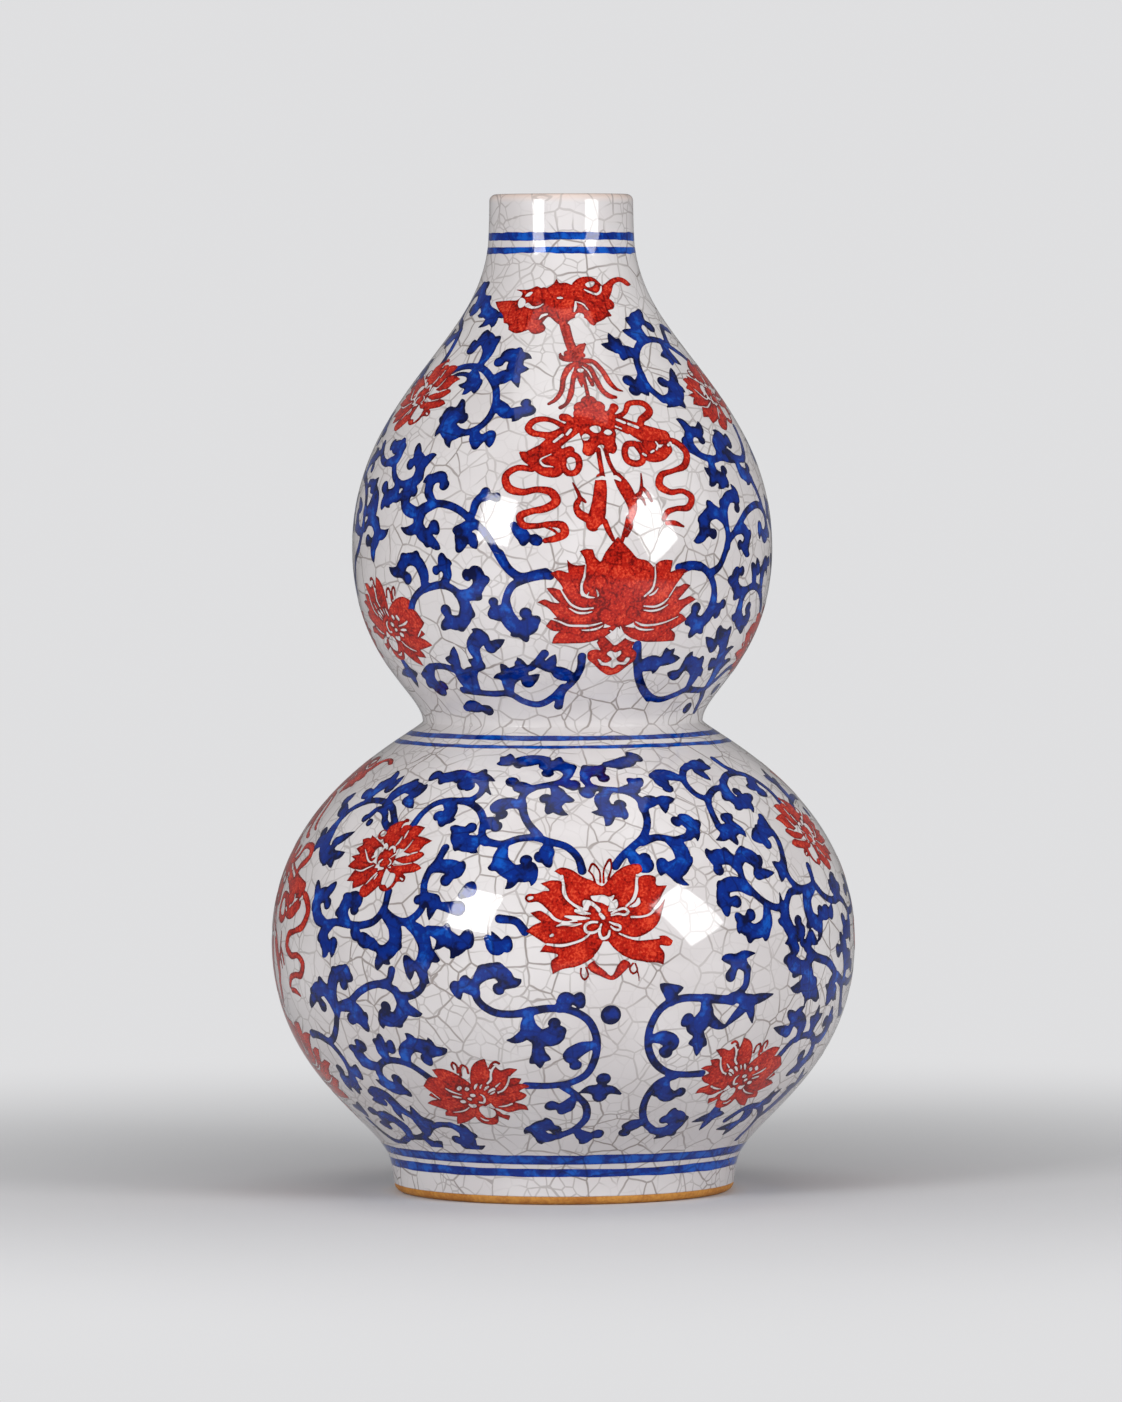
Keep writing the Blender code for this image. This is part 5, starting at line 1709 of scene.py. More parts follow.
def glaze_coat(sizes, colours):
    """The glaze over the outside, the lip and the inside, keyed a little way into the clay."""
    wall = Wall(sizes)
    glaze = sizes.glaze / MM
    off = sizes.inside_glaze / MM
    lip = sizes.lip_round / MM
    lip_centre = (sizes.mouth_radius / MM - lip, sizes.lip_top / MM - lip)
    start = wall.along_at(GLAZE_EDGE)
    end = wall.along_at(lip_centre[1] - LIP_START)
    rows = even_rows(wall, start, end, *OUTSIDE_ROWS)
    steps = np.arange(-BEAD_REACH, BEAD_REACH + 0.1, BEAD_STEP)
    seam_rows = [wall.along_at(seam) + step for seam in wall.seams[1:] for step in steps]
    inside_rows = np.unique(np.concatenate([even_rows(wall, start, end, *INSIDE_ROWS), seam_rows]))[::-1]
    back_rows = even_rows(wall, start, end, *BACK_ROWS)[::-1]
    floor = sizes.floor_top / MM
    outside = [tuple(p) for p in set_back(wall, rows, -wall.glaze_at(rows))]
    over_lip = arc_points(lip_centre, lip + glaze, 0.0, 180.0, 16, lip + off)
    inside = inner_line(wall, inside_rows, off, floor + off)
    back = inner_line(wall, back_rows, -GLAZE_KEY, floor - GLAZE_KEY)[::-1]
    under_lip = arc_points(lip_centre, lip - GLAZE_KEY, 180.0, 0.0, 8)
    down = [tuple(p) for p in set_back(wall, back_rows, GLAZE_KEY)]
    roll = [(outside[0][0] - GLAZE_ROLL[0], outside[0][1] - GLAZE_ROLL[1])]
    outline = outside + over_lip + inside + back + under_lip + down + roll
    return turned_piece("glaze_coat", outline, glaze_finish(colours, sizes.lip_top))


def base_glaze(sizes, colours):
    """The glaze on the underside of the bowl and down the bore of the foot."""
    base = sizes.base_height / MM - BASE_FILM
    bore = sizes.foot_bore / MM - BORE_FILM
    top = base + BASE_KEY
    behind = bore + BORE_KEY
    outline = [(radius, base) for radius in BASE_RINGS]
    outline += arc_points((bore - BASE_ROUND, base - BASE_ROUND), BASE_ROUND, 90.0, 0.0, 6)
    outline += [(bore, 7.5), (bore, 5.4), (bore + 0.1, 5.1), (bore + 0.5, 5.0), (behind, 5.3)]
    outline += [(behind, 9.0), (behind, base + 0.4), (bore, top)]
    outline += [(radius, top) for radius in BASE_BACK_RINGS]
    finish = glaze_finish(colours, sizes.lip_top)
    return turned_piece("base_glaze", outline, finish, BASE_TURN_STEPS)


def ochre_foot_dressing(sizes, colours):
    """The ochre wash on the bare foot: its rounded edge, the resting ring and the bore."""
    edge = sizes.edge_round / MM
    side = sizes.foot_side_radius / MM
    rest = sizes.resting_radius / MM
    bore = sizes.foot_bore / MM
    inside = bore - BORE_WASH
    key = bore + 0.5
    outline = [(side + WASH_FILM + 0.03, edge + 0.6), (side + WASH_FILM, edge + 0.2)]
    outline += arc_points((rest, edge), edge + WASH_FILM, 0.0, -90.0, 10)
    outline += [(47.5, -WASH_FILM), (bore + 1.2, -WASH_FILM), (bore + 0.4, 0.4), (inside, 1.3), (inside, 3.4)]
    outline += [(inside, 6.2), (key, 6.2), (key, 1.8), (bore + 1.4, WASH_KEY), (rest, WASH_KEY)]
    outline += arc_points((rest, edge), edge - WASH_KEY, -90.0, 0.0, 6) + [(side - WASH_KEY, edge + 0.6)]
    return turned_piece("ochre_foot_dressing", outline, ochre_finish(colours))


def clay_finishes(colours):
    """Better materials for the clay sections and the slip, which the glaze mostly hides."""
    finishes = {
        "glazed_porcelain": clay_finish("fired_porcelain_clay", colours.clay, colours.slip, 700.0, 0.55),
        "dried_slip": clay_finish("dried_slip", colours.slip, colours.clay, 500.0, 0.8),
        "bare_foot_clay": ochre_finish(colours),
    }
    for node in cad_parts.values():
        for slot in node.material_slots:
            for name, finish in finishes.items():
                if slot.material and name in slot.material.name:
                    slot.material = finish


# Painted lines round the vase

LINES = {  # name: height of the middle and half-width in mm, and tone
    "neck_line_upper": (287.55, 1.2, -0.7),
    "neck_line_lower": (283.3, 1.0, -0.85),
    "waist_line_upper": (138.35, 1.2, -0.65),
    "waist_line_lower": (135.9, 0.85, -0.8),
    "foot_line_upper": (13.85, 1.75, -0.45),
    "foot_line_lower": (9.7, 1.35, -0.55),
}
TREMBLE = 0.16
TREMBLE_WAVES = ((3, 0.5), (7, 0.3), (16, 0.25), (31, 0.2))  # waves in a turn and their share
LINE_STEPS = 181
LINE_REACH = 3.2  # how far the canvas of a line reaches to either side of it
LINE_CELL = 0.35
BLUE_SPACING = 1.2  # distance between the points of the blue, in mm


def wavering(turns, start):
    """A closed hand tremble over a full turn, in mm."""
    total = 0.0 * turns
    for i, (count, part) in enumerate(TREMBLE_WAVES):
        total = total + part * np.sin(count * turns + start * (i + 1.7))
    return TREMBLE * total


def painted_lines(sizes, colours):
    """The six lines that a brush left as the vase turned on the wheel."""
    wall = Wall(sizes)
    finish = cobalt_finish(colours)
    for number, (name, (height, half_width, tone)) in enumerate(LINES.items()):
        middle = wall.along_at(height)
        band = (middle - LINE_REACH, middle + LINE_REACH)
        canvas = Canvas(wall, (-HALF_TURN, HALF_TURN), band, LINE_CELL, goes_round=True)
        spot = Spot(wall, 0.0, height)
        turns = np.linspace(-HALF_TURN, HALF_TURN, LINE_STEPS)
        across = turns * spot.middle_radius
        up = wavering(turns, number + 0.4)
        half = half_width + wavering(turns, 5.3 * number + 2.0)
        canvas.brush(spot, np.stack([across, up, half], -1), (tone, tone))
        paint_piece(name, canvas, finish, BLUE_TOP, BLUE_SPACING)


# Blue scrolls

# A vine is a run of points, and a stroke is one whose third number is its half-width. A leaf is a run from
# its root to the ball at its end, then the points of its tips, then other half-widths of its body and ball.
# A dot is a place and a size.
VINE = 1.2  # half-widths of the vines, of a leaf's body and of its ball
LEAF_BODY = 2.3
LEAF_BALL = 1.95
VINE_END = 1.12  # a vine is this much wider at its ends
BALL_NECK = 0.72
LOBE = ((0.0, 1.75), (0.42, 1.6), (0.75, 0.95), (1.0, 0.25))  # shares of a lobe's length, and half-widths
LOBE_BEND = 0.16
BLUE_CELL = 0.3
UPPER_BAND = (142.5, 278.0)  # heights between which each bulb has its scrolls
LOWER_BAND = (16.5, 137.0)


def part_way(start, end, share):
    """The point that lies a share of the way from start to end."""
    return start[0] + share * (end[0] - start[0]), start[1] + share * (end[1] - start[1])


def paint_vine(canvas, spot, points):
    """A stem of nearly even width, darker where the brush sets down and lifts off."""
    widths = [VINE * VINE_END] + [VINE] * (len(points) - 2) + [VINE * VINE_END]
    canvas.brush(spot, [(*place, w) for place, w in zip(points, widths)], (0.15, 0.0), melt=0.6)


def paint_leaf(canvas, spot, run, tips=(), body=LEAF_BODY, ball=LEAF_BALL):
    """A hooked leaf: it swells from its root, curls to a round ball, and throws full lobes with fine tips."""
    if len(run) > 2:
        neck = part_way(run[-2], run[-1], 0.5)
        places = [*run[:-1], neck, run[-1]]
        widths = [VINE] + [body] * (len(run) - 2) + [BALL_NECK * ball, ball]
        canvas.brush(spot, [(*place, w) for place, w in zip(places, widths)], (-0.3, 0.45), melt=0.6)
    else:
        canvas.brush(spot, [(*place, w) for place, w in zip(run, (VINE, body))], (0.0, 0.1), melt=0.7)
    for tip in tips:
        nearest = min(range(1, len(run)), key=lambda i: math.dist(run[i], tip))
        root = run[nearest]
        behind = run[nearest - 1]
        length = math.dist(root, tip)
        growth = (length * LOBE_BEND / math.dist(behind, root)) if nearest < len(run) - 1 else 0.0
        lobe = []
        for share, size in LOBE:
            across, up = part_way(root, tip, share)
            lean = growth * 4 * share * (1 - share)
            lobe.append((across + lean * (root[0] - behind[0]), up + lean * (root[1] - behind[1]), size))
        canvas.brush(spot, lobe, (-0.1, 0.6), melt=0.5)


def paint_scrolls(canvas, spot, scrolls):
    """Paints a field of vines, leaves, single strokes and dots."""
    for kind, *points in scrolls:
        if kind == "vine":
            paint_vine(canvas, spot, points)
        elif kind == "leaf":
            paint_leaf(canvas, spot, *points)
        elif kind == "stroke":
            canvas.brush(spot, points, (0.3, 0.4), melt=0.6)
        else:
            size = points[1] if len(points) > 1 else LEAF_BALL
            across, up = points[0]
            canvas.brush(spot, [(across, up, size), (across + 0.1, up, size)], (0.4, 0.4), melt=0.5)


UPPER_LEFT = [
    ("vine", (-16, 46.7), (-9.3, 48.8), (-2.7, 49.3), (4, 48.3), (9.8, 45), (14, 40.8), (15.5, 35.8),
     (14.4, 30.8), (11.5, 27.5), (7.3, 25.8), (3.2, 25.6)),
    ("leaf", ((5, 25.6), (0.6, 25.8), (-2.2, 28.4), (0.6, 31.6), (3.6, 30.6)),
     ((-0.2, 37.2), (-7.0, 30.6), (-6, 24.4), (1.9, 20.8)), 2.9),
    ("leaf", ((-1.2, 29.8), (-3.8, 32.4)), ((-5.4, 30.8),)),
    ("stroke", (-14.4, 44.6, 0.5), (-7.7, 46.4, 0.8), (-2.7, 46, 0.9), (0.4, 45, 1.2)),
    ("leaf", ((-0.6, 47), (1.4, 44.4), (3.9, 43)), ((-5.2, 42.4), (-1, 39.0), (4.6, 39.4)), 2.3),
    ("leaf", ((11.4, 45), (16.4, 45.6), (19.6, 48)), ((26.4, 48.3), (23.4, 41.6), (16.4, 50.4)), 2.5),
    ("leaf", ((16.4, 34.4), (20.4, 32.4), (25.2, 32.8), (28.8, 33.6), (27.7, 35.8)),
     ((23.6, 29.6), (30.6, 32.6), (17.2, 36.9)), 1.8, 1.7),
    ("leaf", ((10.3, 26), (11.6, 23.4), (16.4, 24.6)), ((11.5, 20.6), (16.9, 21.0)), 2.3),
    ("vine", (-37, 21.6), (-32.7, 17.1), (-27.7, 15.4), (-23.5, 16.2), (-20.2, 11.6), (-16.8, 9.3),
     (-11.8, 9)),
    ("leaf", ((-27, 15.8), (-22.2, 17.0), (-21.8, 20), (-25.4, 20.8), (-27.9, 21.3)),
     ((-22.5, 23.4), (-19.2, 20.4)), 2.2),
    ("leaf", ((-13.4, 9), (-8.8, 10.6), (-8.2, 14.2), (-10.6, 17), (-13.2, 15.4)),
     ((-12.5, 22), (-2.8, 18.3), (-6.4, 11.6)), 2.1),
    ("leaf", ((-17, 9.2), (-18.2, 6), (-21.6, 5.2), (-24.2, 8)), ((-23.6, 1.2), (-19.4, 2), (-13.6, 5)),
     2.3),
    ("vine", (-37, 9), (-33.6, 9.2), (-30, 7), (-28.9, 3.6), (-29.8, -0.2), (-32.7, -3.3), (-37, -5.6)),
    ("leaf", ((-29.6, 6.4), (-28.6, 3), (-30.2, -1.4), (-34, -4.4)), (), 2.3, 1.4),
    ("leaf", ((-31, -2), (-26.6, -3), (-24.9, -6), (-27, -9), (-31, -8.2)),
     ((-18.6, -4.5), (-26.8, -14.4), (-25.2, -1.4)), 2.1),
    ("vine", (36.4, -16.8), (28.2, -17.9), (24, -14.2), (21.5, -10), (17.3, -4.2), (14, -1.7), (9.8, 1.3),
     (5.7, 2.9), (1.5, 3.3), (-1.7, 2.4)),
    ("leaf", ((0.5, 3.2), (-4.4, 0.8), (-5, -3.4), (-2.0, -6.2), (0.9, -3.4)),
     ((-12.4, -4), (3.4, -10), (-1.4, -9.4), (2.6, -5.6)), 2.1),
    ("leaf", ((-0.2, 3.8), (-2.6, 7), (-1.8, 10.6), (2.2, 11.0), (3.0, 9.2)), ((-5.4, 9.8),), 1.7, 1.9),
    ("leaf", ((-3.4, 1.0), (-8.2, 0.8), (-11.6, 2.8), (-11.4, 6), (-8.9, 6.9)), ((-15.4, 5),), 2.0, 1.8),
    ("leaf", ((15.4, -2.8), (11.6, -4.2), (11, -7.6), (14, -6.8)),
     ((8.0, -4.4), (9.4, -10.6), (15.6, -9.8)), 2.1, 1.6),
    ("leaf", ((14, 0.4), (15.4, 4.4), (17.6, 5.8), (21.3, 5.4)), ((17.2, 7.9),), 1.4, 1.5),
    ("leaf", ((27, -3), (29.8, -5.8), (33.4, -7.2)), ((35, -7.8), (29.6, -8.6)), 1.9, 1.3),
    ("vine", (-10.2, -28.4), (-7.7, -25), (-4.3, -22.5), (-0.2, -21.3), (4, -20.8), (8.2, -22.5),
     (10.7, -25.8)),
    ("leaf", ((9.6, -24), (11.2, -28), (9.4, -31.6), (5.2, -31.8), (4, -28.5)),
     ((1.4, -34.6), (8.2, -34.6), (13.6, -29.8)), 2.2),
    ("leaf", ((-3, -21.9), (-3, -17.4), (-5.8, -13.6), (-10.2, -13.8), (-12.4, -17), (-9.8, -19)),
     ((-18, -15.9), (-5.2, -11.2), (-11.4, -11.8)), 2.0),
    ("leaf", ((4, -20.6), (5.8, -17.6), (4.6, -15), (1.9, -16.4)), ((4, -11.6), (7.4, -14.4)), 1.6, 1.5),
    ("leaf", ((8.8, -23.4), (13.6, -23.3), (16.2, -20.2), (15, -16.8), (12.7, -17.6)),
     ((19.3, -18.9), (16.4, -24.6)), 2.0),
    ("vine", (36.4, -17.4), (30.7, -18.8), (26.5, -20.8), (24.4, -25), (24.2, -28)),
    ("leaf", ((24.4, -25.6), (24.7, -30.6), (27.8, -33.8), (31.4, -32.4), (30.2, -29.2)),
     ((29.8, -38), (34, -30.4), (25, -36)), 2.5),
    ("leaf", ((24, -27.5), (20.8, -28.6), (20.4, -25.8)), ((19.2, -30.4), (22.8, -31.2)), 2.0, 1.6),
]

UPPER_LEFT_NECK = [
    ("vine", (-10.2, -8.4), (-10.6, -2), (-12.2, 3.6), (-15.8, 7.4), (-20.2, 9.2), (-22.4, 12.8),
     (-21, 16.6), (-17, 19)),
    ("leaf", ((-13, 5), (-15.6, 2.6), (-18.6, 2.4), (-19.4, 4.6)), ((-16.4, -1.2), (-20.8, -0.4)), 1.9,
     1.5),
    ("leaf", ((-18.4, 18.4), (-13.8, 19.6), (-11.2, 16.4), (-12, 12.8), (-14.8, 13.2)),
     ((-9.2, 21.8), (-15.4, 21.8), (-8.4, 17.2)), 2.3, 1.7),
    ("leaf", ((-10.4, 17), (-7, 15.6), (-3, 12.6), (1.4, 11), (6.2, 11.2)),
     ((-4.2, 17.4), (-2.6, 6.6), (3.6, 6.6), (-6.6, 10.8)), 2.0, 1.5),
]
UPPER_LEFT_TOP = [
    ("leaf", ((5.4, 28.8), (6.2, 34.6), (0, 38.5), (-4.2, 34.6)), ((-5.8, 38), (0, 41.5), (9.6, 39.2))),
    ("leaf", ((15.4, 23.5), (21.5, 26.2), (21.5, 30.8), (16.9, 32.3), (14.2, 30)),
     ((21.9, 35), (28, 31.2))),
]

UPPER_RIGHT = [
    ("vine", (-10.4, 21), (-6.8, 19), (-2.7, 17.2), (1.5, 16.6), (5.7, 17.5), (10.5, 17.6), (15.7, 16.6),
     (20.7, 16.6), (24, 19.2), (26.3, 23.3), (27.3, 26.7)),
    ("leaf", ((-5.6, 18.8), (-7.9, 22), (-6, 25.3), (-2.2, 24.9), (-1.6, 23)),
     ((-9.9, 30), (0.6, 29), (-10.6, 22.4)), 1.7, 1.6),
    ("leaf", ((5.2, 17.4), (6.6, 21.4), (10.4, 22.8), (13.6, 21.8)), ((7.2, 26), (4, 21.4), (14.6, 24.6)),
     2.5, 2.0),
    ("stroke", (5, 17.8, 1.6), (9, 17.9, 2.6), (14, 16.6, 1.5)),
    ("leaf", ((-0.4, 16.8), (-0.6, 12.2), (3, 10.6), (4.7, 13)),
     ((-4.5, 14), (-4, 8.6), (-0.2, 7.6), (4.4, 8)), 2.0, 1.6),
    ("leaf", ((14, 16.2), (15.6, 12.4), (19.2, 11.4), (21.4, 13.6)),
     ((13.6, 11.4), (17.2, 8.4), (22.4, 9.4)), 2.1, 1.6),
    ("vine", (20.6, 11), (23, 7.6), (25.4, 3.6), (26, 1)),
    ("vine", (-18.4, -15.8), (-14.3, -15), (-10.2, -15.6), (-6.8, -17.9), (-4.3, -21.7), (-3.6, -25.8)),
    ("leaf", ((-3.7, -24.4), (-4.4, -29.6), (-7.6, -32.6), (-11, -31.4), (-10.6, -28.2)),
     ((-10.6, -37.4), (-5.4, -36), (-13.2, -33)), 2.1),
    ("leaf", ((-3.8, -28.4), (-1.4, -28.6), (0.9, -27.2)), ((-1.6, -31.4),), 1.8, 1.6),
    ("vine", (-6.4, -17.7), (-2.9, -16), (-0.2, -11.9), (1.6, -8.3), (4.8, -5.8), (8.2, -2.9), (12.3, 0),
     (17.3, 1.7), (22.3, 2.1), (26.5, 0.4), (28.6, -1.7)),
    ("leaf", ((28, -0.9), (28.4, -5.2), (24.6, -7.4), (21.4, -4.4)), ((20.6, -8), (32, -7)), 2.0, 1.7),
    ("vine", (1, -10), (1.4, -7), (0.8, -3.4), (-1.4, -0.6)),
    ("leaf", ((0.4, -2.2), (-3.8, 0.4), (-7.6, -1.2), (-8.2, -5), (-5.2, -6)),
     ((-6.2, 3.8), (-10.6, -2), (-12.9, -8)), 2.1, 1.7),
    ("leaf", ((0.9, -3.6), (0.8, 1.8), (3.8, 4.8), (7.7, 4.2), (7.4, 1.5)), ((6.4, 8.6), (-0.4, 3.6)), 1.9,
     1.6),
    ("leaf", ((5.6, -5.4), (9.4, -4.8), (11.6, -7.2), (10, -10.2), (7.5, -9.6)),
     ((13, -12.6), (13.8, -5.4)), 1.9, 1.6),
    ("vine", (30.5, -30), (25.7, -25.2), (21.5, -22.9), (17.3, -22.1), (13.2, -23.3), (10.5, -26.6)),
    ("leaf", ((10.7, -25.8), (11, -30.8), (14.4, -33.4), (18, -32), (16.6, -28.8)),
     ((17.6, -36.6), (7.2, -30.8)), 2.2),
    ("leaf", ((13, -23.2), (8.6, -23.6), (5.6, -20.9), (6.1, -17.8), (8.8, -17.4)),
     ((2, -19.8), (6.4, -25.8)), 1.9, 1.6),
    ("leaf", ((18.2, -22), (17.4, -18.4), (19.9, -17.3)), ((14.6, -15.6), (18.4, -13.8)), 1.7, 1.5),
    ("leaf", ((24.8, -24.4), (24, -19), (26.8, -15.2), (31, -15)), ((22, -17), (28.8, -19.4)), 2.0, 1.6),
]

UPPER_RIGHT_TOP = [
    ("vine", (21.5, 26.2), (18.5, 30.8), (13.1, 33.8), (6.2, 36.9), (0, 38), (-6.9, 37.7), (-13.1, 35.4),
     (-16.9, 31.5), (-18.1, 26.2), (-16.9, 20), (-13.1, 15.9)),
    ("leaf", ((-13.1, 15.9), (-7.6, 16.2), (-4.4, 20.2), (-9.4, 22.2)),
     ((-0.2, 27.2), (-0.2, 18.5), (-4.6, 12.8), (-12.6, 13.2)), 2.7),
    ("leaf", ((-16.4, 33.4), (-20.6, 33.6), (-25.0, 34.8)),
     ((-32.0, 36.4), (-26.9, 40.4), (-22.4, 38.4), (-23.8, 30.4))),
    ("leaf", ((-18, 25), (-20.6, 20.8)), ((-18.6, 17.4),)),
    ("dot", (-24.8, 22.9)),
    ("dot", (-23.6, 19.2)),
    ("leaf", ((-6.2, 38.1), (-11.6, 39.8)), ((-18.1, 41.4),)),
    ("leaf", ((-5.4, 38.2), (-8.4, 43), (-3.0, 45.8), (3.1, 42.6)), ((-12.7, 45.4), (1.9, 48.5))),
    ("leaf", ((5.0, 37.2), (4.6, 32.3)), ((-1.9, 31.9), (1.9, 28.5), (8.8, 28.5))),
    ("vine", (23.8, 41.2), (15.4, 42.3), (11.2, 38.5), (9.4, 36.0)),
]

UPPER_LEFT_LOW = [
    ("vine", (-12.2, -25.8), (-5.2, -22.3), (0.2, -21.9), (4.8, -23)),
    ("leaf", ((-5.2, -22.3), (-9.1, -26.4), (-7.4, -31.0), (-4.5, -29.2)), ((-13.7, -30),)),
    ("leaf", ((7.8, -30.6), (7.2, -24.8), (6.6, -20.0)), ((8.2, -15), (3.2, -19.2))),
    ("leaf", ((11.3, -31), (11.3, -24.4), (16.0, -21.2)), ((12.4, -19.4),)),
    ("leaf", ((16.3, -19.5), (15.7, -14.4), (19.4, -11.9), (21.7, -15.0)), ((26.7, -12.4), (16.4, -9.2))),
    ("vine", (4.8, -30.8), (10.9, -31.5), (17.8, -31.9), (24.8, -31.9), (29.4, -34.6), (35.5, -35.8),
     (42.5, -32.3), (45.5, -29.2)),
    ("leaf", ((24.6, -31.8), (25.8, -26.4), (30.6, -24.0), (32.5, -27.4)),
     ((30.2, -18.5), (37, -24.4), (20.2, -25.8), (24, -20.8))),
    ("vine", (30.4, -20.6), (33.4, -22.2), (36.6, -20.0), (39.4, -16.9)),
    ("leaf", ((1.7, -37.7), (7, -36.9), (12.5, -38.2)), ()),
    ("leaf", ((-21, -20.4), (-20.4, -24.8)), ((-29, -25.8), (-15.8, -24.8), (-22.2, -30.4))),
]

UPPER_RIGHT_LOW = [
    ("vine", (-34.8, -14.2), (-33.7, -20), (-30.6, -26.9), (-25.2, -32.3), (-17.5, -34.6), (-10.6, -33),
     (-5.2, -30.8)),
    ("leaf", ((-5.2, -30.8), (-6.0, -24.4), (-12.4, -21.6), (-15.2, -25.4)),
     ((-12.2, -17.2), (-19.6, -24.4), (-6.4, -18.9), (-1.4, -26.2))),
    ("leaf", ((-32.4, -21.0), (-27.5, -20.2), (-23.4, -19.8)),
     ((-17.9, -20), (-20.6, -15.9), (-26.0, -24.4))),
    ("vine", (-5.2, -31), (0.2, -31.5), (7.8, -31.2), (12.5, -27.7), (17, -24.2), (21.7, -23.5),
     (26.3, -25.4)),
    ("leaf", ((7.8, -30.2), (7.6, -24.6), (5.0, -21.0), (2.1, -22.3)),
     ((10.5, -16.2), (-1, -19.8), (14, -21.0))),
    ("leaf", ((4.0, -21.0), (2.6, -14.6), (-1.4, -12.4), (-2.9, -15.8)),
     ((-8.4, -12.4), (-3.0, -8.9), (3.2, -9.4))),
    ("vine", (7.8, -32.3), (10.9, -35.4), (12.5, -39.5)),
    ("dot", (3.2, -38.4), 2.0),
    ("dot", (20.5, -31.9), 2.3),
]

LOTUS_STEMS = [
    ("vine", (-21.3, 7.4), (-24.8, 7.8), (-29.8, 6.9), (-32.9, 8.8), (-36, 13.8)),
    ("vine", (18.4, 8.6), (22.8, 9.7), (25.4, 9.5)),
    ("vine", (-11.4, -18.0), (-11.6, -21.9), (-14.1, -26.9), (-17.9, -31), (-19.5, -36.5)),
    ("leaf", ((-13.4, -25.6), (-18.8, -23.8), (-22.4, -21.6)), ((-27.8, -20.0), (-20.2, -17.4))),
    ("vine", (6.8, -15.4), (8.1, -19.4), (10.3, -25.6), (14, -30.4), (18.5, -34.0)),
    ("leaf", ((9.4, -22.4), (15.0, -20.8), (19.0, -19.6)), ((24.4, -19.2), (17.6, -15.6))),
]

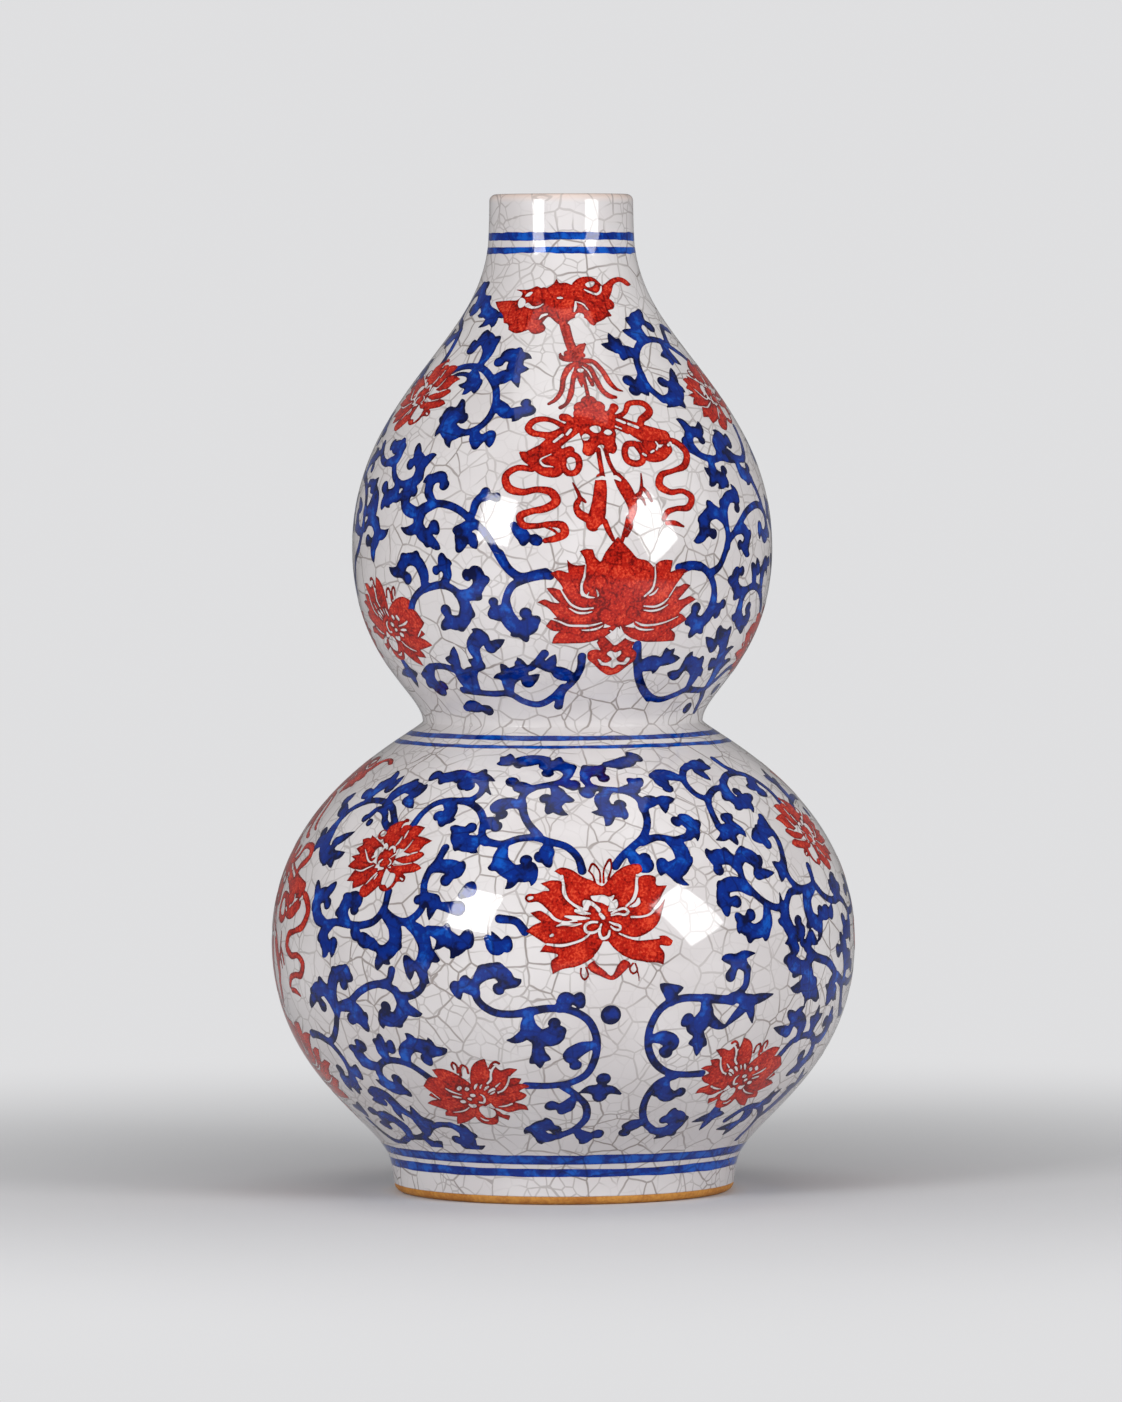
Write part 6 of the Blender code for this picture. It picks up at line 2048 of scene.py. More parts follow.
LOWER_CENTRE = [
    ("vine", (-6.3, 32), (-7.2, 35.6), (-10.4, 39.3), (-16.7, 41.5), (-22.2, 42.9), (-26.7, 42.5),
     (-33.1, 40.6), (-38.5, 41.5)),
    ("vine", (-20.4, 43.4), (-25.4, 49.3), (-27.6, 54.7)),
    ("leaf", ((-28, 54.3), (-33.1, 55.2), (-36.4, 53.4), (-34.5, 51.1)), ((-38.2, 54.6),)),
    ("leaf", ((-17.6, 40), (-17.8, 37.4), (-19.5, 36.5)), ((-16.3, 33.4),)),
    ("leaf", ((-31.6, 40.4), (-32.2, 35), (-27.6, 31.4), (-22.9, 32.4), (-24, 35.2)),
     ((-36, 32.9), (-29.9, 26.5), (-22, 27.5)), 2.6),
    ("vine", (4.2, 33.4), (6.9, 36.5), (10.5, 39.3), (15.1, 43), (17.8, 48.4), (17.8, 53.8)),
    ("leaf", ((9.8, 38.2), (11.3, 34.9), (14.4, 33.9), (14.2, 35.6)), ()),
    ("vine", (14.2, 41), (19.6, 42.5), (26, 41.5), (31.5, 42.5)),
    ("leaf", ((31.5, 42.5), (34.2, 45.4), (32, 48.4), (28.9, 47.9)), ((37.8, 47.5), (34.4, 41))),
    ("leaf", ((23.3, 41.8), (26.9, 38.6), (27, 34.2), (22.8, 32), (19.8, 33.8)),
     ((30.6, 35.6), (27.4, 27), (18.6, 30.2)), 2.6),
    ("vine", (-23.5, 13.8), (-25.8, 16.5), (-31.3, 17.5)),
    ("leaf", ((-34.6, 11.6), (-31.6, 9), (-29, 9.5)), ((-33.4, 13.6), (-28.6, 12.4))),
    ("leaf", ((-44, 9), (-41, 11.6)), ((-40.4, 14), (-43.6, 6.6))),
    ("vine", (-22.2, -9.8), (-27.6, -10.7), (-34, -9.8), (-38.1, -6.2), (-38.5, -1.6)),
    ("leaf", ((-38.5, -1.6), (-35.8, 1.5), (-31.3, 2), (-29.2, -0.9), (-31.3, -3)),
     ((-32.2, 4.5), (-24.7, -0.3), (-37.4, 3.2))),
    ("leaf", ((-38.3, -4.4), (-41.6, -2.2), (-44.6, -2.8)), ((-43.4, -6.4), (-41, 0.4))),
    ("vine", (-22.2, -9.8), (-16.7, -8.9), (-10.4, -9.4), (-4.9, -12.5), (-2.2, -18), (-2.2, -24.4),
     (-4.9, -30.7), (-9.5, -33.5), (-16.7, -34.8), (-24.9, -34.8)),
    ("leaf", ((-13.4, -8.9), (-11.3, -6.2), (-7.8, -6.4)), ((-13.4, -5.4), (-6.6, -8.5), (-7, -4.4))),
    ("leaf", ((-22.6, -10.6), (-22.6, -15.3), (-19, -18), (-14.6, -16.4), (-15, -13.6)),
     ((-29.7, -18.9), (-12, -15.6)), 2.7),
    ("leaf", ((-20.4, -18), (-20, -24)), ((-23, -26.6), (-19.9, -28.2), (-16.5, -25.2))),
    ("leaf", ((-2.8, -20.3), (-7.6, -22.1), (-9.9, -24.4), (-8.5, -27.1)), ((-11.4, -23.2),)),
    ("dot", (1.9, -11), 3.0),
    ("dot", (1.0, -32.4), 2.2),
    ("stroke", (-6.4, -37.4, 0.4), (-3.0, -36.4, 1.7), (0.4, -37.0, 2.2), (3.8, -36.6, 1.7),
     (7.6, -38.2, 0.5)),
    ("stroke", (0.4, -36.0, 2.0), (0.2, -39.8, 1.7), (-0.2, -40.6, 0.6)),
    ("vine", (-12.2, -35.3), (-7.6, -38.9), (-4.2, -43), (-3.7, -48), (-7.6, -53), (-14.9, -56.4)),
    ("leaf", ((-14.9, -56.4), (-21, -56.6), (-23.4, -53.4), (-19, -51.6), (-15.8, -53.2)),
     ((-28.5, -55.3), (-19.5, -48.3), (-22.2, -59.8))),
    ("leaf", ((-7, -54), (-3, -56.6), (1.6, -55.6)), ((3, -54.4), (-5.4, -59.6))),
    ("leaf", ((-9, -40), (-12, -43.6), (-16.4, -42.8)), ((-18.7, -43.8), (-13.4, -46))),
    ("vine", (41.5, -8), (36, -7.1), (30.5, -6.6), (23.3, -6.6), (17.8, -8.9), (14.6, -14.4), (14.6, -21.6),
     (17.8, -27.1), (23.3, -30.7), (28.7, -31.6), (36, -31.6)),
    ("leaf", ((20.5, -7.4), (19.8, -4.2)), ((16.7, -2.1), (23.9, -3.3))),
    ("leaf", ((31.5, -7.4), (32.4, -11.6), (28.9, -15.3), (26.5, -13)), ((40.5, -15.7), (24.8, -14.8)),
     2.6),
    ("leaf", ((30.2, -15.6), (31.5, -20)), ((34.4, -21.6), (31.9, -25), (28.1, -20.7))),
    ("leaf", ((15.1, -18.9), (19.4, -18.6), (22.2, -20.9), (21, -23.5)), ((18.6, -22.4),)),
    ("vine", (26, -32.1), (20.5, -34.4), (17.8, -39.8), (17.8, -45.3), (20.5, -50.7), (26, -54.8)),
    ("leaf", ((26, -54.8), (32.6, -55), (35.6, -51.6), (31.5, -48.9), (28.9, -49.8)),
     ((31, -45.1), (38.9, -49.6), (36.9, -57.3), (28, -58.4)), 2.6),
    ("leaf", ((19.6, -50.8), (15, -52.4), (13.3, -55)), ((12.2, -51.6),)),
    ("leaf", ((23.3, -34), (23.3, -37.4), (26.4, -39.8), (30.1, -38.5)), ((19.4, -38.2),)),
]

LOWER_RIGHT_LOW = [
    ("vine", (-9.3, 2.7), (-6, 6.8), (-1, 8.5), (4, 8.5), (9, 5.6)),
    ("leaf", ((9, 5.6), (10.2, 0.6), (6.6, -2.4), (4, 1.6)), ((1.7, -5.4), (14.4, 1.4), (10.4, -4.8))),
    ("leaf", ((-3.5, 7.7), (-3.6, 12.2), (-8.0, 14.4), (-10, 10.6)),
     ((-16.8, 12.3), (-12.3, 17.2), (-4.8, 18.2))),
    ("leaf", ((3.2, 8.5), (3.4, 12.6)), ((0.0, 14.6), (3.6, 18.0), (7.2, 15.0))),
    ("leaf", ((8.4, 6.2), (14, 7.6), (14.6, 12.0), (11.5, 12.3)), ((18.6, 11.4), (13.6, 16.6))),
    ("leaf", ((-25.6, -15.3), (-25.2, -19.4)), ((-33, -22), (-20, -19.4), (-26.8, -26.0))),
    ("vine", (-16, -22.3), (-10.2, -17.8), (-5.2, -17), (0.7, -18.6), (5.7, -22.3), (7.3, -27.3),
     (5.7, -32.3)),
    ("leaf", ((-8.6, -17.4), (-5.2, -22.2), (-8.0, -25.0)), ((-17.4, -26.4), (-10.3, -29.4))),
    ("leaf", ((-2.6, -17.4), (1.2, -15.4)), ((0.7, -11.4), (5.8, -11.2), (5.4, -16.6))),
    ("leaf", ((6.6, -23.6), (11.6, -17.6), (15.4, -12.0), (18.2, -10.2)),
     ((14, -4.0), (22.3, -6), (10.0, -11.2))),
    ("vine", (-6.8, 36), (-1, 32.7), (4.8, 31), (11.5, 26.8), (17.3, 24.3), (20.7, 17.7), (24.8, 13.5)),
    ("leaf", ((-6, 33.2), (-4.3, 26.0)), ((-12.7, 24.3), (2.3, 20.2), (-5.2, 18.6))),
    ("leaf", ((10.4, 27.4), (10, 22)), ((5, 24), (8, 17.5), (15, 19.0))),
    ("vine", (-43, 23), (-36, 22.5), (-30.5, 26), (-30, 31)),
    ("leaf", ((-30, 31), (-33.4, 33.6), (-35.5, 29.4)), ((-38.4, 34.4), (-27.6, 35.6))),
    ("leaf", ((-34.4, 23.2), (-28.6, 21.4)), ((-20, 23), (-26, 14.5), (-33.4, 15.6), (-36, 13.4))),
]

LOWER_LEFT = [
    ("vine", (16, 23.8), (13.5, 26.7), (10.2, 30), (6, 31.7), (1, 32.5), (-4, 32.3), (-9, 30.7),
     (-13.2, 28.3), (-16.1, 24.6)),
    ("leaf", ((-16.1, 24.6), (-17, 19.5), (-15.2, 14.2), (-10.6, 12.6), (-10.2, 16.8)),
     ((-2.3, 20.8), (-2.3, 13.8), (-6.5, 8.8), (-11.9, 9.2)), 2.7),
    ("leaf", ((-17.5, 18.6), (-21.4, 16.8), (-22.4, 19.6)), ((-21.7, 13.3),)),
    ("leaf", ((-15.3, 27.1), (-19.6, 28.2), (-22.2, 31.2)), ((-19.8, 34.6), (-24.2, 32.4))),
    ("leaf", ((-7.3, 32.5), (-5.4, 37.4), (-2.0, 39.8), (1, 37.5)),
     ((-3.6, 44.8), (3.7, 42.9), (-8, 39.4))),
    ("leaf", ((-6.5, 34.4), (-10.7, 34.8)), ((-13, 35.8),)),
    ("leaf", ((6, 32.1), (6.8, 35.4), (10.4, 38), (17, 36.4), (15.2, 33.3)),
     ((13.1, 41.8), (19.8, 39.8), (19.8, 30.4))),
    ("vine", (13.5, 22.9), (10.2, 25), (8.5, 27.5), (6, 29), (2.7, 29.2), (1, 27)),
    ("dot", (-0.8, 25.8), 1.5),
    ("dot", (2.8, 24.4), 1.4),
    ("vine", (38.9, 16.8), (37.3, 12.5), (35.2, 9.2), (34.3, 5), (34.8, 1.7), (34.8, -1.7), (32.7, -4.6),
     (29.3, -6.3), (25.2, -5.4), (21.4, -3.2)),
    ("leaf", ((35.6, 9.8), (40.2, 10.9), (44.4, 9.4), (41.4, 6.6)), ((46, 12.6),)),
    ("leaf", ((34.8, 1.7), (38.2, 0.2)), ((40.4, -1.6), (37.4, -5.4))),
    ("dot", (33.0, 0.4), 1.5),
    ("vine", (22.1, 2.5), (21.4, -2.5), (18.5, -6.3), (13.5, -7.9), (7.7, -7.9), (2.7, -7.5), (-2.3, -8.3)),
    ("leaf", ((-2.3, -8.3), (-7, -6.4), (-8.8, -1.6), (-5.4, 0.2), (-3.2, -2.1)),
     ((-11.5, 4.4), (-1.1, 4.4), (-11, -4.6))),
    ("leaf", ((8, -7.7), (5, -4.4), (6.4, -1), (10.2, -1), (9.8, -3.2)),
     ((3.9, 0.4), (11.4, 1), (1.8, -5.4))),
    ("leaf", ((0.8, -8), (-3.2, -11.3), (-1.6, -14.4), (1.8, -13.8)),
     ((-5.8, -12.9), (-3.4, -17.9), (1, -17.9))),
    ("leaf", ((22, -4.8), (26, -8.3), (26.2, -12.6), (22.4, -15.6), (18, -13.2)),
     ((20, -20.8), (24.6, -18.8), (28.6, -13.3))),
    ("leaf", ((17.8, -13), (14.3, -12.1), (11.6, -10.8)), ((9.4, -9.4),)),
    ("leaf", ((30.2, -6.7), (34.6, -9.4), (36.6, -14), (35, -19), (31.4, -19)),
     ((41.2, -17.2), (29.8, -16.2), (31.4, -23.3), (37.7, -24))),
    ("vine", (36, -21.5), (35.4, -25), (32, -27.8), (27.7, -28.3)),
    ("vine", (-18.2, -42.5), (-14, -43.3), (-9, -44.6), (-5.7, -43.3), (-2.3, -40), (0.2, -35.8),
     (2.7, -32.5), (7.7, -30.8), (12.7, -27.5), (17.7, -25.4), (21.8, -25), (26, -26.7)),
    ("leaf", ((26, -26.7), (28.2, -31), (25, -35.4), (20.8, -34.6), (21.8, -32)),
     ((19.5, -38.6), (26.8, -37.4), (34.4, -33.4))),
    ("vine", (21.6, -25), (24.2, -23.6), (25.2, -20.7)),
    ("leaf", ((1.2, -33.4), (0.1, -27.6), (2.6, -23.2), (7, -23), (6, -25.6)),
     ((7, -19.8), (9.6, -24.2), (0.8, -21.4))),
    ("leaf", ((0.2, -35), (-0.9, -30.6), (-4, -27.8), (-8.8, -29.4), (-6.1, -33)),
     ((-5.7, -24.3), (-11.4, -28.2), (-13.4, -34))),
    ("leaf", ((3.4, -33), (8, -32.4), (11, -36), (6.8, -36.3)), ((13.8, -34), (12.8, -39.8))),
]

LOWER_LEFT_LOW = [
    ("vine", (-20.6, 8.9), (-16.8, 9.3), (-12.7, 8.1), (-9.3, 5.2), (-7.3, 1), (-7.3, -3.2)),
    ("leaf", ((-7.3, -3.2), (-9.6, -7), (-14, -6.4), (-13.1, -2.8)),
     ((-14.8, -11.5), (-11.2, -11.9), (-7.4, -9.6))),
    ("leaf", ((-7.4, -2.4), (-4.2, -3.2)), ((-2.3, -0.2), (-3.1, -5.6))),
    ("vine", (26.9, -4), (24, -1.1), (20.7, 1.4), (16.5, 2.5), (12.3, 2.3), (8.6, 0.2), (6.9, -2.8)),
    ("leaf", ((6.9, -2.8), (8, -6.6), (12.4, -7.8), (13.2, -4.4)), ((15.5, -10.9), (3.8, -5.2), (9, -9.2))),
    ("leaf", ((8.2, 0.2), (3.6, 0.8), (1.8, 4.6), (4.4, 6.8)), ((-1.6, 5.8), (2.2, 8.6), (0.8, 0.2))),
    ("leaf", ((12.8, 2.7), (12.6, 6.6), (15.6, 6.8)), ((13, 11.2), (16.6, 9.4), (9.8, 9))),
    ("leaf", ((20.3, 1.8), (20.4, 5.6), (24, 8.2), (29, 6.4), (27.3, 3.9)),
     ((22.3, 11.9), (29.4, 10.8), (34.6, 7.4), (28.2, 1.6))),
    ("vine", (-23.5, -24), (-21, -29), (-16.8, -31.9), (-11, -32.8), (-6, -31.5), (-1, -29.8), (5.7, -29.4),
     (11.5, -27.3), (15.7, -24.4), (20.7, -22.8), (25.7, -22.8)),
    ("leaf", ((25.7, -22.8), (30, -26.2), (28, -31.4), (24.8, -29.4)),
     ((35.9, -31.6), (34.2, -27), (30, -21.6))),
    ("leaf", ((-25.2, -18.6), (-21, -19.6)), ((-18, -15.9), (-21, -22.6))),
    ("leaf", ((-0.6, -29.8), (0.7, -25.7), (-2.6, -21.8), (-8.5, -22.3), (-10.2, -25.3)),
     ((-14.4, -24.6), (-3.8, -18.9))),
    ("dot", (-11.4, -19.2), 1.9),
    ("dot", (-13.4, -19.6), 1.5),
    ("leaf", ((10.7, -27.3), (12.3, -21.5)), ((12.5, -15.1), (18.6, -21.4), (8, -17)), 3.0),
    ("leaf", ((9.6, -20), (5.7, -15.7), (3.6, -11.4), (-1.2, -11.2), (-0.4, -14.2)),
     ((-5.4, -14), (-4.2, -10.8), (3.6, -22.2))),
    ("leaf", ((8, -29.6), (11.5, -33)), ((16.3, -30.6), (15.4, -35))),
]

LOWER_RIGHT = [
    ("vine", (8.5, 30.4), (8.5, 34.2), (6, 38.3), (2.7, 41.3), (-2.3, 42.9), (-8.2, 43.3), (-13.2, 42.5),
     (-18.2, 40)),
    ("leaf", ((-18.2, 40), (-20.6, 35.6), (-18.4, 31.8), (-13.8, 32.6), (-14.7, 35.4)),
     ((-24.6, 33.3), (-21.6, 29.4), (-13.6, 27.7), (-7.6, 34.2))),
    ("vine", (-20.3, 37.5), (-24.8, 37.5), (-29, 35.8), (-32.3, 33.3), (-33.6, 28.3), (-33.6, 23.3)),
    ("leaf", ((-33.6, 23.3), (-31.4, 21.8), (-27.6, 23.2), (-28.8, 26)),
     ((-36.7, 18.8), (-29, 16.9), (-23.8, 19.4), (-25.2, 27.3))),
    ("vine", (-32.3, 33.3), (-36.5, 35.8), (-38.2, 40.8), (-34.8, 45.8), (-30.5, 47.6)),
    ("leaf", ((-30.5, 47.6), (-24, 47.4), (-27.3, 45)), ((-18.8, 46.6), (-24.4, 41.1), (-20, 50.5))),
    ("leaf", ((2.7, 40.8), (-0.2, 37.8), (1.6, 34.8)), ((-6, 37.8), (-2.4, 34.2))),
    ("vine", (-10.7, 50), (-8.6, 46.4), (-5, 44)),
    ("vine", (17, 28), (20, 30), (24, 31), (29, 31.5), (34, 31)),
    ("leaf", ((21.6, 30.8), (22.4, 35.4), (21, 38.4)), ((24, 44), (28, 39), (17, 41))),
    ("dot", (31, 25.5)),
    ("vine", (-10.8, 25.8), (-10.2, 22), (-9, 18.3), (-9.8, 13.3), (-11.1, 10), (-10.7, 5), (-7.3, 2.1),
     (-2.3, 1.8), (1.4, 2.9), (2.3, 8.3)),
    ("leaf", ((-9.6, 20.4), (-14, 20.6), (-18, 19), (-15.3, 16.7)),
     ((-20.8, 18.8), (-16.3, 23), (-10.4, 26))),
    ("leaf", ((-11, 10), (-13.2, 8)), ((-16.3, 10.6), (-15, 4.4), (-9.2, 11.6))),
    ("vine", (-7.3, 1.3), (-12.3, 0.8), (-15.3, -2.5)),
    ("leaf", ((-15.3, -2.5), (-16.4, -7), (-13.6, -11.2), (-9.8, -10.6), (-10.7, -7.9)),
     ((-17.5, -14), (-19.8, -7), (-17.2, 1))),
    ("vine", (-16.5, -3.3), (-19.8, -3.3), (-24, -1.7), (-28.2, 1.7), (-31.1, 5.8), (-31.5, 10)),
    ("leaf", ((-31.5, 10), (-28.6, 13.4), (-23.8, 10.8), (-24.4, 7.2)),
     ((-27.3, 15.9), (-21.2, 13), (-17.3, 7.3))),
    ("leaf", ((-31.6, 8.6), (-34.4, 12.6), (-39.4, 12.4), (-39.4, 9.2)), ((-41.7, 16), (-34.6, 15.9))),
    ("leaf", ((-29.4, 1.7), (-33.4, 4.4), (-39, 3.2), (-39.4, -0.6), (-35.3, -0.8)),
     ((-42.1, -0.6), (-39, -4.8), (-40, 5.6))),
    ("leaf", ((-24, -2.5), (-24.8, -7.8), (-30.4, -9.8), (-33.6, -7.4), (-30.7, -5)),
     ((-35.9, -4.4), (-31.6, -13.1), (-25.8, -12.7), (-35.5, -10.2))),
    ("vine", (2.3, 2.5), (6, -0.8), (10.2, -2.5), (14.3, -2.9), (19.3, -2.5), (22.7, -3.8), (26.8, -6.7),
     (33.5, -6.7), (39, -5.5)),
    ("leaf", ((14.3, -2.9), (19.4, 0.4), (17, 3), (14.8, 0.8)), ((22.8, 0.8), (13.2, 3.2), (20.2, 4.6))),
    ("leaf", ((37, -6), (35, 0.4), (29.3, -0.8)), ((31.6, 3.6), (38, 3))),
    ("leaf", ((26.8, -7.5), (25.6, -11.4), (20.6, -11.6), (19.8, -9.6)),
     ((27, -16), (19, -14.4), (18.2, -7.4))),
    ("leaf", ((1, 1.7), (-4.2, -1.4), (-3.6, -7.2), (0.6, -8.8), (2.3, -5.6)),
     ((-6.8, -9.4), (-1, -14.4), (-6.6, -4.6))),
    ("leaf", ((2.8, -7.2), (6.4, -6), (9.2, -6.6)), ((11, -4.4),)),
    ("vine", (-9.4, -14.2), (-6.5, -15.8), (-4, -18.3), (1, -19.6), (6, -20.8), (10.2, -23.3),
     (14.3, -26.3), (18.5, -28.3), (21.8, -32.5), (26, -36.7), (31, -38.3)),
    ("leaf", ((-7.6, -15), (-4.8, -13)), ((-1.2, -15), (-4.8, -11.2))),
    ("leaf", ((-4, -19), (-10, -21.6), (-14.6, -19), (-12.8, -15.8)),
     ((-18, -19.4), (-13.6, -24), (-15.8, -14.8))),
    ("leaf", ((-6.5, -21.7), (-7.4, -26.4), (-3.4, -28.8), (-2.3, -26.6)),
     ((-14, -27.4), (-5.9, -31), (1.6, -32.3))),
    ("leaf", ((14.3, -25.6), (9.6, -27.6), (10.4, -31.4), (13.2, -30.2)), ((8.2, -33.6), (14.6, -33.2))),
    ("leaf", ((20.6, -28.6), (21, -21.7), (17.8, -16.6), (13.7, -18.2)),
     ((14.9, -13), (11.6, -16.4), (24.8, -18.6))),
    ("leaf", ((21.2, -23), (25.2, -22.2), (29.3, -23.3)), ((25.6, -18.6), (31.4, -25.4))),
    ("vine", (21.6, -27.6), (27, -28.4), (33, -27.4), (38, -26.4)),
]

LOWER_TOP = [
    ("vine", (-19.6, -9.6), (-20, -5.5), (-17.7, -2.5), (-13.1, -0.9), (-9.2, 0.6), (-7.2, 3.2)),
    ("leaf", ((-7.2, 3.2), (-7.3, 5.8), (-9.8, 7.4), (-13, 7), (-13.5, 4.3)),
     ((-9.6, 11.4), (-4.6, 6.8), (-16, 7.6))),
    ("leaf", ((-8.6, -0.4), (-5.9, -1)), ()),
    ("leaf", ((-17.7, -2.5), (-21.2, -1.8), (-23.8, 0.2)), ((-25.4, 1.5),)),
    ("leaf", ((-14.2, 10.6), (-17.7, 10.2), (-23.1, 9.4), (-27, 9.2)),
     ((-27.7, 12.9), (-30.6, 11.4), (-30.8, 8.2), (-22.7, 6.4))),
    ("leaf", ((-11.4, -2), (-10, -5), (-11.4, -8), (-13.5, -6.5)),
     ((-5.8, -7.1), (-7.6, -12.6), (-12.7, -12.1))),
    ("vine", (12.7, -11), (12.3, -7.1), (10, -4.4), (6.2, -3.2), (2, -2.6), (-0.8, -1.4), (-2.3, 1.4)),
    ("leaf", ((-2.3, 1.4), (-1, 4.5), (2, 4.8), (3.5, 2)), ((-2.3, 7.2), (4, 7.6))),
    ("leaf", ((0, -2.4), (-2, -4)), ((-3.9, -2.8), (-1.2, -5.9))),
    ("leaf", ((4.2, -3.6), (1.8, -7), (3.2, -10.6), (6, -11), (6.6, -9)),
     ((-1.2, -11.7), (6.9, -14.4), (1.9, -16.7))),
    ("leaf", ((5.4, 7.9), (10, 8.3), (13.8, 9.5), (16.4, 11)), ((14.2, 13.3), (18.5, 9.5), (8.8, 5.8))),
    ("leaf", ((8.5, -2.9), (11.6, -2.8), (13, -0.8)), ((10.8, 1.4), (15.4, 1.4))),
    ("leaf", ((12.7, -10.2), (15.4, -7.8), (19.2, -7.8)), ((22.7, -7.2), (18.5, -12.5))),
    ("leaf", ((28.7, 0.6), (25.4, 2.4), (21.9, 2.7), (21.5, -0.5), (22.3, -2.8)),
     ((18.5, 1.8), (22.3, 4.4))),
]

LOWER_BETWEEN = [
    ("vine", (-18.1, 20.8), (-16.4, 25.4), (-13.1, 29), (-8.9, 30.4), (-2.4, 30.4), (2.6, 29), (6.1, 26.5),
     (8.3, 22.6), (8.6, 18.6), (10.4, 15.8)),
    ("leaf", ((8, 17), (5.4, 15.4), (2.4, 15.8), (1, 18.4), (4.2, 20.6)),
     ((-3, 20.6), (0.8, 12.8), (8.2, 12.4)), 2.8),
    ("leaf", ((8.8, 22), (11.2, 22.4), (12.9, 21.3)), ()),
    ("leaf", ((-8.5, 29.7), (-5.5, 27), (-6.8, 24.2), (-9.2, 24.7)), ((-2.4, 23.6), (-6.4, 21.2))),
    ("vine", (-2.4, 30.6), (1.2, 31.2), (4, 34), (3.8, 37.6)),
    ("leaf", ((3.8, 37.6), (1.1, 40), (-2.6, 39.6), (-4.4, 37), (-2.2, 36.4)),
     ((2.2, 43.6), (7.8, 38.8), (8, 33.2))),
    ("leaf", ((-3.2, 40.8), (-8.9, 41.2), (-14.6, 40), (-20.4, 40.8)),
     ((-21.9, 38.4), (-15.3, 37), (-8.3, 37.8))),
    ("leaf", ((-4.4, -11.4), (0, -12.8), (4, -15), (7.9, -15)), ((1.4, -9.4), (2.8, -19.6), (-2.2, -17.2))),
    ("leaf", ((-1, -4.4), (4.5, -5)), ()),
    ("leaf", ((5.2, -1), (7.4, 0.6)), ((8.4, 2.9),)),
]

UPPER_SIDE = [
    ("vine", (1, -24), (-3, -18), (-9, -14), (-13, -7), (-11, 0), (-6, 2.6)),
    ("leaf", ((-8, 2), (-3.6, 3.2), (-2.2, -0.8), (-5, -3.6), (-7.4, -1.8)),
     ((0.8, -6), (-0.6, 6), (-6, -8)), 2.1, 1.7),
    ("leaf", ((-12.8, -5.6), (-16, -3.4), (-17.4, 0.4), (-14.6, 2)), ((-20.4, -2.4), (-18.4, 5)), 1.9, 1.6),
    ("leaf", ((-7, -14.8), (-11, -17), (-14.4, -15.6)), ((-12.6, -20.4), (-17.4, -13)), 1.9, 1.6),
    ("vine", (0, -22.5), (4, -15), (10, -10), (13, -3), (12, 5), (6, 10), (-1, 12), (-6, 17), (-6, 23),
     (-3, 26.4)),
    ("leaf", ((-5, 24.6), (-0.6, 28.2), (3, 26), (2.4, 22.4)), ((1.6, 33), (7, 25), (-4.6, 31.6)), 2.1,
     1.7),
    ("leaf", ((11.6, -6), (7.2, -4.6), (5.4, -0.6), (8, 1.6)), ((2.6, -5), (4, 4.4)), 1.9, 1.6),
    ("leaf", ((12.8, 0), (17, 1.4), (19, 6), (15.8, 7.6)), ((22, 2.4), (18.8, 10.8)), 2.0, 1.6),
    ("leaf", ((3, 11), (4.4, 15.4), (8.6, 17), (10, 13.8)), ((13, 19), (5.4, 20)), 2.0, 1.6),
    ("leaf", ((-5, 16), (-10, 15.4), (-13.6, 18.4), (-11.6, 21)), ((-16, 14.4), (-15.4, 22.6)), 2.0, 1.6),
    ("vine", (-5.4, 31), (-7, 37), (-5, 43), (-0.6, 46.6)),
    ("leaf", ((-1.6, 46), (3.4, 48.6), (6.6, 45.4), (4, 42.4)), ((6, 52), (11, 44), (0.4, 51.6)), 2.2, 1.7),
    ("leaf", ((-5.4, 42), (-9.4, 43.4), (-10.4, 47.4)), ((-13.6, 44), (-11.4, 51)), 2.0, 1.6),
]

UPPER_FIELDS = (  # azimuth, height and scrolls; they repeat on the back
    (-38.0, 205.0, UPPER_LEFT),
    (-42.0, 225.0, UPPER_LEFT_TOP),
    (-46.0, 255.0, UPPER_LEFT_NECK),
    (50.0, 205.0, UPPER_RIGHT),
    (52.0, 225.0, UPPER_RIGHT_TOP),
    (-42.0, 180.0, UPPER_LEFT_LOW),
    (55.0, 180.0, UPPER_RIGHT_LOW),
    (16.5, 180.0, LOTUS_STEMS),
    (-83.0, 205.0, UPPER_SIDE),
)
LOTUS_COLUMNS = (8.0, 188.0)  # azimuths of the open lotuses, in front and behind
FRONT_FIELDS = (  # the lower bulb's, with whether they are mirrored
    (LOTUS_COLUMNS[0], 70.0, LOWER_CENTRE, False),
    (LOTUS_COLUMNS[0], 126.0, LOWER_TOP, False),
    (-24.0, 95.0, LOWER_BETWEEN, False),
    (-52.0, 92.0, LOWER_LEFT, False),
    (-50.0, 42.0, LOWER_LEFT_LOW, False),
    (60.0, 92.0, LOWER_RIGHT, False),
    (60.0, 42.0, LOWER_RIGHT_LOW, False),
)
BACK_FIELDS = (
    (LOTUS_COLUMNS[1], 70.0, LOWER_CENTRE, False),
    (LOTUS_COLUMNS[1], 126.0, LOWER_TOP, False),
    (LOTUS_COLUMNS[1] - 50.0, 92.0, LOWER_RIGHT, True),
    (LOTUS_COLUMNS[1] - 52.0, 42.0, LOWER_RIGHT_LOW, True),
    (LOTUS_COLUMNS[1] + 52.0, 92.0, LOWER_RIGHT, False),
    (LOTUS_COLUMNS[1] + 52.0, 42.0, LOWER_RIGHT_LOW, False),
)
LOWER_SIDES = {"front": (-108.0, 112.0, FRONT_FIELDS), "back": (85.0, 305.0, BACK_FIELDS)}


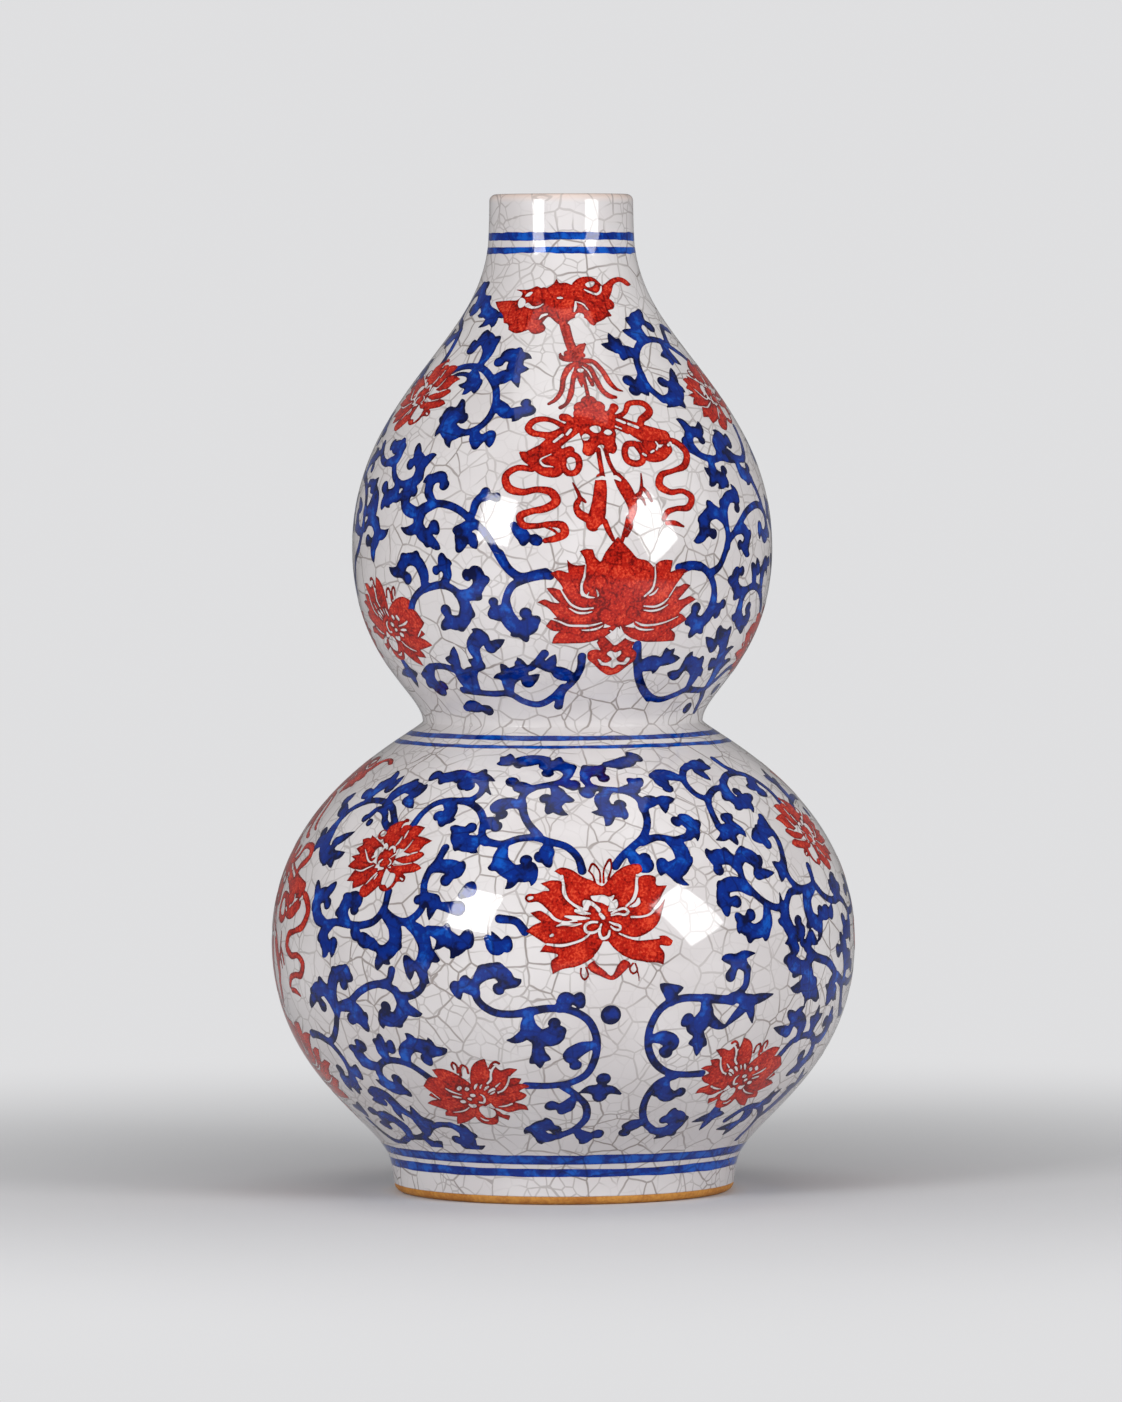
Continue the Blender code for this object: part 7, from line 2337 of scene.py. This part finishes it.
def paint_blue(sizes, colours):
    """The blue scrolls of both bulbs. The upper bulb's repeat after half a turn."""
    wall = Wall(sizes)
    finish = cobalt_finish(colours)
    name = "cobalt_scrolls_upper"
    band = [wall.along_at(height) for height in UPPER_BAND]
    upper = Canvas(wall, (-HALF_TURN / 2, HALF_TURN / 2), band, BLUE_CELL, goes_round=True)
    for azimuth, height, scrolls in UPPER_FIELDS:
        paint_scrolls(upper, Spot(wall, azimuth, height), scrolls)
    paint_piece(name, upper, finish, BLUE_TOP, BLUE_SPACING, copies=2)
    band = [wall.along_at(height) for height in LOWER_BAND]
    for side, (start, end, fields) in LOWER_SIDES.items():
        name = f"cobalt_scrolls_lower_{side}"
        lower = Canvas(wall, (math.radians(start), math.radians(end)), band, BLUE_CELL)
        for azimuth, height, scrolls, mirrored in fields:
            paint_scrolls(lower, Spot(wall, azimuth, height, mirrored=mirrored), scrolls)
        paint_piece(name, lower, finish, BLUE_TOP, BLUE_SPACING)


# Where the motifs go

RED_CELL = 0.25
RED_SPACING = 0.5  # distance between the points of the red, in mm


def local_canvas(wall, azimuth, height, half_width, half_height):
    """A canvas centred on a motif."""
    middle = wall.along_at(height)
    reach = half_width / wall.radius_at(middle)
    turn = math.radians(azimuth)
    return Canvas(wall, (turn - reach, turn + reach), (middle - half_height, middle + half_height), RED_CELL)


PATCHES = {  # half-width and half-height of the patch that each motif needs, in mm at scale 1
    paint_bat: (30, 26),
    paint_tassel: (24, 60),
    paint_chime: (34, 32),
    paint_lotus: (30, 30),
    paint_flower: (20, 18),
    paint_low_flower: (23, 17),
    paint_open_lotus: (26, 22),
}

# A motif has its paint function, azimuth, height, scale, turn and whether it is mirrored.
UPPER_MOTIFS = {  # they repeat on the back
    "bat": (paint_bat, 4.1, 268.0, 1.0, 0.0, False),
    "tassel": (paint_tassel, 10.0, 215.0, 1.0, 0.0, False),
    "chime": (paint_chime, 11.0, 222.0, 1.0, 0.0, False),
    "lotus": (paint_lotus, 16.5, 180.0, 1.0, 0.0, False),
    "left_flower": (paint_flower, -60.3, 240.0, 1.0, 0.0, False),
    "left_low_flower": (paint_low_flower, -60.8, 173.5, 1.0, -8.0, False),
    "right_flower": (paint_flower, 72.0, 240.0, 1.0, 0.0, False),
    "right_low_flower": (paint_low_flower, 88.0, 167.0, 0.95, 0.0, True),
}

SIDE_MOTIFS = {  # the bat, tassel, chime and lotus again, larger; azimuths are from their own column
    "bat": (paint_bat, 0.0, 126.5, 1.0, 0.0, False),
    "tassel": (paint_tassel, 0.0, 78.0, 1.15, 0.0, False),
    "chime": (paint_chime, 0.0, 86.0, 1.15, 0.0, False),
    "lotus": (paint_lotus, 0.0, 41.5, 1.1, 0.0, False),
}
SIDE_COLUMNS = {"left": -83.0, "right": 105.0}

LOTUS_MOTIFS = {  # the open lotus and the flowers beside it; azimuths are from their own column
    "open_lotus": (paint_open_lotus, 0.0, 88.0, 1.0, 0.0, False),
    "left_flower": (paint_flower, -47.4, 104.0, 1.0, 0.0, False),
    "right_flower": (paint_flower, 60.0, 109.0, 1.0, 0.0, True),
    "left_low_flower": (paint_low_flower, -27.2, 35.2, 1.0, 0.0, True),
    "right_low_flower": (paint_low_flower, 34.2, 39.6, 1.0, 0.0, False),
}


def paint_motifs(wall, finish, motifs, prefix, column):
    """Paints each motif of a set on a canvas of its own."""
    for name, (paint, azimuth, height, scale, turn, mirrored) in motifs.items():
        place = column + azimuth
        wide, high = PATCHES[paint]
        canvas = local_canvas(wall, place, height, wide * scale, high * scale)
        paint(canvas, Spot(wall, place, height, scale, turn, mirrored))
        paint_piece(f"{prefix}_{name}", canvas, finish, RED_TOP, RED_SPACING)


def paint_red(sizes, colours):
    """All the red enamel, all the way round."""
    wall = Wall(sizes)
    finish = red_finish(colours)
    paint_motifs(wall, finish, UPPER_MOTIFS, "upper_front", 0.0)
    paint_motifs(wall, finish, UPPER_MOTIFS, "upper_back", 180.0)
    for side, azimuth in SIDE_COLUMNS.items():
        paint_motifs(wall, finish, SIDE_MOTIFS, f"lower_{side}", azimuth)
    for side, azimuth in zip(("front", "back"), LOTUS_COLUMNS):
        paint_motifs(wall, finish, LOTUS_MOTIFS, f"lower_{side}", azimuth)


# Stage

WINDOWS = {
    # name: middle azimuth in degrees, middle height, distance from the axis, width, height, lean, brightness
    "left_window": (-35.5, 385.0, 825.0, 262.0, 322.0, -9.0, 1.3),
    "right_window": (49.5, 332.0, 825.0, 275.0, 388.0, 32.0, 0.96),
}
WINDOW_AIM = (0, 0, 0.2)  # metres, like the next three: place, aim and size of the light overhead
TOP_LIGHT_PLACE = (0, -0.1, 1.9)
TOP_LIGHT_AIM = (0, 0, 0.1)
TOP_LIGHT_SIZE = (1.5, 1.5)
PHOTO_HEIGHT = 1402  # pixels, like the camera's focal length and how far its axis is off the middle
FOCAL_PIXELS = 9290
SHIFT_PIXELS = -0.5
SENSOR = 36.0
VIEW_END = 20.0
CAMERA_ROLL = math.radians(0.17)
FLOOR_LEVEL = -0.07
FLOOR_SPAN = 16.0
FLOOR_MOTTLE = 0.97
HAZE = (0.07, 0.52)  # from where to where the floor fades into the backdrop, in metres from the vase
BACKDROP = (0.74, 0.74, 0.75)


def choose_shader(tree, factor, first, second, output):
    """Feeds the output from the first shader at factor 0 and from the second at 1."""
    choice = add_node(tree, "ShaderNodeMixShader")
    for socket, source in zip(choice.inputs, (factor, first, second)):
        tree.links.new(source, socket)
    tree.links.new(choice.outputs[0], tree.nodes[output].inputs["Surface"])


def pale_floor(colours):
    """A wide pale floor that keeps the vase's shadow and fades into the even backdrop further off."""
    bpy.ops.object.select_all(action="DESELECT")
    bpy.ops.mesh.primitive_plane_add(size=1.0, location=(0, 0, FLOOR_LEVEL * MM))
    floor = bpy.context.object
    floor.name = "floor"
    bpy.ops.transform.resize(value=(FLOOR_SPAN, FLOOR_SPAN, 1.0))
    bpy.ops.object.transform_apply(location=True, rotation=True, scale=True)
    material, tree, shader, place = new_finish("pale_floor", 0.75)
    mottle = noise_node(tree, place, 12.0, 3.0).outputs["Fac"]
    plain = mix_node(tree, mottle, colours.floor, tuple(FLOOR_MOTTLE * c for c in colours.floor))
    tree.links.new(plain, shader.inputs["Base Color"])
    far = ramp_node(tree, vector_node(tree, "LENGTH", place).outputs["Value"], *HAZE)
    haze = add_node(tree, "ShaderNodeEmission")
    feed(tree, haze.inputs["Color"], BACKDROP)
    path = add_node(tree, "ShaderNodeLightPath").outputs
    seen = math_node(tree, "MAXIMUM", path["Is Camera Ray"], path["Is Transmission Ray"])
    faded = math_node(tree, "MULTIPLY", far, seen)
    choose_shader(tree, faded, shader.outputs[0], haze.outputs[0], "Material Output")
    floor.data.materials.append(material)


def area_lamp(name, place, aim, size, power, turn=0.0):
    """A rectangular soft lamp at place, facing aim, turned about its own beam."""
    lamp = bpy.data.lights.new(name, "AREA")
    lamp.shape = "RECTANGLE"
    lamp.size = size[0]
    lamp.size_y = size[1]
    lamp.energy = power
    made = bpy.data.objects.new(name, lamp)
    bpy.context.scene.collection.objects.link(made)
    made.location = place
    beam = Vector(aim) - Vector(place)
    made.rotation_euler = (beam.to_track_quat("-Z", "Y") @ Euler((0, 0, turn)).to_quaternion()).to_euler()
    return made


def lamps(settings):
    """Two window lights in front, as the glaze reflects them, and a broad soft one overhead."""
    for name, (azimuth, height, away, wide, high, lean, bright) in WINDOWS.items():
        angle = math.radians(azimuth)
        place = Vector((away * math.sin(angle), -away * math.cos(angle), height)) * MM
        size = (wide * MM, high * MM)
        power = bright * settings.window_radiance * math.pi * size[0] * size[1]
        area_lamp(name, place, WINDOW_AIM, size, power, math.radians(lean))
    area_lamp("top_light", TOP_LIGHT_PLACE, TOP_LIGHT_AIM, TOP_LIGHT_SIZE, settings.top_power)


def soft_sky(settings):
    """An even light from all round, behind which the camera sees the backdrop."""
    world = bpy.data.worlds.new("soft_sky")
    bpy.context.scene.world = world
    world.use_nodes = True
    tree = world.node_tree
    sky = tree.nodes["Background"]
    feed(tree, sky.inputs["Color"], (1.0, 1.0, 1.0))
    feed(tree, sky.inputs["Strength"], settings.sky_level)
    seen = add_node(tree, "ShaderNodeBackground")
    feed(tree, seen.inputs["Color"], BACKDROP)
    path = add_node(tree, "ShaderNodeLightPath").outputs
    choose_shader(tree, path["Is Camera Ray"], sky.outputs[0], seen.outputs[0], "World Output")


def camera(settings):
    """The camera of the photo: far away, a little above the neck, looking slightly down."""
    lens = bpy.data.cameras.new("photo_view")
    lens.sensor_fit = "AUTO"
    lens.sensor_width = SENSOR
    lens.lens = SENSOR * FOCAL_PIXELS / PHOTO_HEIGHT
    lens.clip_end = VIEW_END
    lens.shift_x = SHIFT_PIXELS / PHOTO_HEIGHT
    made = bpy.data.objects.new("photo_view", lens)
    bpy.context.scene.collection.objects.link(made)
    made.location = (0.0, -settings.camera_distance, settings.camera_height)
    made.rotation_euler = (math.pi / 2 - settings.camera_pitch, CAMERA_ROLL, 0.0)
    bpy.context.scene.camera = made
    bpy.context.scene.view_settings.view_transform = "Standard"


# Add-on

class VASE_OT_clay_finishes(bpy.types.Operator):
    """Gives the clay sections and the slip their finishes"""

    bl_idname = "vase.clay_finishes"
    bl_label = "Finish the clay"

    def execute(self, context):
        clay_finishes(context.scene.vase_colours)
        return {"FINISHED"}


class VASE_OT_glaze(bpy.types.Operator):
    """Coats the vase with crackled glaze, and dresses the bare foot with ochre"""

    bl_idname = "vase.glaze"
    bl_label = "Glaze the vase"

    def execute(self, context):
        sizes = context.scene.vase_sizes
        colours = context.scene.vase_colours
        glaze_coat(sizes, colours)
        base_glaze(sizes, colours)
        ochre_foot_dressing(sizes, colours)
        return {"FINISHED"}


class VASE_OT_lines(bpy.types.Operator):
    """Paints the blue lines round the neck, the waist and the foot"""

    bl_idname = "vase.lines"
    bl_label = "Paint the lines"

    def execute(self, context):
        painted_lines(context.scene.vase_sizes, context.scene.vase_colours)
        return {"FINISHED"}


class VASE_OT_blue_scrolls(bpy.types.Operator):
    """Paints the blue leaf scrolls on both bulbs"""

    bl_idname = "vase.blue_scrolls"
    bl_label = "Paint the blue scrolls"

    def execute(self, context):
        paint_blue(context.scene.vase_sizes, context.scene.vase_colours)
        return {"FINISHED"}


class VASE_OT_red_motifs(bpy.types.Operator):
    """Paints the bats, the chimes, the fish and the lotuses in red enamel"""

    bl_idname = "vase.red_motifs"
    bl_label = "Paint the red motifs"

    def execute(self, context):
        paint_red(context.scene.vase_sizes, context.scene.vase_colours)
        return {"FINISHED"}


class VASE_OT_stage(bpy.types.Operator):
    """Sets up the floor, the lights and the camera"""

    bl_idname = "vase.stage"
    bl_label = "Set up the stage"

    def execute(self, context):
        pale_floor(context.scene.vase_colours)
        lamps(context.scene.vase_stage)
        soft_sky(context.scene.vase_stage)
        camera(context.scene.vase_stage)
        return {"FINISHED"}


class VASE_PT_painter(bpy.types.Panel):
    """Lists the steps of finishing the vase"""

    bl_idname = "VASE_PT_painter"
    bl_label = "Vase"
    bl_space_type = "VIEW_3D"
    bl_region_type = "UI"
    bl_category = "Vase"

    def draw(self, context):
        for step in STEPS:
            self.layout.operator(step.bl_idname)
        for settings in (context.scene.vase_sizes, context.scene.vase_colours, context.scene.vase_stage):
            box = self.layout.box()
            for name in settings.bl_rna.properties.keys():
                if name not in ("rna_type", "name"):
                    box.prop(settings, name)


STEPS = (
    VASE_OT_stage,
    VASE_OT_clay_finishes,
    VASE_OT_glaze,
    VASE_OT_lines,
    VASE_OT_blue_scrolls,
    VASE_OT_red_motifs,
)
CLASSES = (VaseSizes, VaseColours, StageSettings, *STEPS, VASE_PT_painter)


def register():
    """Adds the settings, the steps and the panel to Blender."""
    for made in CLASSES:
        bpy.utils.register_class(made)
    bpy.types.Scene.vase_sizes = bpy.props.PointerProperty(type=VaseSizes)
    bpy.types.Scene.vase_colours = bpy.props.PointerProperty(type=VaseColours)
    bpy.types.Scene.vase_stage = bpy.props.PointerProperty(type=StageSettings)


def unregister():
    """Takes them away again."""
    del bpy.types.Scene.vase_stage
    del bpy.types.Scene.vase_colours
    del bpy.types.Scene.vase_sizes
    for made in reversed(CLASSES):
        bpy.utils.unregister_class(made)


def main():
    """Finishes the vase step by step."""
    register()
    bpy.ops.vase.stage()
    bpy.ops.vase.clay_finishes()
    bpy.ops.vase.glaze()
    bpy.ops.vase.lines()
    bpy.ops.vase.blue_scrolls()
    bpy.ops.vase.red_motifs()
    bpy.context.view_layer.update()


if __name__ == "__main__":
    main()
